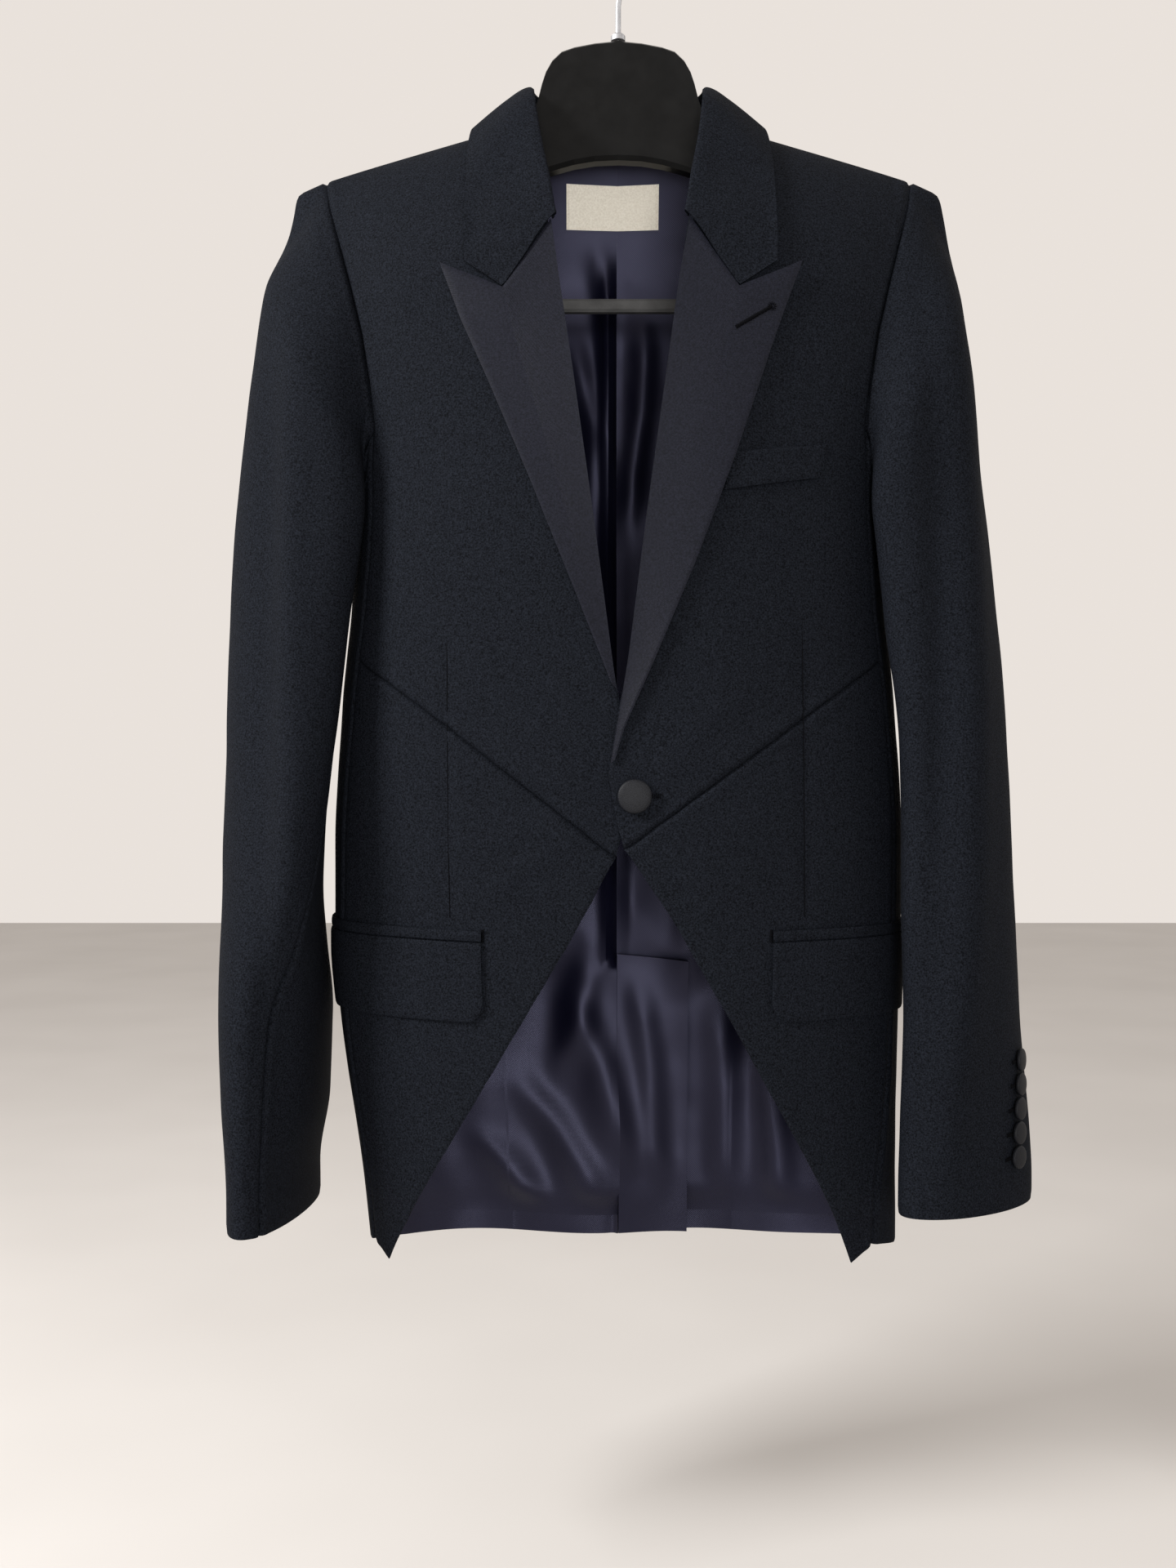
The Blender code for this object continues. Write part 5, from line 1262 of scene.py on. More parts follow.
@dataclass
class ClothMesh:
    """Closes the grid of the face that shows and the like grid behind it into one piece."""

    name: str
    outer: Array
    inner: Array

    def __post_init__(self) -> None:
        """Count the grid's rows and columns."""
        self.rows, self.columns = self.outer.shape[:2]

    def faces(self) -> list[tuple[int, ...]]:
        """List the faces: the outer ones, then the inner ones, then the rim.

        Returns:
            The corners of each face.
        """
        shift = self.rows * self.columns
        wide = self.columns
        starts = [r * wide + c for r in range(self.rows - 1) for c in range(wide - 1)]
        outer = [(a, a + 1, a + wide + 1, a + wide) for a in starts]
        inner = [(a + shift, a + wide + shift, a + wide + 1 + shift, a + 1 + shift) for a in starts]
        rim = list(range(wide)) + [r * wide + wide - 1 for r in range(1, self.rows)]
        rim += [(self.rows - 1) * wide + c for c in range(wide - 2, -1, -1)]
        rim += [r * wide for r in range(self.rows - 2, 0, -1)]
        border = [(a, a + shift, b + shift, b) for a, b in zip(rim, rim[1:] + rim[:1])]
        return outer + inner + border

    def volume_sign(self) -> float:
        """Tell whether the faces point out (positive) or in.

        Returns:
            A number above 0 where they point out.
        """
        middle = (self.outer + self.inner) / 2
        down = self.outer[1:, :-1] - self.outer[:-1, :-1]
        across = self.outer[:-1, 1:] - self.outer[:-1, :-1]
        normal = np.cross(across, down)
        return float((normal * (self.outer - middle)[:-1, :-1]).sum())

    def build(self, face: Material, back: Material | None = None) -> Thing:
        """Make the object.

        Args:
            face: Material of the outer face and the rim.
            back: Material of the inner face, the same where it is left out.

        Returns:
            The finished piece.
        """
        points = np.concatenate([self.outer.reshape(-1, 3), self.inner.reshape(-1, 3)])
        faces = self.faces()
        if self.volume_sign() < 0:
            faces = [tuple(reversed(corners)) for corners in faces]
        mesh = bpy.data.meshes.new(self.name)
        mesh.from_pydata(points.tolist(), [], faces)
        mesh.materials.append(face)
        if back is not None:
            mesh.materials.append(back)
            count = (self.rows - 1) * (self.columns - 1)
            for index in range(count, 2 * count):
                mesh.polygons[index].material_index = 1
        down, across = grid_runs(self.outer)
        flat = np.stack([across, down], axis=-1).reshape(-1, 2)
        flat = np.concatenate([flat, flat])
        layer = mesh.uv_layers.new(name="cloth")
        corners = np.zeros(len(mesh.loops), dtype=np.int32)
        mesh.loops.foreach_get("vertex_index", corners)
        layer.data.foreach_set("uv", flat[corners].ravel())
        mesh.shade_smooth()
        mesh.set_sharp_from_angle(angle=math.radians(WALL_SHARP_ANGLE))
        return add_object(self.name, mesh)


def add_object(name: str, data: bpy.types.ID) -> Thing:
    """Put new data into the scene as an object.

    Args:
        name: Its name.
        data: What it shows.

    Returns:
        The object.
    """
    thing = bpy.data.objects.new(name, data)
    bpy.context.scene.collection.objects.link(thing)
    return thing


def dress(
    thing: Thing,
    nodes: tuple[str, ...] = (),
) -> None:
    """Args:
        thing: The piece.
        nodes: The nodes that it stands for.
    """
    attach(thing, "root")
    if nodes:
        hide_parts(*nodes)
    LOG.info("%s: %d faces", thing.name, len(thing.data.polygons))


def make_cloth(
    node: str,
    faces: tuple[Array, Array],
    finishes: tuple[Material, ...],
    cut: Cut,
) -> None:
    """Make the piece of cloth that stands for a node, and dress it.

    Args:
        node: The node.
        faces: The grids of the face that shows and of the face behind it.
        finishes: The outer face's finish, and the inner face's where it is another one.
        cut: Its flat cut, which is not used.
    """
    thing = ClothMesh(node + "_cloth", *faces).build(*finishes)
    dress(thing, (node,))


def fine_armhole(side: int, steps: Array) -> Array:
    """Place points on the armhole seam between those of the body's patterns.

    Args:
        side: 1 for the wearer's left, -1 for the right.
        steps: Sleeve steps from -9 (back underarm) to 9 (front underarm).

    Returns:
        The points.
    """
    coarse = np.concatenate([ARMHOLE_STEPS, UNDERARM_STEPS[1:]])
    halves = []
    for on_front in (True, False):
        known = armhole_turns(side, coarse, on_front)
        turns, heights = (np.interp(np.abs(steps), coarse, known[:, axis]) for axis in (0, 1))
        halves.append(body_point(side, turns, heights))
    return np.where((steps >= 0)[:, None], *halves)


def form_rise(side: int, points: Array) -> Array:
    """Tell how far the body's cloth stands out from the form, none at the armhole.

    Args:
        side: 1 for the wearer's left, -1 for the right.
        points: Points on the form.

    Returns:
        The rise at each point.
    """
    x, z = side * points[..., 0], points[..., 2]
    on_front = points[..., 1] < table_value(TORSO, "middle_y", z)
    rise = np.where(on_front, body_rise(side, x, z, True), body_rise(side, x, z, False))
    ring = fine_armhole(side, np.linspace(-UNDERARM_STEP, UNDERARM_STEP, ARMHOLE_SPOTS))
    flat = points.reshape(-1, 3)
    nearest = np.full(len(flat), FAR)
    for spot in ring:
        nearest = np.minimum(nearest, np.linalg.norm(flat - spot, axis=1))
    return rise * smoothstep(ARMHOLE_FLAT, ARMHOLE_FULL, nearest.reshape(rise.shape))


@dataclass
class SeamRelief:
    """How the cloth lies at its seams and its free edges."""

    groove: float = 0.0016
    groove_width: float = 0.0011
    roll: float = 0.00060
    roll_place: float = 0.0042
    roll_width: float = 0.0026
    edge_fall: float = 0.0005
    edge_width: float = 0.0012

    def rise(self, grid: Array, seams: str) -> Array:
        """Sink the cloth at its seams, with a soft roll beside them.

        Args:
            grid: The piece's points.
            seams: Edges that are sewn to a neighbour.

        Returns:
            The rise at each point.
        """
        away = edge_distance(grid, seams)
        groove = self.groove * bell(away, self.groove_width)
        return self.roll * bell(away - self.roll_place, self.roll_width) - groove

    def edge_drop(self, grid: Array, free: str) -> Array:
        """Tell how far the outer face falls at the free edges, which rounds them."""
        return self.edge_fall * bell(edge_distance(grid, free), self.edge_width)


@dataclass
class Torso:
    """The body of the blazer: its fronts, side panels and backs."""

    face: Material
    lining: Material
    relief: SeamRelief = field(default_factory=SeamRelief)
    fine: int = PANEL_FINE

    def lay(self, side: int, turns: Array) -> tuple[Array, Array]:
        """Lay a pattern on the form, finely.

        Args:
            side: 1 for the wearer's left, -1 for the right.
            turns: The pattern's points as turns and heights.

        Returns:
            The points and the unit ways to the inside.
        """
        finer = refine(turns, self.fine, self.fine)
        return (
            body_point(side, finer[..., 0], finer[..., 1]),
            body_inward(side, finer[..., 0], finer[..., 1]),
        )

    def finish(
        self, side: int, piece: str, outer: Array, inward: Array, seams: str, free: str
    ) -> None:
        """Fold, thicken and dress one panel.

        Args:
            side: 1 for the wearer's left, -1 for the right.
            piece: The panel's node without its side.
            outer: Its plain points.
            inward: The way from each point to the inside.
            seams: Its sewn edges.
            free: Its free edges.
        """
        outer, inward = tighten(outer, EDGE_PARTS), tighten(inward, EDGE_PARTS)
        rise = form_rise(side, outer) + self.relief.rise(outer, seams)
        rise[0] = np.minimum(rise[0], 0.0)
        drop = self.relief.edge_drop(outer, free)
        shaped = outer - rise[..., None] * inward
        face = draw_in(shaped + drop[..., None] * inward, seams, SEAM_INSET)
        behind = draw_in(shaped + CLOTH * inward, seams, SEAM_INSET)
        node, finishes = f"{piece}_{SIDES[side]}", (self.face, self.lining)
        make_cloth(node, (face, behind), finishes, Cut.of_grid(shaped))

    def mitre(self, side: int, steps: Array, front: bool) -> Array:
        """The armhole's mitre at fine steps."""
        return side_mitre(side, fine_steps(steps, self.fine), front)

    def front_upper(self, side: int) -> None:
        """Make the front from the shoulder to the slanted waist seam.

        Args:
            side: 1 for the wearer's left, -1 for the right.
        """
        chest, _ = front_seam_heights()
        armhole = armhole_turns(side, ARMHOLE_STEPS, True)
        end = np.concatenate([armhole, seam_line(side, chest[1:], True)])
        start = as_turns(side, along(FRONT_EDGES[side].upper, length_shares(end)), True)
        turns = coons(shoulder_seam(side, True), waist_seam(side, SHOULDER_COLUMNS), start, end)
        outer, inward = self.lay(side, turns)
        outer[0, :, 1] -= SHOULDER_SEAM_HALF_GAP
        inward[0] = SHOULDER_MITRE
        mitre = self.mitre(side, ARMHOLE_STEPS, True)
        inward[: len(mitre), -1] = mitre
        self.finish(side, "front_upper", outer, inward, "top bottom end", "start")

    def front_lower(self, side: int) -> None:
        """Make the front from the slanted waist seam to the cutaway and the hem.

        Args:
            side: 1 for the wearer's left, -1 for the right.
        """
        _, skirt = front_seam_heights()
        end = seam_line(side, skirt, True)
        start = as_turns(side, along(FRONT_EDGES[side].lower, length_shares(end)), True)
        hem_end = body_point(side, end[-1, 0], end[-1, 1])
        hem = (FRONT_EDGES[side].lower[-1], SidePoint(abs(float(hem_end[0])), FRONT_HEM_Z))
        bottom = as_turns(side, along(hem, even(SHOULDER_COLUMNS)), True)
        turns = coons(waist_seam(side, SHOULDER_COLUMNS), bottom, start, end)
        outer, inward = self.lay(side, turns)
        self.finish(side, "front_lower", outer, inward, "top end", "start bottom")

    def side_panel(self, side: int) -> None:
        """Make the panel under the arm, from the armhole's foot to the hem.

        Args:
            side: 1 for the wearer's left, -1 for the right.
        """
        chest, skirt = front_seam_heights()
        start = seam_line(side, np.concatenate([chest, skirt[1:]]), True)
        end = seam_line(side, back_seam_heights(), False)
        front_foot = armhole_turns(side, UNDERARM_STEPS, True)
        back_foot = armhole_turns(side, UNDERARM_STEPS[::-1], False)
        top = np.concatenate([front_foot, back_foot[1:]])
        bottom = start[-1] + length_shares(top)[:, None] * (end[-1] - start[-1])
        outer, inward = self.lay(side, coons(top, bottom, start, end))
        front = self.mitre(side, UNDERARM_STEPS, True)
        back = self.mitre(side, UNDERARM_STEPS[::-1], False)
        inward[0] = np.concatenate([front, back[1:]])
        self.finish(side, "side_panel", outer, inward, "start end", "bottom")

    def back_pattern(self, side: int) -> Array:
        """The back's pattern as turns and heights, with the vent edge at its start.

        Args:
            side: 1 for the wearer's left, -1 for the right.

        Returns:
            The pattern.
        """
        armhole = armhole_turns(side, ARMHOLE_STEPS, False)
        end = np.concatenate([armhole, seam_line(side, back_seam_heights()[1:], False)])
        neck_x = NECK_SIDE_X * even(NECK_COLUMNS)[:-1]
        neck = as_turns(side, np.stack([neck_x, back_neck_height(neck_x)], axis=-1), False)
        top = np.concatenate([neck, shoulder_seam(side, False)])
        centre_z = NECK_BACK_Z + (BACK_HEM_Z - NECK_BACK_Z) * length_shares(end)
        start = np.stack([np.full(len(centre_z), -math.pi / 2), centre_z], axis=-1)
        hem_turns = np.linspace(-math.pi / 2, end[-1, 0], len(top))
        hem_z = np.linspace(BACK_HEM_Z, BACK_SEAM_HEM_Z, len(top))
        bottom = np.stack([hem_turns, hem_z], axis=-1)
        return coons(top, bottom, start, end)

    def back(self, side: int) -> None:
        """Make one half of the back.

        Args:
            side: 1 for the wearer's left, -1 for the right.
        """
        outer, inward = self.lay(side, self.back_pattern(side))
        shoulder = slice(NECK_COLUMNS * self.fine, None)
        outer[0, shoulder, 1] += SHOULDER_SEAM_HALF_GAP
        inward[0, shoulder] = SHOULDER_MITRE
        mitre = self.mitre(side, ARMHOLE_STEPS, False)
        inward[: len(mitre), -1] = mitre
        self.finish(side, "back", outer, inward, "start end", "bottom")

    def build(self) -> None:
        """Make every panel of the body."""
        for side in SIDES:
            self.front_upper(side)
            self.front_lower(side)
            self.side_panel(side)
            self.back(side)


@dataclass
class Sleeves:
    """Both sleeves, each of an upper and an under piece."""

    face: Material
    lining: Material
    relief: SeamRelief = field(default_factory=SeamRelief)
    rows: int = 150
    per_step: int = 7
    rope_rise: float = 0.0014
    rope_drop: float = 0.010
    rope_width: float = 0.008
    rope_fade: tuple[float, float] = (0.30, 0.21)
    row_power: float = 1.25
    wave_start: float = 0.02
    wave_full: float = 0.08
    wave_seed: float = 7.0

    def surface(self, side: int, steps: Array, shares: Array) -> Array:
        """Place a sleeve's outer face.

        Args:
            side: 1 for the wearer's left, -1 for the right.
            steps: Steps of 20 degrees around the sleeve.
            shares: Shares of the way from the armhole to the cuff.

        Returns:
            Grid of points, a row to a share.
        """
        wrapped = wrap(steps)
        angle = np.radians(STEP_DEGREES * steps)
        start = fine_armhole(side, wrapped)
        near_foot = smoothstep(FOOT_EASE_START_STEP, FOOT_EASE_FULL_STEP, np.abs(wrapped))
        drop = SLEEVE_EASE_DROP + (SLEEVE_FOOT_EASE_DROP - SLEEVE_EASE_DROP) * near_foot
        offset = start - sleeve_ring(side, angle, start[:, 2])
        rows = []
        for share in shares:
            z = start[:, 2] + (CUFF_Z[side] - start[:, 2]) * share
            eased = np.clip(1 - (start[:, 2] - z) / drop, 0.0, 1.0) ** 2
            rows.append(sleeve_ring(side, angle, z) + eased[:, None] * offset)
        grid = np.array(rows)
        grid[0, :, 0] += side * ARMHOLE_GAP
        return grid

    def folds(self, side: int, grid: Array, outward: Array) -> Array:
        """Tell how far a sleeve's folds lift its cloth.

        Args:
            side: 1 for the wearer's left, -1 for the right.
            grid: Its plain points.
            outward: Unit normals.

        Returns:
            The rise at each point.
        """
        x, z = side * grid[..., 0], grid[..., 2]
        facing = smoothstep(0.0, 0.5, -outward[..., 1])
        rise = sum(fold_rise(folds, x, z) for folds in SLEEVE_FOLDS[side])
        rise = SLEEVE_FOLD_SCALE * rise * facing
        drop = grid[:1, :, 2] - z
        below = smoothstep(self.wave_start, self.wave_full, drop)
        rise = rise + soft_waves(x, z, self.wave_seed + side) * below
        cap = smoothstep(*self.rope_fade, -z)
        cap = cap * bell(drop - self.rope_drop, self.rope_width)
        return rise + self.rope_rise * cap

    def piece(self, side: int, name: str, steps: Array) -> None:
        """Make one piece of a sleeve.

        Args:
            side: 1 for the wearer's left, -1 for the right.
            name: Its node.
            steps: Its columns, in steps of 20 degrees.
        """
        shares = even(self.rows) ** self.row_power
        margin = steps[1] - steps[0]
        wide = np.concatenate([[steps[0] - margin], steps, [steps[-1] + margin]])
        grid = self.surface(side, wide, shares)
        normal = unit(np.cross(np.gradient(grid, axis=0), np.gradient(grid, axis=1)))
        grid, normal = grid[:, 1:-1], normal[:, 1:-1]
        normal = face_out(side, grid, normal)
        mitres = armhole_mitres(side, wrap(steps))
        inward = -normal
        inward[0] = mitres
        rise = self.folds(side, grid, normal) + self.relief.rise(grid, "top start end")
        rise[0] = 0.0
        shaped = grid + rise[..., None] * normal
        shaped[0] = grid[0] + self.relief.groove * mitres
        drop = self.relief.edge_drop(grid, "bottom")
        face = draw_in(shaped - drop[..., None] * normal, "start end", SLEEVE_SEAM_INSET)
        behind = draw_in(shaped + CLOTH * inward, "start end", SLEEVE_SEAM_INSET)
        finishes = (self.face, self.lining)
        make_cloth(name, (face, behind), finishes, Cut.of_grid(shaped))

    def build(self) -> None:
        """Make both sleeves."""
        front, back = float(SLEEVE_FRONT_SEAM_STEP), -float(SLEEVE_BACK_SEAM_STEP)
        for side, name in SIDES.items():
            upper = np.linspace(back, front, int(front - back) * self.per_step + 1)
            around = 2 * UNDERARM_STEP + back
            under = np.linspace(front, around, int(around - front) * self.per_step + 1)
            self.piece(side, "sleeve_upper_" + name, upper)
            self.piece(side, "sleeve_under_" + name, under)


@dataclass
class Lapels:
    """Both peaked lapels, faced with a ribbed silk."""

    face: Material
    back: Material
    rows: int = 112
    gorge_columns: int = 24
    peak_columns: int = 12
    edge_fall: float = 0.0005
    edge_width: float = 0.0012
    lift_power: float = 1.5

    def line(self, side: int) -> Array:
        """A lapel's grid as x and z on its own half.

        Args:
            side: 1 for the wearer's left, -1 for the right.

        Returns:
            The grid.
        """
        shape = LAPELS[side]
        down = even(self.rows)
        gorge = along((GORGE_START, GORGE_END), even(self.gorge_columns))
        peak = along((GORGE_END, shape.outer[0]), even(self.peak_columns))
        columns = self.gorge_columns + self.peak_columns
        bottom = along((shape.roll[-1], shape.outer[-1]), even(columns))
        top = np.concatenate([gorge, peak[1:]])
        return coons(top, bottom, along(shape.roll, down), along(shape.outer, down))

    def lift(self) -> Array:
        """How far the lapel's face stands out from the front under it.

        Returns:
            The lift at each point.
        """
        across = even(self.gorge_columns + self.peak_columns)[None, :]
        down = even(self.rows)[:, None]
        peak = (LAPEL_PEAK_LIFT - LAPEL_EDGE_LIFT) * (1 - smoothstep(0.0, LAPEL_PEAK_ROWS, down))
        foot = 1 - LAPEL_FOOT_FALL * smoothstep(LAPEL_FOOT_START, 1.0, down)
        rise = (LAPEL_EDGE_LIFT - LAPEL_ROLL_LIFT) * foot + peak
        return LAPEL_ROLL_LIFT + rise * across ** self.lift_power

    def build(self) -> None:
        """Make both lapels."""
        for side, name in SIDES.items():
            line = self.line(side)
            plain = lifted(side, line, np.zeros(line.shape[:2]))
            lift = self.lift() + np.maximum(form_rise(side, plain), 0.0)
            outer, inner = lifted(side, line, lift), lifted(side, line, lift - LAPEL_CLOTH)
            away = edge_distance(outer, "top bottom end")
            rounded = lift - self.edge_fall * bell(away, self.edge_width)
            face = draw_in(lifted(side, line, rounded), "top", SEAM_INSET)
            behind = draw_in(inner, "top", SEAM_INSET)
            node, finishes = "lapel_" + name, (self.face, self.back)
            make_cloth(node, (face, behind), finishes, Cut.of_grid(outer))

    def face_point(self, side: int, x: float, z: float, extra: float) -> Array:
        """Place a point on a lapel's face at x and z, with a little more lift.

        Args:
            side: 1 for the wearer's left, -1 for the right.
            x: Its distance from the centre plane.
            z: Its height.
            extra: The added lift.

        Returns:
            The point.
        """
        line = self.line(side)
        off = np.hypot(line[..., 0] - x, line[..., 1] - z)
        row, column = np.unravel_index(int(off.argmin()), off.shape)
        return lifted(side, np.array([x, z]), np.array(self.lift()[row, column] + extra))


@dataclass
class Collar:
    """The collar: one sheet folded over its stand, from gorge to gorge."""

    face: Material
    stand_cells: int = 10
    fall_cells: int = 26
    half_rows: int = 61

    def curve(self, stand: Array, fold: Array, edge: Array, reach: float) -> Array:
        """One section of the collar: up the stand, over the fold and down to the edge.

        Args:
            stand: The stand's foot.
            fold: The fold.
            edge: The fall's edge.
            reach: How far the fold rolls over.

        Returns:
            The section's points.
        """
        up = unit(fold - stand)
        fall = edge - fold
        out = unit(fall - np.dot(fall, up) * up)
        reach = min(reach, COLLAR_ROLL_SHARE * float(np.linalg.norm(fold - stand)))
        climb = [stand, stand + 0.5 * (fold - stand), fold - reach * out, fold]
        turn_over = fold + COLLAR_TURN_OVER * reach * out
        drop = [fold, turn_over, edge + COLLAR_EDGE_PULL * (turn_over - edge), edge]
        return np.concatenate([bezier(climb, self.stand_cells), bezier(drop, self.fall_cells)[1:]])

    def stations(self, side: int, depth: float) -> tuple[Array, Array]:
        """The folds and the edges of the collar's stations, at a depth in its cloth.

        Args:
            side: 1 for the wearer's left, -1 for the right.
            depth: How deep it lies.

        Returns:
            The folds and the edges.
        """
        folds, edges = [], []
        for row in COLLAR_BACK + COLLAR_FRONT:
            front = row.place > 1
            lap = front_lap(side, np.array(row.fold_x), np.array(row.fold_z)) if front else 0.0
            folds.append((side * row.fold_x, row.fold_y - lap, row.fold_z - depth))
            foot = np.array([row.edge_x, row.edge_z])
            edges.append(lifted(side, foot, np.array(row.edge_lift - depth), front))
        shoulder_fold = np.array(COLLAR_SHOULDER_FOLD) * (side, 1, 1) - (0, 0, depth)
        shoulder_edge = np.array(COLLAR_SHOULDER_EDGE) * (side, 1, 1) - (0, 0, depth)
        folds.insert(len(COLLAR_BACK), tuple(shoulder_fold))
        edges.insert(len(COLLAR_BACK), shoulder_edge)
        fold_points, edge_points = np.array(folds), np.array(edges)
        late = COLLAR_PLACES > COLLAR_FRONT_FOLD_PLACE
        fold_points[late, 2] += depth
        fold_points[late, 1] += depth
        return fold_points, edge_points

    def half(self, side: int, depth: float) -> Array:
        """Half of the collar from the centre back to its front end, at a depth in its cloth.

        Args:
            side: 1 for the wearer's left, -1 for the right.
            depth: 0 for the outer face, the cloth's thickness for the inner one.

        Returns:
            Its points, a row to a section.
        """
        folds, edges = self.stations(side, depth)
        rows = []
        for place in np.linspace(0.0, 2.0, self.half_rows):
            at = np.array(place)
            fold = np.array([smooth_column(COLLAR_PLACES, folds[:, axis], at) for axis in range(3)])
            edge = np.array([smooth_column(COLLAR_PLACES, edges[:, axis], at) for axis in range(3)])
            seam = neck_seam(side, float(place))
            stand = seam + (COLLAR_STAND_GAP + CLOTH - depth) * toward_neck_centre(seam)
            rows.append(self.curve(stand, fold, edge, COLLAR_ROLL_REACH - depth))
        return self.to_gorge(side, np.array(rows), depth)

    def to_gorge(self, side: int, grid: Array, depth: float) -> Array:
        """Bend the front end to the gorge and the notch, and keep it over the front.

        Args:
            side: 1 for the wearer's left, -1 for the right.
            grid: Rows by columns of points.
            depth: How deep it lies.

        Returns:
            The grid, bent.
        """
        fall = slice(self.stand_cells, None)
        shares = even(self.fall_cells)
        line = along((GORGE_START, GORGE_END, COLLAR_TIP), shares)
        lift = COLLAR_FRONT[-1].edge_lift * shares + GORGE_LIFT * (1 - shares)
        end = lifted(side, line, lift - depth)
        places = np.linspace(0.0, 2.0, self.half_rows)
        weight = smoothstep(GORGE_BEND_START, 2.0, places)[:, None, None]
        keep_fold = smoothstep(0.0, GORGE_FOLD_SHARE, shares)[None, :, None]
        grid[:, fall] += weight * keep_fold * (end - grid[-1, fall])
        front = places > 1
        columns = np.arange(grid.shape[1])
        for on_front in (True, False):
            rows = np.nonzero(front == on_front)[0]
            first = self.stand_cells + (1 if on_front else 2)
            block = np.ix_(rows, columns[first:])
            own_x, z = side * grid[block][..., 0], grid[block][..., 2]
            surface = body_point(side, turn_at(side, own_x, z, on_front), z)[..., 1]
            y = grid[block][..., 1]
            clearance = COLLAR_MIN_LIFT - depth
            keep, way = (np.minimum, -1) if on_front else (np.maximum, 1)
            part = grid[block]
            part[..., 1] = keep(y, surface + way * clearance)
            grid[block] = part
        return grid

    def build(self) -> None:
        """Make the collar."""
        faces = []
        for depth in (0.0, CLOTH):
            grid = np.concatenate([self.half(-1, depth)[::-1], self.half(1, depth)[1:]])
            faces.append(draw_in(grid, "top bottom", COLLAR_END_INSET))
        make_cloth("collar", tuple(faces), (self.face,), Cut.of_grid(faces[0]))


class Crease(NamedTuple):
    """A straight soft ridge of the lining: its two ends, its width and how far it stands in."""

    start_x: float
    start_z: float
    end_x: float
    end_z: float
    width: float
    rise: float


CREASES = table(
    Crease,
    (-0.029, -0.700, 0.006, -0.800, 0.0085, 0.0062),
    (-0.062, -0.755, -0.014, -0.828, 0.0075, 0.0055),
    (0.014, -0.690, 0.030, -0.815, 0.0065, 0.0042),
    (-0.092, -0.790, -0.052, -0.836, 0.0070, 0.0050),
    (0.068, -0.705, 0.078, -0.822, 0.0080, 0.0058), (0.098, -0.735, 0.112, -0.828, 0.0070, 0.0052),
    (-0.018, -0.665, -0.038, -0.745, 0.0080, 0.0050),
    (-0.012, -0.200, -0.006, -0.335, 0.0050, 0.0034),
    (0.018, -0.245, 0.010, -0.380, 0.0055, 0.0042),
    (-0.026, -0.262, -0.012, -0.370, 0.0052, 0.0040),
    (-0.050, -0.560, -0.040, -0.660, 0.0090, 0.0050),
    (0.046, -0.580, 0.052, -0.680, 0.0090, 0.0050),
)
CREASE_FADE = 0.022
CREASE_SPREAD = 1.45
CREASE_SWING = 0.10
CREASE_SWINGS = 40.0


def crease_rise(x: Array, z: Array) -> Array:
    """Tell how far the lining's ridges stand into the garment.

    Args:
        x: Places across, the same on both halves.
        z: Heights.

    Returns:
        The rise at each point.
    """
    rise = 0.0 * x
    for crease in CREASES:
        run_x, run_z = crease.end_x - crease.start_x, crease.end_z - crease.start_z
        length = math.hypot(run_x, run_z)
        along_it = ((x - crease.start_x) * run_x + (z - crease.start_z) * run_z) / length
        bend = CREASE_SWING * CREASE_FADE * np.sin(CREASE_SWINGS * along_it)
        off_it = ((x - crease.start_x) * run_z - (z - crease.start_z) * run_x) / length + bend
        inside = smoothstep(-CREASE_FADE, CREASE_FADE, along_it)
        inside = inside * (1 - smoothstep(length - CREASE_FADE, length + CREASE_FADE, along_it))
        rise = rise + crease.rise * inside * bell(off_it, CREASE_SPREAD * crease.width)
    return rise


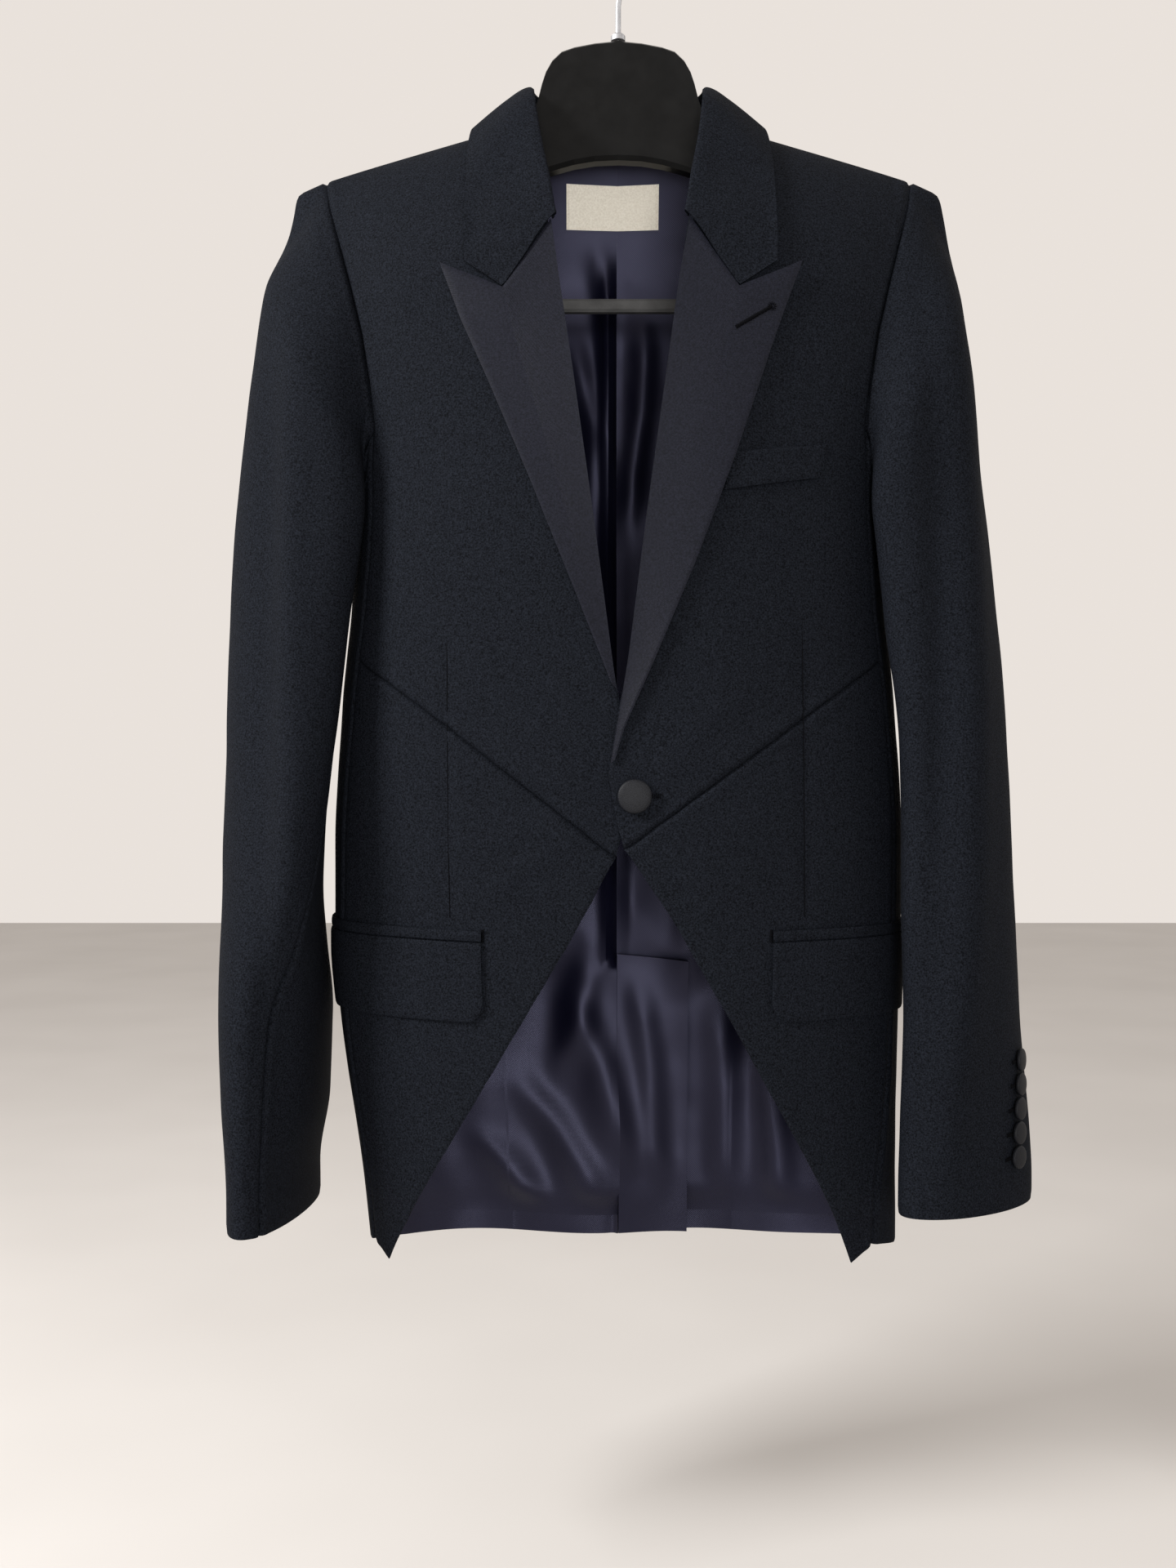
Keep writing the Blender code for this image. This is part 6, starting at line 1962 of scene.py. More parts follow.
@dataclass
class Linings:
    """The back's satin lining, with a pleat at its centre and large soft folds."""

    face: Material
    torso: Torso
    pleat_depth: float = 0.0060
    pleat_width: float = 0.0040
    pleat_place: float = 0.006
    pleat_drop: tuple[float, float] = (0.19, 0.24)
    fold_depth: float = 0.0045
    fold_shares: tuple[float, float, float] = (0.70, 0.40, 0.22)
    swing_drop: tuple[float, float] = (0.45, 0.66)
    upper_drop: tuple[float, float] = (0.20, 0.36)
    edge_reach: float = 0.020
    seam_reach: float = 0.012
    lap_reach: float = 0.05
    lap_calm: float = 0.8

    def inward_rise(self, side: int, outer: Array) -> Array:
        """Tell how far the lining stands into the garment.

        Args:
            side: 1 for the wearer's left, -1 for the right.
            outer: The back's points.

        Returns:
            The distance at each point, none at the edges.
        """
        x, z = outer[..., 0], outer[..., 2]
        inside = smoothstep(0.0, self.edge_reach, edge_distance(outer, "top end bottom"))
        centre = edge_distance(outer, "start")
        # Long folds, slanted ones and fine creases, in radians per metre
        swing = swell(62 * x + 4.0 * np.sin(6.5 * z + 0.8 * side) + 1.1 * side)
        swing = swing ** 2 * smoothstep(*self.swing_drop, -z)
        low = swell(38 * x - 26 * z + 2.0 * side)
        crease = swell(95 * x + 47 * z + 3.0 * np.sin(21 * z) + side)
        upper = smoothstep(*self.upper_drop, -z)
        seam = smoothstep(0.0, self.seam_reach, centre)
        below_vent = smoothstep(0.0, self.seam_reach, VENT_TOP_Z - z) if side < 0 else 0.0 * z
        seam = seam * (1 - below_vent) + below_vent
        long, slanted, fine = self.fold_shares
        folds = long * swing + slanted * low * upper + fine * crease ** 3 * upper
        folds = self.fold_depth * folds
        pleat = bell(centre - self.pleat_place, self.pleat_width) if side < 0 else 0.0
        below_neck = smoothstep(*self.pleat_drop, -z)
        pleat = pleat * below_neck * (1 - below_vent)
        lap = UNDERLAP_PROUD * below_vent * (1 - smoothstep(0.0, self.lap_reach, centre))
        folds = folds * (1 - self.lap_calm * lap / UNDERLAP_PROUD)
        return inside * (folds * seam + self.pleat_depth * pleat + lap + crease_rise(x, z))

    def build(self) -> None:
        """Make both halves."""
        for side, name in SIDES.items():
            outer, inward = self.torso.lay(side, self.torso.back_pattern(side))
            fine = self.torso.fine
            outer = outer - form_rise(side, outer)[..., None] * inward
            keep = outer.shape[0] - 1 - int((1 - LINING_HEM_SHARE) * fine)
            outer, inward = outer[: keep + 1], inward[: keep + 1]
            neck = slice(0, NECK_COLUMNS * fine + 1)
            for row in range(fine):
                share = LINING_NECK_DROP * (1 - row / fine)
                outer[row, neck] += share * (outer[fine, neck] - outer[0, neck])
            inward[:, -1] = inward[:, -2]
            inward = unit(inward)
            depth = LINING_DEPTH + self.inward_rise(side, outer)
            hidden = draw_in(outer + LINING_DEPTH * inward, "start end", SEAM_INSET)
            shown = outer + (depth + LINING_CLOTH)[..., None] * inward
            shown = draw_in(shown, "start end", SEAM_INSET)
            cut, behind = Cut.of_grid(shown), ("back_" + name,)
            faces = (shown, hidden)
            make_cloth("lining_" + name, faces, (self.face,), cut)


@dataclass
class BackInside:
    """What lies inside the back: the vent's underlap and the plain woven label."""

    satin: Material
    cream: Material
    fine: int = 30
    hem_margin: float = 0.002
    slant: float = 0.004
    slant_fade: float = 0.05
    sink: float = 0.0020
    curl: float = 0.0030
    sway: float = 0.0020

    def build(self) -> None:
        """Make the underlap and the label."""
        across, down = even(self.fine), even(4 * self.fine)
        x = UNDERLAP_START_X + UNDERLAP_WIDTH * across
        z = VENT_TOP_Z + (BACK_HEM_Z + self.hem_margin - VENT_TOP_Z) * down
        outer, inner = back_sheet(x, z, UNDERLAP_DEPTH), back_sheet(x, z, UNDERLAP_DEPTH + CLOTH)
        wide = across[None, :]
        slant = self.slant * wide * np.exp(-down[:, None] / self.slant_fade)
        # One and a half gentle bends from the vent's top to the hem
        swing = swell(9.0 * down[:, None] + 1.0)
        proud = UNDERLAP_PROUD - self.sink + self.curl * wide ** 2 + self.sway * swing * wide
        proud = proud + crease_rise(outer[..., 0], outer[..., 2])
        for grid in (outer, inner):
            grid[..., 2] -= slant
            grid[..., 1] -= proud
        cut, behind = Cut.of_grid(outer), ("back_left",)
        make_cloth("vent_underlap", (inner, outer), (self.satin,), cut)
        edges = LABEL_CENTRE_X + LABEL_HALF_WIDTH * np.array([-1.0, 1.0])
        x = edges[0] + (edges[1] - edges[0]) * even(2 * self.fine)
        z = LABEL_TOP_Z + (LABEL_BOTTOM_Z - LABEL_TOP_Z) * across
        outer, inner = back_sheet(x, z, LABEL_DEPTH), back_sheet(x, z, LABEL_DEPTH + LABEL_CLOTH)
        cut = Cut.of_grid(outer)
        make_cloth("label", (inner, outer), (self.cream,), cut)


@dataclass
class Pockets:
    """Both hip pockets and the breast pocket's welt."""

    face: Material
    columns: int = 84
    rows: int = 30
    welt_columns: int = 60
    welt_rows: int = 24
    edge_width: float = 0.0011

    def strip(self, side: int, tops: Array, bottoms: Array, rows: int) -> Array:
        """Grid of turns and heights for a strip of the pocket, between two drops from its line.

        Args:
            side: 1 for the wearer's left, -1 for the right.
            tops: Drops of its top edge.
            bottoms: Drops of its bottom edge.
            rows: Steps to make down.

        Returns:
            The grid.
        """
        place = POCKETS[side]
        start = float(turn_at(side, np.array(place.front_x), np.array(place.front_z), True))
        lengths = np.linspace(0.0, POCKET_LENGTH, self.columns + 1)
        turns = turn_after(side, start, place.front_z, lengths)
        line_z = place.front_z + (place.back_z - place.front_z) * lengths / POCKET_LENGTH
        down = even(rows)[:, None]
        z = line_z[None] - tops[None] - (bottoms - tops)[None] * down
        return np.stack([np.broadcast_to(turns, z.shape), z], axis=-1)

    def piece(
        self, side: int, name: str, turns: Array, lift: float, cloth: float, fall: float
    ) -> None:
        """Make a piece that lies on the front.

        Args:
            side: 1 for the wearer's left, -1 for the right.
            name: Its node.
            turns: Its points as turns and heights.
            lift: How far its face stands out.
            cloth: Its thickness.
            fall: How far its edges are rounded.
        """
        plain = raised(side, turns, 0.0)
        inward = body_inward(side, turns[..., 0], turns[..., 1])
        base = np.maximum(form_rise(side, plain), 0.0) + lift
        edge = fall * bell(edge_distance(plain, "top bottom start end"), self.edge_width)
        outer = plain - (base - edge)[..., None] * inward
        inner = plain - (base - cloth)[..., None] * inward
        cut = Cut.of_grid(outer)
        if cut.length < SHORTEST_CUT:
            cut = cut.in_two()
        make_cloth(name, (outer, inner), (self.face,), cut)

    def build(self) -> None:
        """Make the jets, the flaps and the welt."""
        lengths = np.linspace(0.0, POCKET_LENGTH, self.columns + 1)
        level = np.zeros(self.columns + 1)
        from_end = np.minimum(lengths, POCKET_LENGTH - lengths)
        short = np.clip(FLAP_CORNER - from_end, 0.0, None)
        rounding = FLAP_CORNER - np.sqrt(FLAP_CORNER ** 2 - short ** 2)
        top = level + JET_HEIGHT + POCKET_GAP
        for side, name in SIDES.items():
            jet = self.strip(side, level, level + JET_HEIGHT, JET_ROWS)
            self.piece(side, "jet_" + name, jet, JET_LIFT, JET_CLOTH, JET_EDGE_FALL)
            flap = self.strip(side, top, top + FLAP_HEIGHT - rounding, self.rows)
            self.piece(side, "flap_" + name, flap, FLAP_LIFT, FLAP_CLOTH, EDGE_FALL)
        across, down = even(self.welt_columns), even(self.welt_rows)
        start = along((WELT_TOP[0], WELT_BOTTOM[0]), down)
        end = along((WELT_TOP[1], WELT_BOTTOM[1]), down)
        line = coons(along(WELT_TOP, across), along(WELT_BOTTOM, across), start, end)
        welt = as_turns(1, line, True)
        self.piece(1, "breast_welt", welt, WELT_LIFT + WELT_PROUD, CLOTH, EDGE_FALL)


class Pattern(Enum):
    """What a relief of a finish follows."""

    NOISE = "noise"
    RIBS = "ribs"


class Relief(NamedTuple):
    """One relief: noise by its scale and detail, or ribs by their pitch and turn in degrees."""

    pattern: Pattern
    size: float
    detail: float
    height: float
    strength: float


class Nodes:
    """A small helper that wires one material's nodes."""

    def __init__(self, name: str) -> None:
        """Start a material.

        Args:
            name: Its name.
        """
        self.material = bpy.data.materials.new(name)
        self.material.use_nodes = True
        self.tree = self.material.node_tree
        self.shader = self.tree.nodes["Principled BSDF"]
        self.place = self.tree.nodes.new("ShaderNodeTexCoord").outputs

    def set(self, **values: float | tuple[float, ...]) -> None:
        """Set the shader's constants; a name's underscores stand for spaces."""
        for name, value in values.items():
            self.shader.inputs[name.replace("_", " ")].default_value = value

    def noise(self, scale: float, detail: float) -> Socket:
        """Add a noise over the object.

        Args:
            scale: How fine it is.
            detail: How many finer noises it carries.

        Returns:
            Its value.
        """
        node = self.tree.nodes.new("ShaderNodeTexNoise")
        node.inputs["Scale"].default_value = scale
        node.inputs["Detail"].default_value = detail
        self.tree.links.new(self.place["Object"], node.inputs["Vector"])
        return node.outputs["Fac"]

    def ribs(self, pitch: float, turn: float) -> Socket:
        """Add even ribs along the cloth, whose UV is in metres of its own run.

        Args:
            pitch: The distance from rib to rib in metres.
            turn: The ribs' angle in degrees.

        Returns:
            The ribs' height.
        """
        mapping = self.tree.nodes.new("ShaderNodeMapping")
        mapping.inputs["Rotation"].default_value = (0.0, 0.0, math.radians(turn))
        node = self.tree.nodes.new("ShaderNodeTexWave")
        node.inputs["Scale"].default_value = WAVE_SCALE / pitch
        self.tree.links.new(self.place["UV"], mapping.inputs["Vector"])
        self.tree.links.new(mapping.outputs["Vector"], node.inputs["Vector"])
        return node.outputs["Fac"]

    def ramp(self, source: Socket, low: Tone, high: Tone) -> None:
        """Colour the surface between two tones by a value.

        Args:
            source: The value.
            low: The tone below RAMP_START.
            high: The tone above RAMP_END.
        """
        node = self.tree.nodes.new("ShaderNodeValToRGB")
        for element, place, tone in zip(
            node.color_ramp.elements, (RAMP_START, RAMP_END), (low, high)
        ):
            element.position = place
            element.color = (*tone, 1.0)
        self.tree.links.new(source, node.inputs["Fac"])
        self.tree.links.new(node.outputs["Color"], self.shader.inputs["Base Color"])

    def bump(self, height: Socket, distance: float, strength: float) -> None:
        """Raise the surface by a height, over any bump that it has already.

        Args:
            height: The height's value.
            distance: The height in metres at 1.
            strength: How much of it shows.
        """
        node = self.tree.nodes.new("ShaderNodeBump")
        node.inputs["Distance"].default_value = distance
        node.inputs["Strength"].default_value = strength
        earlier = self.shader.inputs["Normal"].links
        if earlier:
            self.tree.links.new(earlier[0].from_socket, node.inputs["Normal"])
        self.tree.links.new(height, node.inputs["Height"])
        self.tree.links.new(node.outputs["Normal"], self.shader.inputs["Normal"])


@dataclass(frozen=True)
class Finish:
    """A procedural finish: two tones mixed by a grain, a gloss and its reliefs."""

    name: str
    low: Tone
    high: Tone
    grain: tuple[float, float]
    roughness: float
    specular: float = 0.5
    metallic: float = 0.0
    tint: Tone = (1.0, 1.0, 1.0)
    reliefs: tuple[Relief, ...] = ()

    def build(self) -> Material:
        """Make the material.

        Returns:
            The material.
        """
        nodes = Nodes(self.name)
        nodes.set(Roughness=self.roughness, Specular_IOR_Level=self.specular)
        nodes.set(Metallic=self.metallic, Specular_Tint=(*self.tint, 1.0))
        nodes.ramp(nodes.noise(*self.grain), self.low, self.high)
        for relief in self.reliefs:
            source = nodes.noise if relief.pattern is Pattern.NOISE else nodes.ribs
            nodes.bump(source(relief.size, relief.detail), relief.height, relief.strength)
        return nodes.material


# Black wool with a fine dry grain
WOOL_CREPE = Finish(
    "wool_crepe", (0.0008, 0.0010, 0.0017), (0.0082, 0.0098, 0.0140), (1050.0, 2.0), 0.85, 0.05,
    reliefs=(
        Relief(Pattern.NOISE, 1700.0, 2.0, 0.0003, 0.50),
        Relief(Pattern.NOISE, 24.0, 2.0, 0.0010, 0.25),
    ),
)
# The lapels' facing: dull silk with fine cross ribs
RIBBED_SILK = Finish(
    "grosgrain", (0.0022, 0.0026, 0.0052), (0.0070, 0.0076, 0.0134), (900.0, 2.0), 0.58, 0.10,
    reliefs=(
        Relief(Pattern.RIBS, 0.0012, 62.0, 0.0003, 0.30),
        Relief(Pattern.NOISE, 14.0, 2.0, 0.0010, 0.30),
    ),
)
# The lining: a glossy blue-black twill
SATIN_TWILL = Finish(
    "satin_twill", (0.0012, 0.0012, 0.0048), (0.0026, 0.0026, 0.0080), (9.0, 3.0), 0.40, 0.34,
    tint=(0.66, 0.66, 1.0),
    reliefs=(
        Relief(Pattern.RIBS, 0.0009, 45.0, 0.0002, 0.30),
        Relief(Pattern.NOISE, 13.0, 2.0, 0.0100, 0.40),
    ),
)
# Cream label weave, left plain
WOVEN_LABEL = Finish(
    "label_weave", (0.74, 0.68, 0.57), (0.90, 0.85, 0.74), (900.0, 3.0), 0.62, 0.35,
    reliefs=(Relief(Pattern.RIBS, 0.0005, 0.0, 0.0002, 0.40),),
)
# The silk that covers the buttons
BUTTON_SILK = Finish(
    "button_silk", (0.0020, 0.0023, 0.0036), (0.0046, 0.0052, 0.0076), (1100.0, 3.0), 0.55, 0.18,
    reliefs=(Relief(Pattern.NOISE, 1700.0, 2.0, 0.0003, 0.60),),
)
# Black silk thread of the stitches and loops; it also colours the dark line along each dart, which
# is painted shade of the dart's seam
THREAD_AND_DART_SHADE = Finish(
    "thread", (0.0006, 0.0006, 0.0010), (0.0022, 0.0022, 0.0030), (2200.0, 2.0), 0.80, 0.04,
    reliefs=(Relief(Pattern.NOISE, 2600.0, 2.0, 0.0002, 0.50),),
)
# The hanger's black plastic, matte on the plate and with a rough grain on the bar
MATTE_PLASTIC = Finish(
    "matte_plastic", (0.0032, 0.0032, 0.0032), (0.0052, 0.0052, 0.0052), (90.0, 4.0), 0.30, 0.12,
    reliefs=(Relief(Pattern.NOISE, 620.0, 3.0, 0.0004, 0.10),),
)
ROUGH_PLASTIC = Finish(
    "rough_plastic", (0.048, 0.048, 0.048), (0.078, 0.078, 0.078), (90.0, 4.0), 0.62, 0.12,
    reliefs=(Relief(Pattern.NOISE, 620.0, 3.0, 0.0004, 0.70),),
)
# The hook's plated steel wire
BRIGHT_STEEL = Finish(
    "bright_steel", (0.34, 0.34, 0.35), (0.40, 0.40, 0.41), (160.0, 3.0), 0.52, metallic=1.0,
)
# The studio's plain pale floor
PALE_FLOOR = Finish("pale_floor", (0.47, 0.45, 0.43), (0.50, 0.48, 0.46), (3.0, 2.0), 0.90)


def stand_on(foot: Array, outward: Array) -> Matrix:
    """Turn +Z to a direction and move it to a foot point.

    Args:
        foot: Where the thing stands.
        outward: Which way it points.

    Returns:
        The placement.
    """
    axis = Vector(outward).normalized()
    right = Vector((0.0, 0.0, 1.0)).cross(axis).normalized()
    up = axis.cross(right)
    turn = Matrix((right, up, axis)).transposed().to_4x4()
    return Matrix.Translation(Vector(foot)) @ turn


def only(thing: Thing) -> None:
    """Select one object and make it the active one.

    Args:
        thing: The object.
    """
    bpy.ops.object.select_all(action="DESELECT")
    thing.select_set(True)
    bpy.context.view_layer.objects.active = thing


@dataclass
class CoveredButtons:
    """The covered front button and the two rows of cuff buttons."""

    silk: Material
    sides: int = 40
    rim_bevel: float = 0.0011
    rim_share: float = 0.38
    rim_segments: int = 4
    dome_share: float = 0.28
    dome: tuple[tuple[float, float], ...] = ((0.24, 0.55), (0.30, 0.30), (0.22, 0.15))
    smooth_angle: float = math.radians(42)
    top_facing: float = 0.9
    rim_reach: float = 0.98

    def model(self, name: str, radius: float, height: float) -> Thing:
        """Model a covered button that stands on the origin and faces +Z.

        Args:
            name: Its name.
            radius: Its radius.
            height: Its height at the crown.

        Returns:
            The button.
        """
        bpy.ops.object.select_all(action="DESELECT")
        rim = height * (1 - self.dome_share)
        bpy.ops.mesh.primitive_cylinder_add(
            vertices=self.sides,
            radius=radius,
            depth=rim,
            location=(0.0, 0.0, rim / 2),
            end_fill_type="NGON",
        )
        thing = bpy.context.active_object
        thing.name = thing.data.name = name
        only(thing)
        bpy.ops.object.transform_apply(location=True, rotation=True, scale=True)
        bpy.ops.object.mode_set(mode="EDIT")
        mesh = bmesh.from_edit_mesh(thing.data)
        for face in mesh.faces:
            face.select_set(face.normal.z > self.top_facing)
        bmesh.update_edit_mesh(thing.data)
        for inset, rise in self.dome:
            bpy.ops.mesh.inset(thickness=inset * radius, depth=0.0)
            bpy.ops.transform.translate(value=(0.0, 0.0, rise * self.dome_share * height))
        bpy.ops.mesh.select_all(action="DESELECT")
        mesh = bmesh.from_edit_mesh(thing.data)
        for edge in mesh.edges:
            at_rim = all(math.hypot(*v.co.xy) > self.rim_reach * radius for v in edge.verts)
            level = abs(edge.verts[0].co.z - edge.verts[1].co.z) < CLOSE
            edge.select_set(at_rim and level)
        bmesh.update_edit_mesh(thing.data)
        offset = min(self.rim_bevel, self.rim_share * rim)
        bpy.ops.mesh.bevel(offset=offset, segments=self.rim_segments, affect="EDGES")
        bpy.ops.object.mode_set(mode="OBJECT")
        only(thing)
        bpy.ops.object.shade_smooth_by_angle(angle=self.smooth_angle)
        return thing

    def placed(self, model: Thing, name: str, place: Matrix) -> None:
        """Copy a modelled button to its place with its own mesh.

        Args:
            model: The button to copy.
            name: The node that it stands for.
            place: Where it goes.
        """
        thing = add_object(name + "_cover", model.data.copy())
        thing.data.transform(place)
        thing.data.materials.clear()
        thing.data.materials.append(self.silk)
        dress(thing, (name,))

    def cuff_line(self, side: int, sleeves: Sleeves) -> tuple[Array, Array]:
        """The sleeve's line under the buttons and the way out from it.

        Args:
            side: 1 for the wearer's left, -1 for the right.
            sleeves: The sleeves.

        Returns:
            Points of the line and their ways out.
        """
        steps = CUFF_BUTTON_SIDE_STEP * np.array([-1.0, 0.0, 1.0]) - CUFF_BUTTON_STEP
        grid = sleeves.surface(side, steps, np.linspace(CUFF_LINE_START, 1.0, CUFF_LINE_ROWS))
        normal = unit(np.cross(np.gradient(grid, axis=0)[:, 1], np.gradient(grid, axis=1)[:, 1]))
        return grid[:, 1], face_out(side, grid[:, 1], normal)

    def build(self, sleeves: Sleeves, threads: "Stitches") -> None:
        """Make every button and the thread loops of the cuffs.

        Args:
            sleeves: The sleeves.
            threads: Where the loops are sewn.
        """
        front = self.model("front_model", FRONT_BUTTON_RADIUS, FRONT_BUTTON_HEIGHT)
        foot = lifted(1, np.array(FRONT_BUTTON), np.array(FRONT_BUTTON_LIFT))
        outward = foot - lifted(1, np.array(FRONT_BUTTON), np.array(0.0))
        self.placed(front, "front_button", stand_on(foot, outward))
        cuff = self.model("cuff_model", CUFF_BUTTON_RADIUS, CUFF_BUTTON_HEIGHT)
        for side, name in SIDES.items():
            line, normal = self.cuff_line(side, sleeves)
            for number in range(CUFF_BUTTON_COUNT):
                z = CUFF_Z[side] + CUFF_BUTTON_FIRST + number * CUFF_BUTTON_PITCH
                foot = np.array([np.interp(-z, -line[:, 2], line[:, axis]) for axis in range(3)])
                way = np.array([np.interp(-z, -line[:, 2], normal[:, axis]) for axis in range(3)])
                placed_at = foot + CUFF_BUTTON_LIFT * way
                self.placed(cuff, f"cuff_button_{name}_{number + 1}", stand_on(placed_at, way))
                threads.cuff_loop(side, foot, way)
        for model in (front, cuff):
            bpy.data.objects.remove(model)


class Stitch(NamedTuple):
    """One kind of stitch: half its length, its thread's radius and its height off the cloth.

    A stitch across its line has its half length in metres, one along it as a share of a spot's
    distance to the next.
    """

    half: float
    radius: float
    lift: float


LAPEL_HOLE = Stitch(0.0011, 0.00027, 0.0002)
FRONT_HOLE = Stitch(0.0014, 0.0003, 0.0002)
CUFF_HOLE = Stitch(0.0011, 0.00028, 0.0003)
TACK = Stitch(0.0009, 0.00026, 0.0004)
WELT_STITCH = Stitch(0.35, 0.00022, 0.0003)
LABEL_STITCH = Stitch(0.35, 0.00022, 0.0001)
# The dart line is a dark tube of painted shade, sunk half a millimetre into the dart's groove
DART_SHADE_LINE = Stitch(0.0, 0.00030, -0.00050)


@dataclass
class Stitches:
    """Sewn thread: buttonholes, tacks, loops and the label's ends, and each dart's dark line of
    painted shade.
    """

    thread: Material
    cream: Material
    sides: int = 6
    proud: float = 0.9
    sunk: float = 0.6
    out_step: float = 0.001
    lapel_hole: tuple[SidePoint, ...] = point_line((0.0672, -0.2838), (0.0885, -0.2702))
    lapel_count: int = 39
    keyhole_radius: float = 0.0018
    keyhole_reach: tuple[float, float] = (0.0006, 0.0008)
    keyhole_count: int = 12
    front_hole: tuple[float, float] = (0.0108, 0.0150)
    front_count: int = 5
    cuff_start: float = 0.0035
    cuff_pitch: float = 0.0010
    cuff_count: int = 10
    tack_past: float = 0.0006
    tack_before: float = 0.0008
    tack_count: int = 12
    dart_end_z: float = -0.632
    dart_spots: int = 90
    welt_inset: float = 0.0012
    welt_share: float = 0.05
    welt_spots: int = 16
    label_margin: float = 0.0015
    label_spots: int = 13
    points: dict[str, list[Array]] = field(default_factory=dict)
    faces: dict[str, list[tuple[int, ...]]] = field(default_factory=dict)

    def tube(self, group: str, path: list[Array], radius: float) -> None:
        """Add a thread along a path.

        Args:
            group: The piece that it becomes part of.
            path: Its points.
            radius: Its radius.
        """
        points = self.points.setdefault(group, [])
        faces = self.faces.setdefault(group, [])
        base = len(points)
        path_points = np.array(path)
        tangents = np.gradient(path_points, axis=0)
        for spot, tangent in zip(path_points, tangents):
            along_path = Vector(tangent).normalized()
            side = along_path.cross(Vector((0.13, 0.31, 0.94))).normalized()
            other = along_path.cross(side)
            for index in range(self.sides):
                angle = math.tau * index / self.sides
                offset = side * math.cos(angle) + other * math.sin(angle)
                points.append(spot + radius * np.array(offset))
        for row in range(len(path_points) - 1):
            low = base + row * self.sides
            for index in range(self.sides):
                after = (index + 1) % self.sides
                high = low + self.sides
                faces.append((low + index, low + after, high + after, high + index))
        last = base + (len(path_points) - 1) * self.sides
        faces.append(tuple(reversed(range(base, base + self.sides))))
        faces.append(tuple(range(last, last + self.sides)))

    def bridge(self, group: str, start: Array, end: Array, out: Array, radius: float) -> None:
        """Add one short stitch that stands a little proud in its middle.

        Args:
            group: The piece that it becomes part of.
            start: One end.
            end: The other end.
            out: The way out from the cloth.
            radius: The thread's radius.
        """
        middle = (start + end) / 2 + self.proud * radius * out
        sunk = self.sunk * radius * out
        self.tube(group, [start - sunk, middle, end - sunk], radius)

    def cuff_loop(self, side: int, foot: Array, way: Array) -> None:
        """Add a cuff buttonhole: close stitches along a line that ends under its button.

        Args:
            side: 1 for the wearer's left, -1 for the right.
            foot: The button's foot on the sleeve.
            way: The way out from it.
        """
        across = unit(np.cross(way, np.array([0.0, 0.0, 1.0])))
        if across[1] > 0:
            across = -across
        group = "cuff_stitches_" + SIDES[side]
        up = np.array([0.0, 0.0, CUFF_HOLE.half])
        for index in range(self.cuff_count):
            away = self.cuff_start + self.cuff_pitch * index
            spot = foot + away * across + CUFF_HOLE.lift * way
            self.bridge(group, spot - up, spot + up, way, CUFF_HOLE.radius)

    def row(self, group: str, spots: Array, outs: Array, kind: Stitch) -> None:
        """Add stitches across a line.

        Args:
            group: The piece that they become part of.
            spots: Points of the line.
            outs: Ways out from the cloth.
            kind: The stitch.
        """
        tangents = np.gradient(spots, axis=0)
        for spot, tangent, out in zip(spots, tangents, outs):
            half = kind.half * unit(np.cross(out, tangent))
            self.bridge(group, spot - half, spot + half, out, kind.radius)

    def lapel_buttonhole(self, lapels: Lapels) -> None:
        """Add the keyhole buttonhole near the left lapel's peak.

        Args:
            lapels: The lapels.
        """
        start, end = (np.array(corner) for corner in self.lapel_hole)
        line = [start + share * (end - start) for share in even(self.lapel_count)]
        lift = LAPEL_HOLE.lift
        spots = np.array([lapels.face_point(1, x, z, lift) for x, z in line])
        higher = np.array([lapels.face_point(1, x, z, lift + self.out_step) for x, z in line])
        outs = unit(higher - spots)
        self.row("lapel_buttonhole", spots, outs, LAPEL_HOLE)
        eye = lapels.face_point(1, *end, lift)
        back, ahead = self.keyhole_reach
        for index in range(self.keyhole_count):
            angle = math.tau * index / self.keyhole_count
            at = end + self.keyhole_radius * np.array([math.cos(angle), math.sin(angle)])
            spot = lapels.face_point(1, *at, lift)
            ray = unit(spot - eye)
            ends = spot - back * ray, spot + ahead * ray
            self.bridge("lapel_buttonhole", *ends, outs[-1], LAPEL_HOLE.radius)

    def on_front(self, side: int, x: Array, z: Array, lift: float) -> tuple[Array, Array]:
        """Points just over a front's cloth and the ways out from it.

        Args:
            side: 1 for the wearer's left, -1 for the right.
            x: Distances from the centre plane.
            z: Heights.
            lift: How far over the cloth.

        Returns:
            The points and the ways.
        """
        line = np.stack([x, z], axis=-1)
        plain = lifted(side, line, np.zeros(len(x)))
        rise = np.maximum(form_rise(side, plain), 0.0)
        spots = lifted(side, line, rise + lift)
        outs = lifted(side, line, rise + lift + self.out_step) - spots
        return spots, unit(outs)

    def sew(self, lapels: Lapels) -> None:
        """Add every stitch that isn't a cuff's, and the dark line of painted shade along each dart.

        Args:
            lapels: The lapels.
        """
        self.lapel_buttonhole(lapels)
        self.front_buttonhole()
        for side, name in SIDES.items():
            self.pocket_tack(side, name)
        for side in SIDES:
            self.dart(side)
        for corner, way in enumerate((1, -1)):
            self.welt_end(corner, way)
        for way in (-1.0, 1.0):
            self.label_end(way)

    def front_buttonhole(self) -> None:
        """Add what shows of the front buttonhole, beside its button."""
        count = self.front_count
        x = FRONT_BUTTON.x + np.linspace(*self.front_hole, count)
        spots, outs = self.on_front(1, x, np.full(count, FRONT_BUTTON.z), FRONT_HOLE.lift)
        self.row("front_buttonhole", spots, outs, FRONT_HOLE)

    def pocket_tack(self, side: int, name: str) -> None:
        """Add the tack at a pocket's front end.

        Args:
            side: 1 for the wearer's left, -1 for the right.
            name: The side's name.
        """
        place = POCKETS[side]
        count = self.tack_count
        z = place.front_z - np.linspace(-self.tack_past, JET_HEIGHT + self.tack_past, count)
        x = np.full(count, place.front_x - self.tack_before)
        spots, outs = self.on_front(side, x, z, TACK.lift)
        self.row("pocket_tack_" + name, spots, outs, TACK)

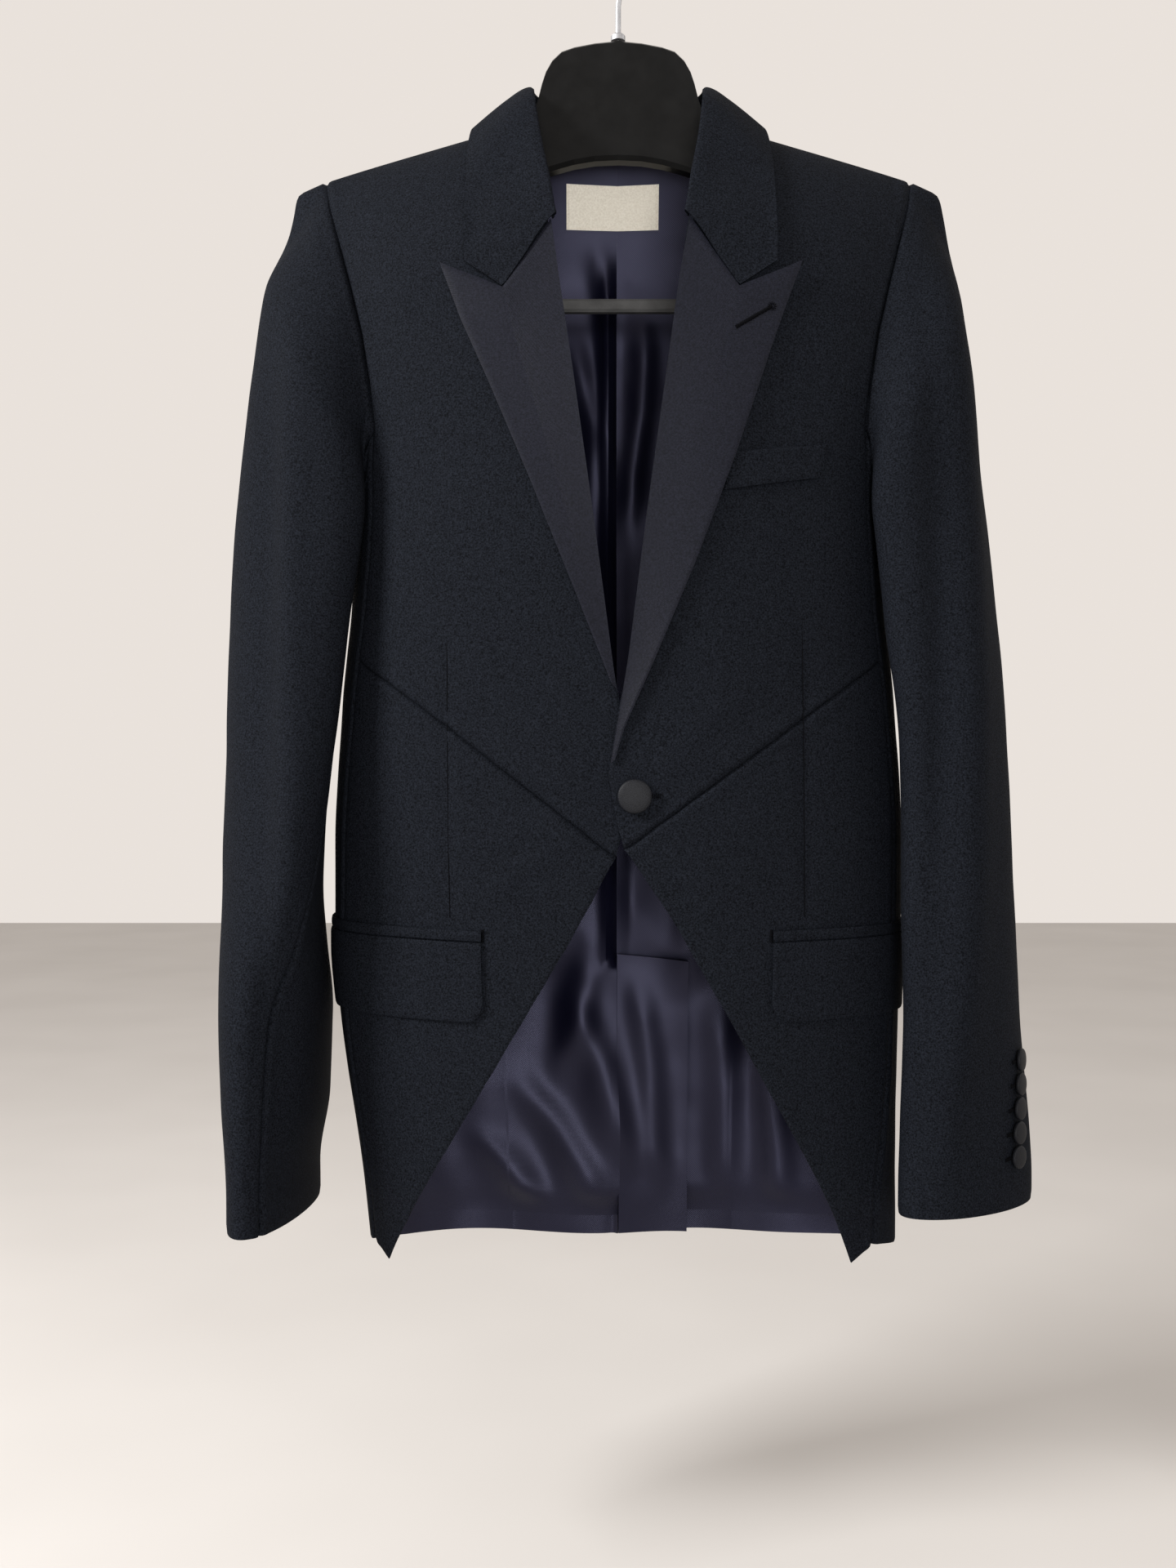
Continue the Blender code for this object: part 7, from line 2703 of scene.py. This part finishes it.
    def dart(self, side: int) -> None:
        """Add a dark tube sunk in one front's dart groove: painted shade of the dart's seam line.

        Args:
            side: 1 for the wearer's left, -1 for the right.
        """
        heights = np.array([fold.z for fold in DARTS[side]])
        z = np.linspace(heights[0], self.dart_end_z, self.dart_spots)
        x = smooth_column(heights, np.array([fold.x for fold in DARTS[side]]), z)
        spots, _ = self.on_front(side, x, z, DART_SHADE_LINE.lift)
        # Painted shade: a dark thread-coloured tube along the dart's groove
        self.tube("dart_painted_shade_lines", list(spots), DART_SHADE_LINE.radius)

    def welt_end(self, corner: int, way: int) -> None:
        """Add the stitches down one end of the breast pocket's welt.

        Args:
            corner: Which end, by its place in WELT_TOP.
            way: 1 where the welt lies at larger x than the end, else -1.
        """
        top, bottom = WELT_TOP[corner], WELT_BOTTOM[corner]
        shares = np.linspace(self.welt_share, 1 - self.welt_share, self.welt_spots)
        x = top.x + (bottom.x - top.x) * shares + way * self.welt_inset
        z = top.z + (bottom.z - top.z) * shares
        spots, outs = self.on_front(1, x, z, WELT_LIFT + WELT_STITCH.lift)
        halves = WELT_STITCH.half * np.gradient(spots, axis=0)
        for spot, half, out in zip(spots[::2], halves[::2], outs[::2]):
            self.bridge("welt_stitches", spot - half, spot + half, out, WELT_STITCH.radius)

    def label_end(self, way: float) -> None:
        """Add the stitches down one end of the label.

        Args:
            way: 1 for the end at larger x, else -1.
        """
        margin = self.label_margin
        z = np.linspace(LABEL_TOP_Z - margin, LABEL_BOTTOM_Z + margin, self.label_spots)
        x = np.array([LABEL_CENTRE_X + way * (LABEL_HALF_WIDTH - margin)])
        line = back_sheet(x, z, LABEL_DEPTH + LABEL_CLOTH + LABEL_STITCH.lift)[:, 0]
        out = np.array([0.0, -1.0, 0.0])
        for first, second in zip(line[:-1], line[1:]):
            trim = (0.5 - LABEL_STITCH.half) * (second - first)
            self.bridge("label_stitches", first + trim, second - trim, out, LABEL_STITCH.radius)

    def build(self) -> None:
        """Make a piece of each group of stitches."""
        slots = {"label_stitches": (Slot.LABEL, self.cream)}
        for group, points in self.points.items():
            mesh = bpy.data.meshes.new(group)
            mesh.from_pydata([tuple(point) for point in points], [], self.faces[group])
            slot, finish = slots.get(group, (Slot.WOOL, self.thread))
            mesh.materials.append(finish)
            mesh.shade_smooth()
            dress(add_object(group, mesh))


@dataclass
class Hanger:
    """The hanger's plate, arms, trouser bar and hook, kept from the model with better finishes."""

    plastic: Material
    rough: Material
    steel: Material

    def build(self) -> None:
        """Dress the hanger's nodes."""
        finishes = {
            "hanger_body": self.plastic,
            "hanger_bar": self.rough,
            "hook": self.steel,
            "hook_ferrule": self.steel,
        }
        for name, finish in finishes.items():
            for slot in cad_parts[name].material_slots:
                slot.material = finish
            LOG.info("%s: dressed", name)


@dataclass
class Studio:
    """The camera, the lights and the floor."""

    lens: float = 34.26
    sensor_height: float = 36.0
    clip_start: float = 0.05
    camera_place: Place = (-0.01924, -0.954, -0.5522)
    lit_place: Place = (0.0, 0.0, -0.45)
    floor_z: float = -1.06
    floor_size: float = 9.0
    world_tone: Tone = (0.86, 0.80, 0.75)
    world_strength: float = 0.95
    lights: tuple[tuple[str, Place, float, float], ...] = (
        ("window_light", (-1.7, -0.9, 0.5), 0.6, 80.0),
        ("front_light", (0.18, -2.3, -0.55), 0.8, 30.0),
        ("right_fill", (1.9, -0.5, 0.5), 0.8, 8.0),
    )

    def camera(self) -> None:
        """Set the camera where the photographer stood."""
        data = bpy.data.cameras.new("camera")
        data.sensor_fit = "VERTICAL"
        data.sensor_height = self.sensor_height
        data.lens = self.lens
        data.clip_start = self.clip_start
        thing = add_object("camera", data)
        thing.location = self.camera_place
        thing.rotation_euler = (math.pi / 2, 0.0, 0.0)
        bpy.context.scene.camera = thing

    def light(self, name: str, place: Place, size: float, power: float) -> None:
        """Hang a soft square light that faces the garment.

        Args:
            name: Its name.
            place: Where it hangs.
            size: The length of its sides.
            power: Its power in watts.
        """
        data = bpy.data.lights.new(name, "AREA")
        data.size = size
        data.energy = power
        thing = add_object(name, data)
        thing.location = place
        toward = Vector(self.lit_place) - Vector(place)
        thing.rotation_euler = toward.to_track_quat("-Z", "Y").to_euler()

    def floor(self, finish: Material) -> None:
        """Lay the pale floor below the hem.

        Args:
            finish: The floor's material.
        """
        bpy.ops.object.select_all(action="DESELECT")
        bpy.ops.mesh.primitive_plane_add(size=self.floor_size, location=(0.0, 0.0, self.floor_z))
        thing = bpy.context.active_object
        thing.name = "studio_floor"
        thing.data.materials.append(finish)

    def build(self, finish: Material) -> None:
        """Set up the whole studio.

        Args:
            finish: The floor's material.
        """
        world = bpy.data.worlds.new("pale_studio")
        world.use_nodes = True
        background = world.node_tree.nodes["Background"]
        background.inputs["Color"].default_value = (*self.world_tone, 1.0)
        background.inputs["Strength"].default_value = self.world_strength
        bpy.context.scene.world = world
        bpy.context.scene.view_settings.view_transform = "Standard"
        self.camera()
        self.floor(finish)
        for light in self.lights:
            self.light(*light)


def main() -> None:
    """Build the blazer, its hanger and the studio."""
    logging.basicConfig(level=logging.INFO, format="%(message)s")
    wool, silk, satin = WOOL_CREPE.build(), RIBBED_SILK.build(), SATIN_TWILL.build()
    cream, covered = WOVEN_LABEL.build(), BUTTON_SILK.build()
    torso = Torso(wool, satin)
    torso.build()
    sleeves = Sleeves(wool, satin)
    sleeves.build()
    lapels = Lapels(silk, wool)
    lapels.build()
    Collar(wool).build()
    Linings(satin, torso).build()
    BackInside(satin, cream).build()
    Pockets(wool).build()
    stitches = Stitches(THREAD_AND_DART_SHADE.build(), cream)
    CoveredButtons(covered).build(sleeves, stitches)
    stitches.sew(lapels)
    stitches.build()
    Hanger(MATTE_PLASTIC.build(), ROUGH_PLASTIC.build(), BRIGHT_STEEL.build()).build()
    Studio().build(PALE_FLOOR.build())


if __name__ == "__main__":
    main()
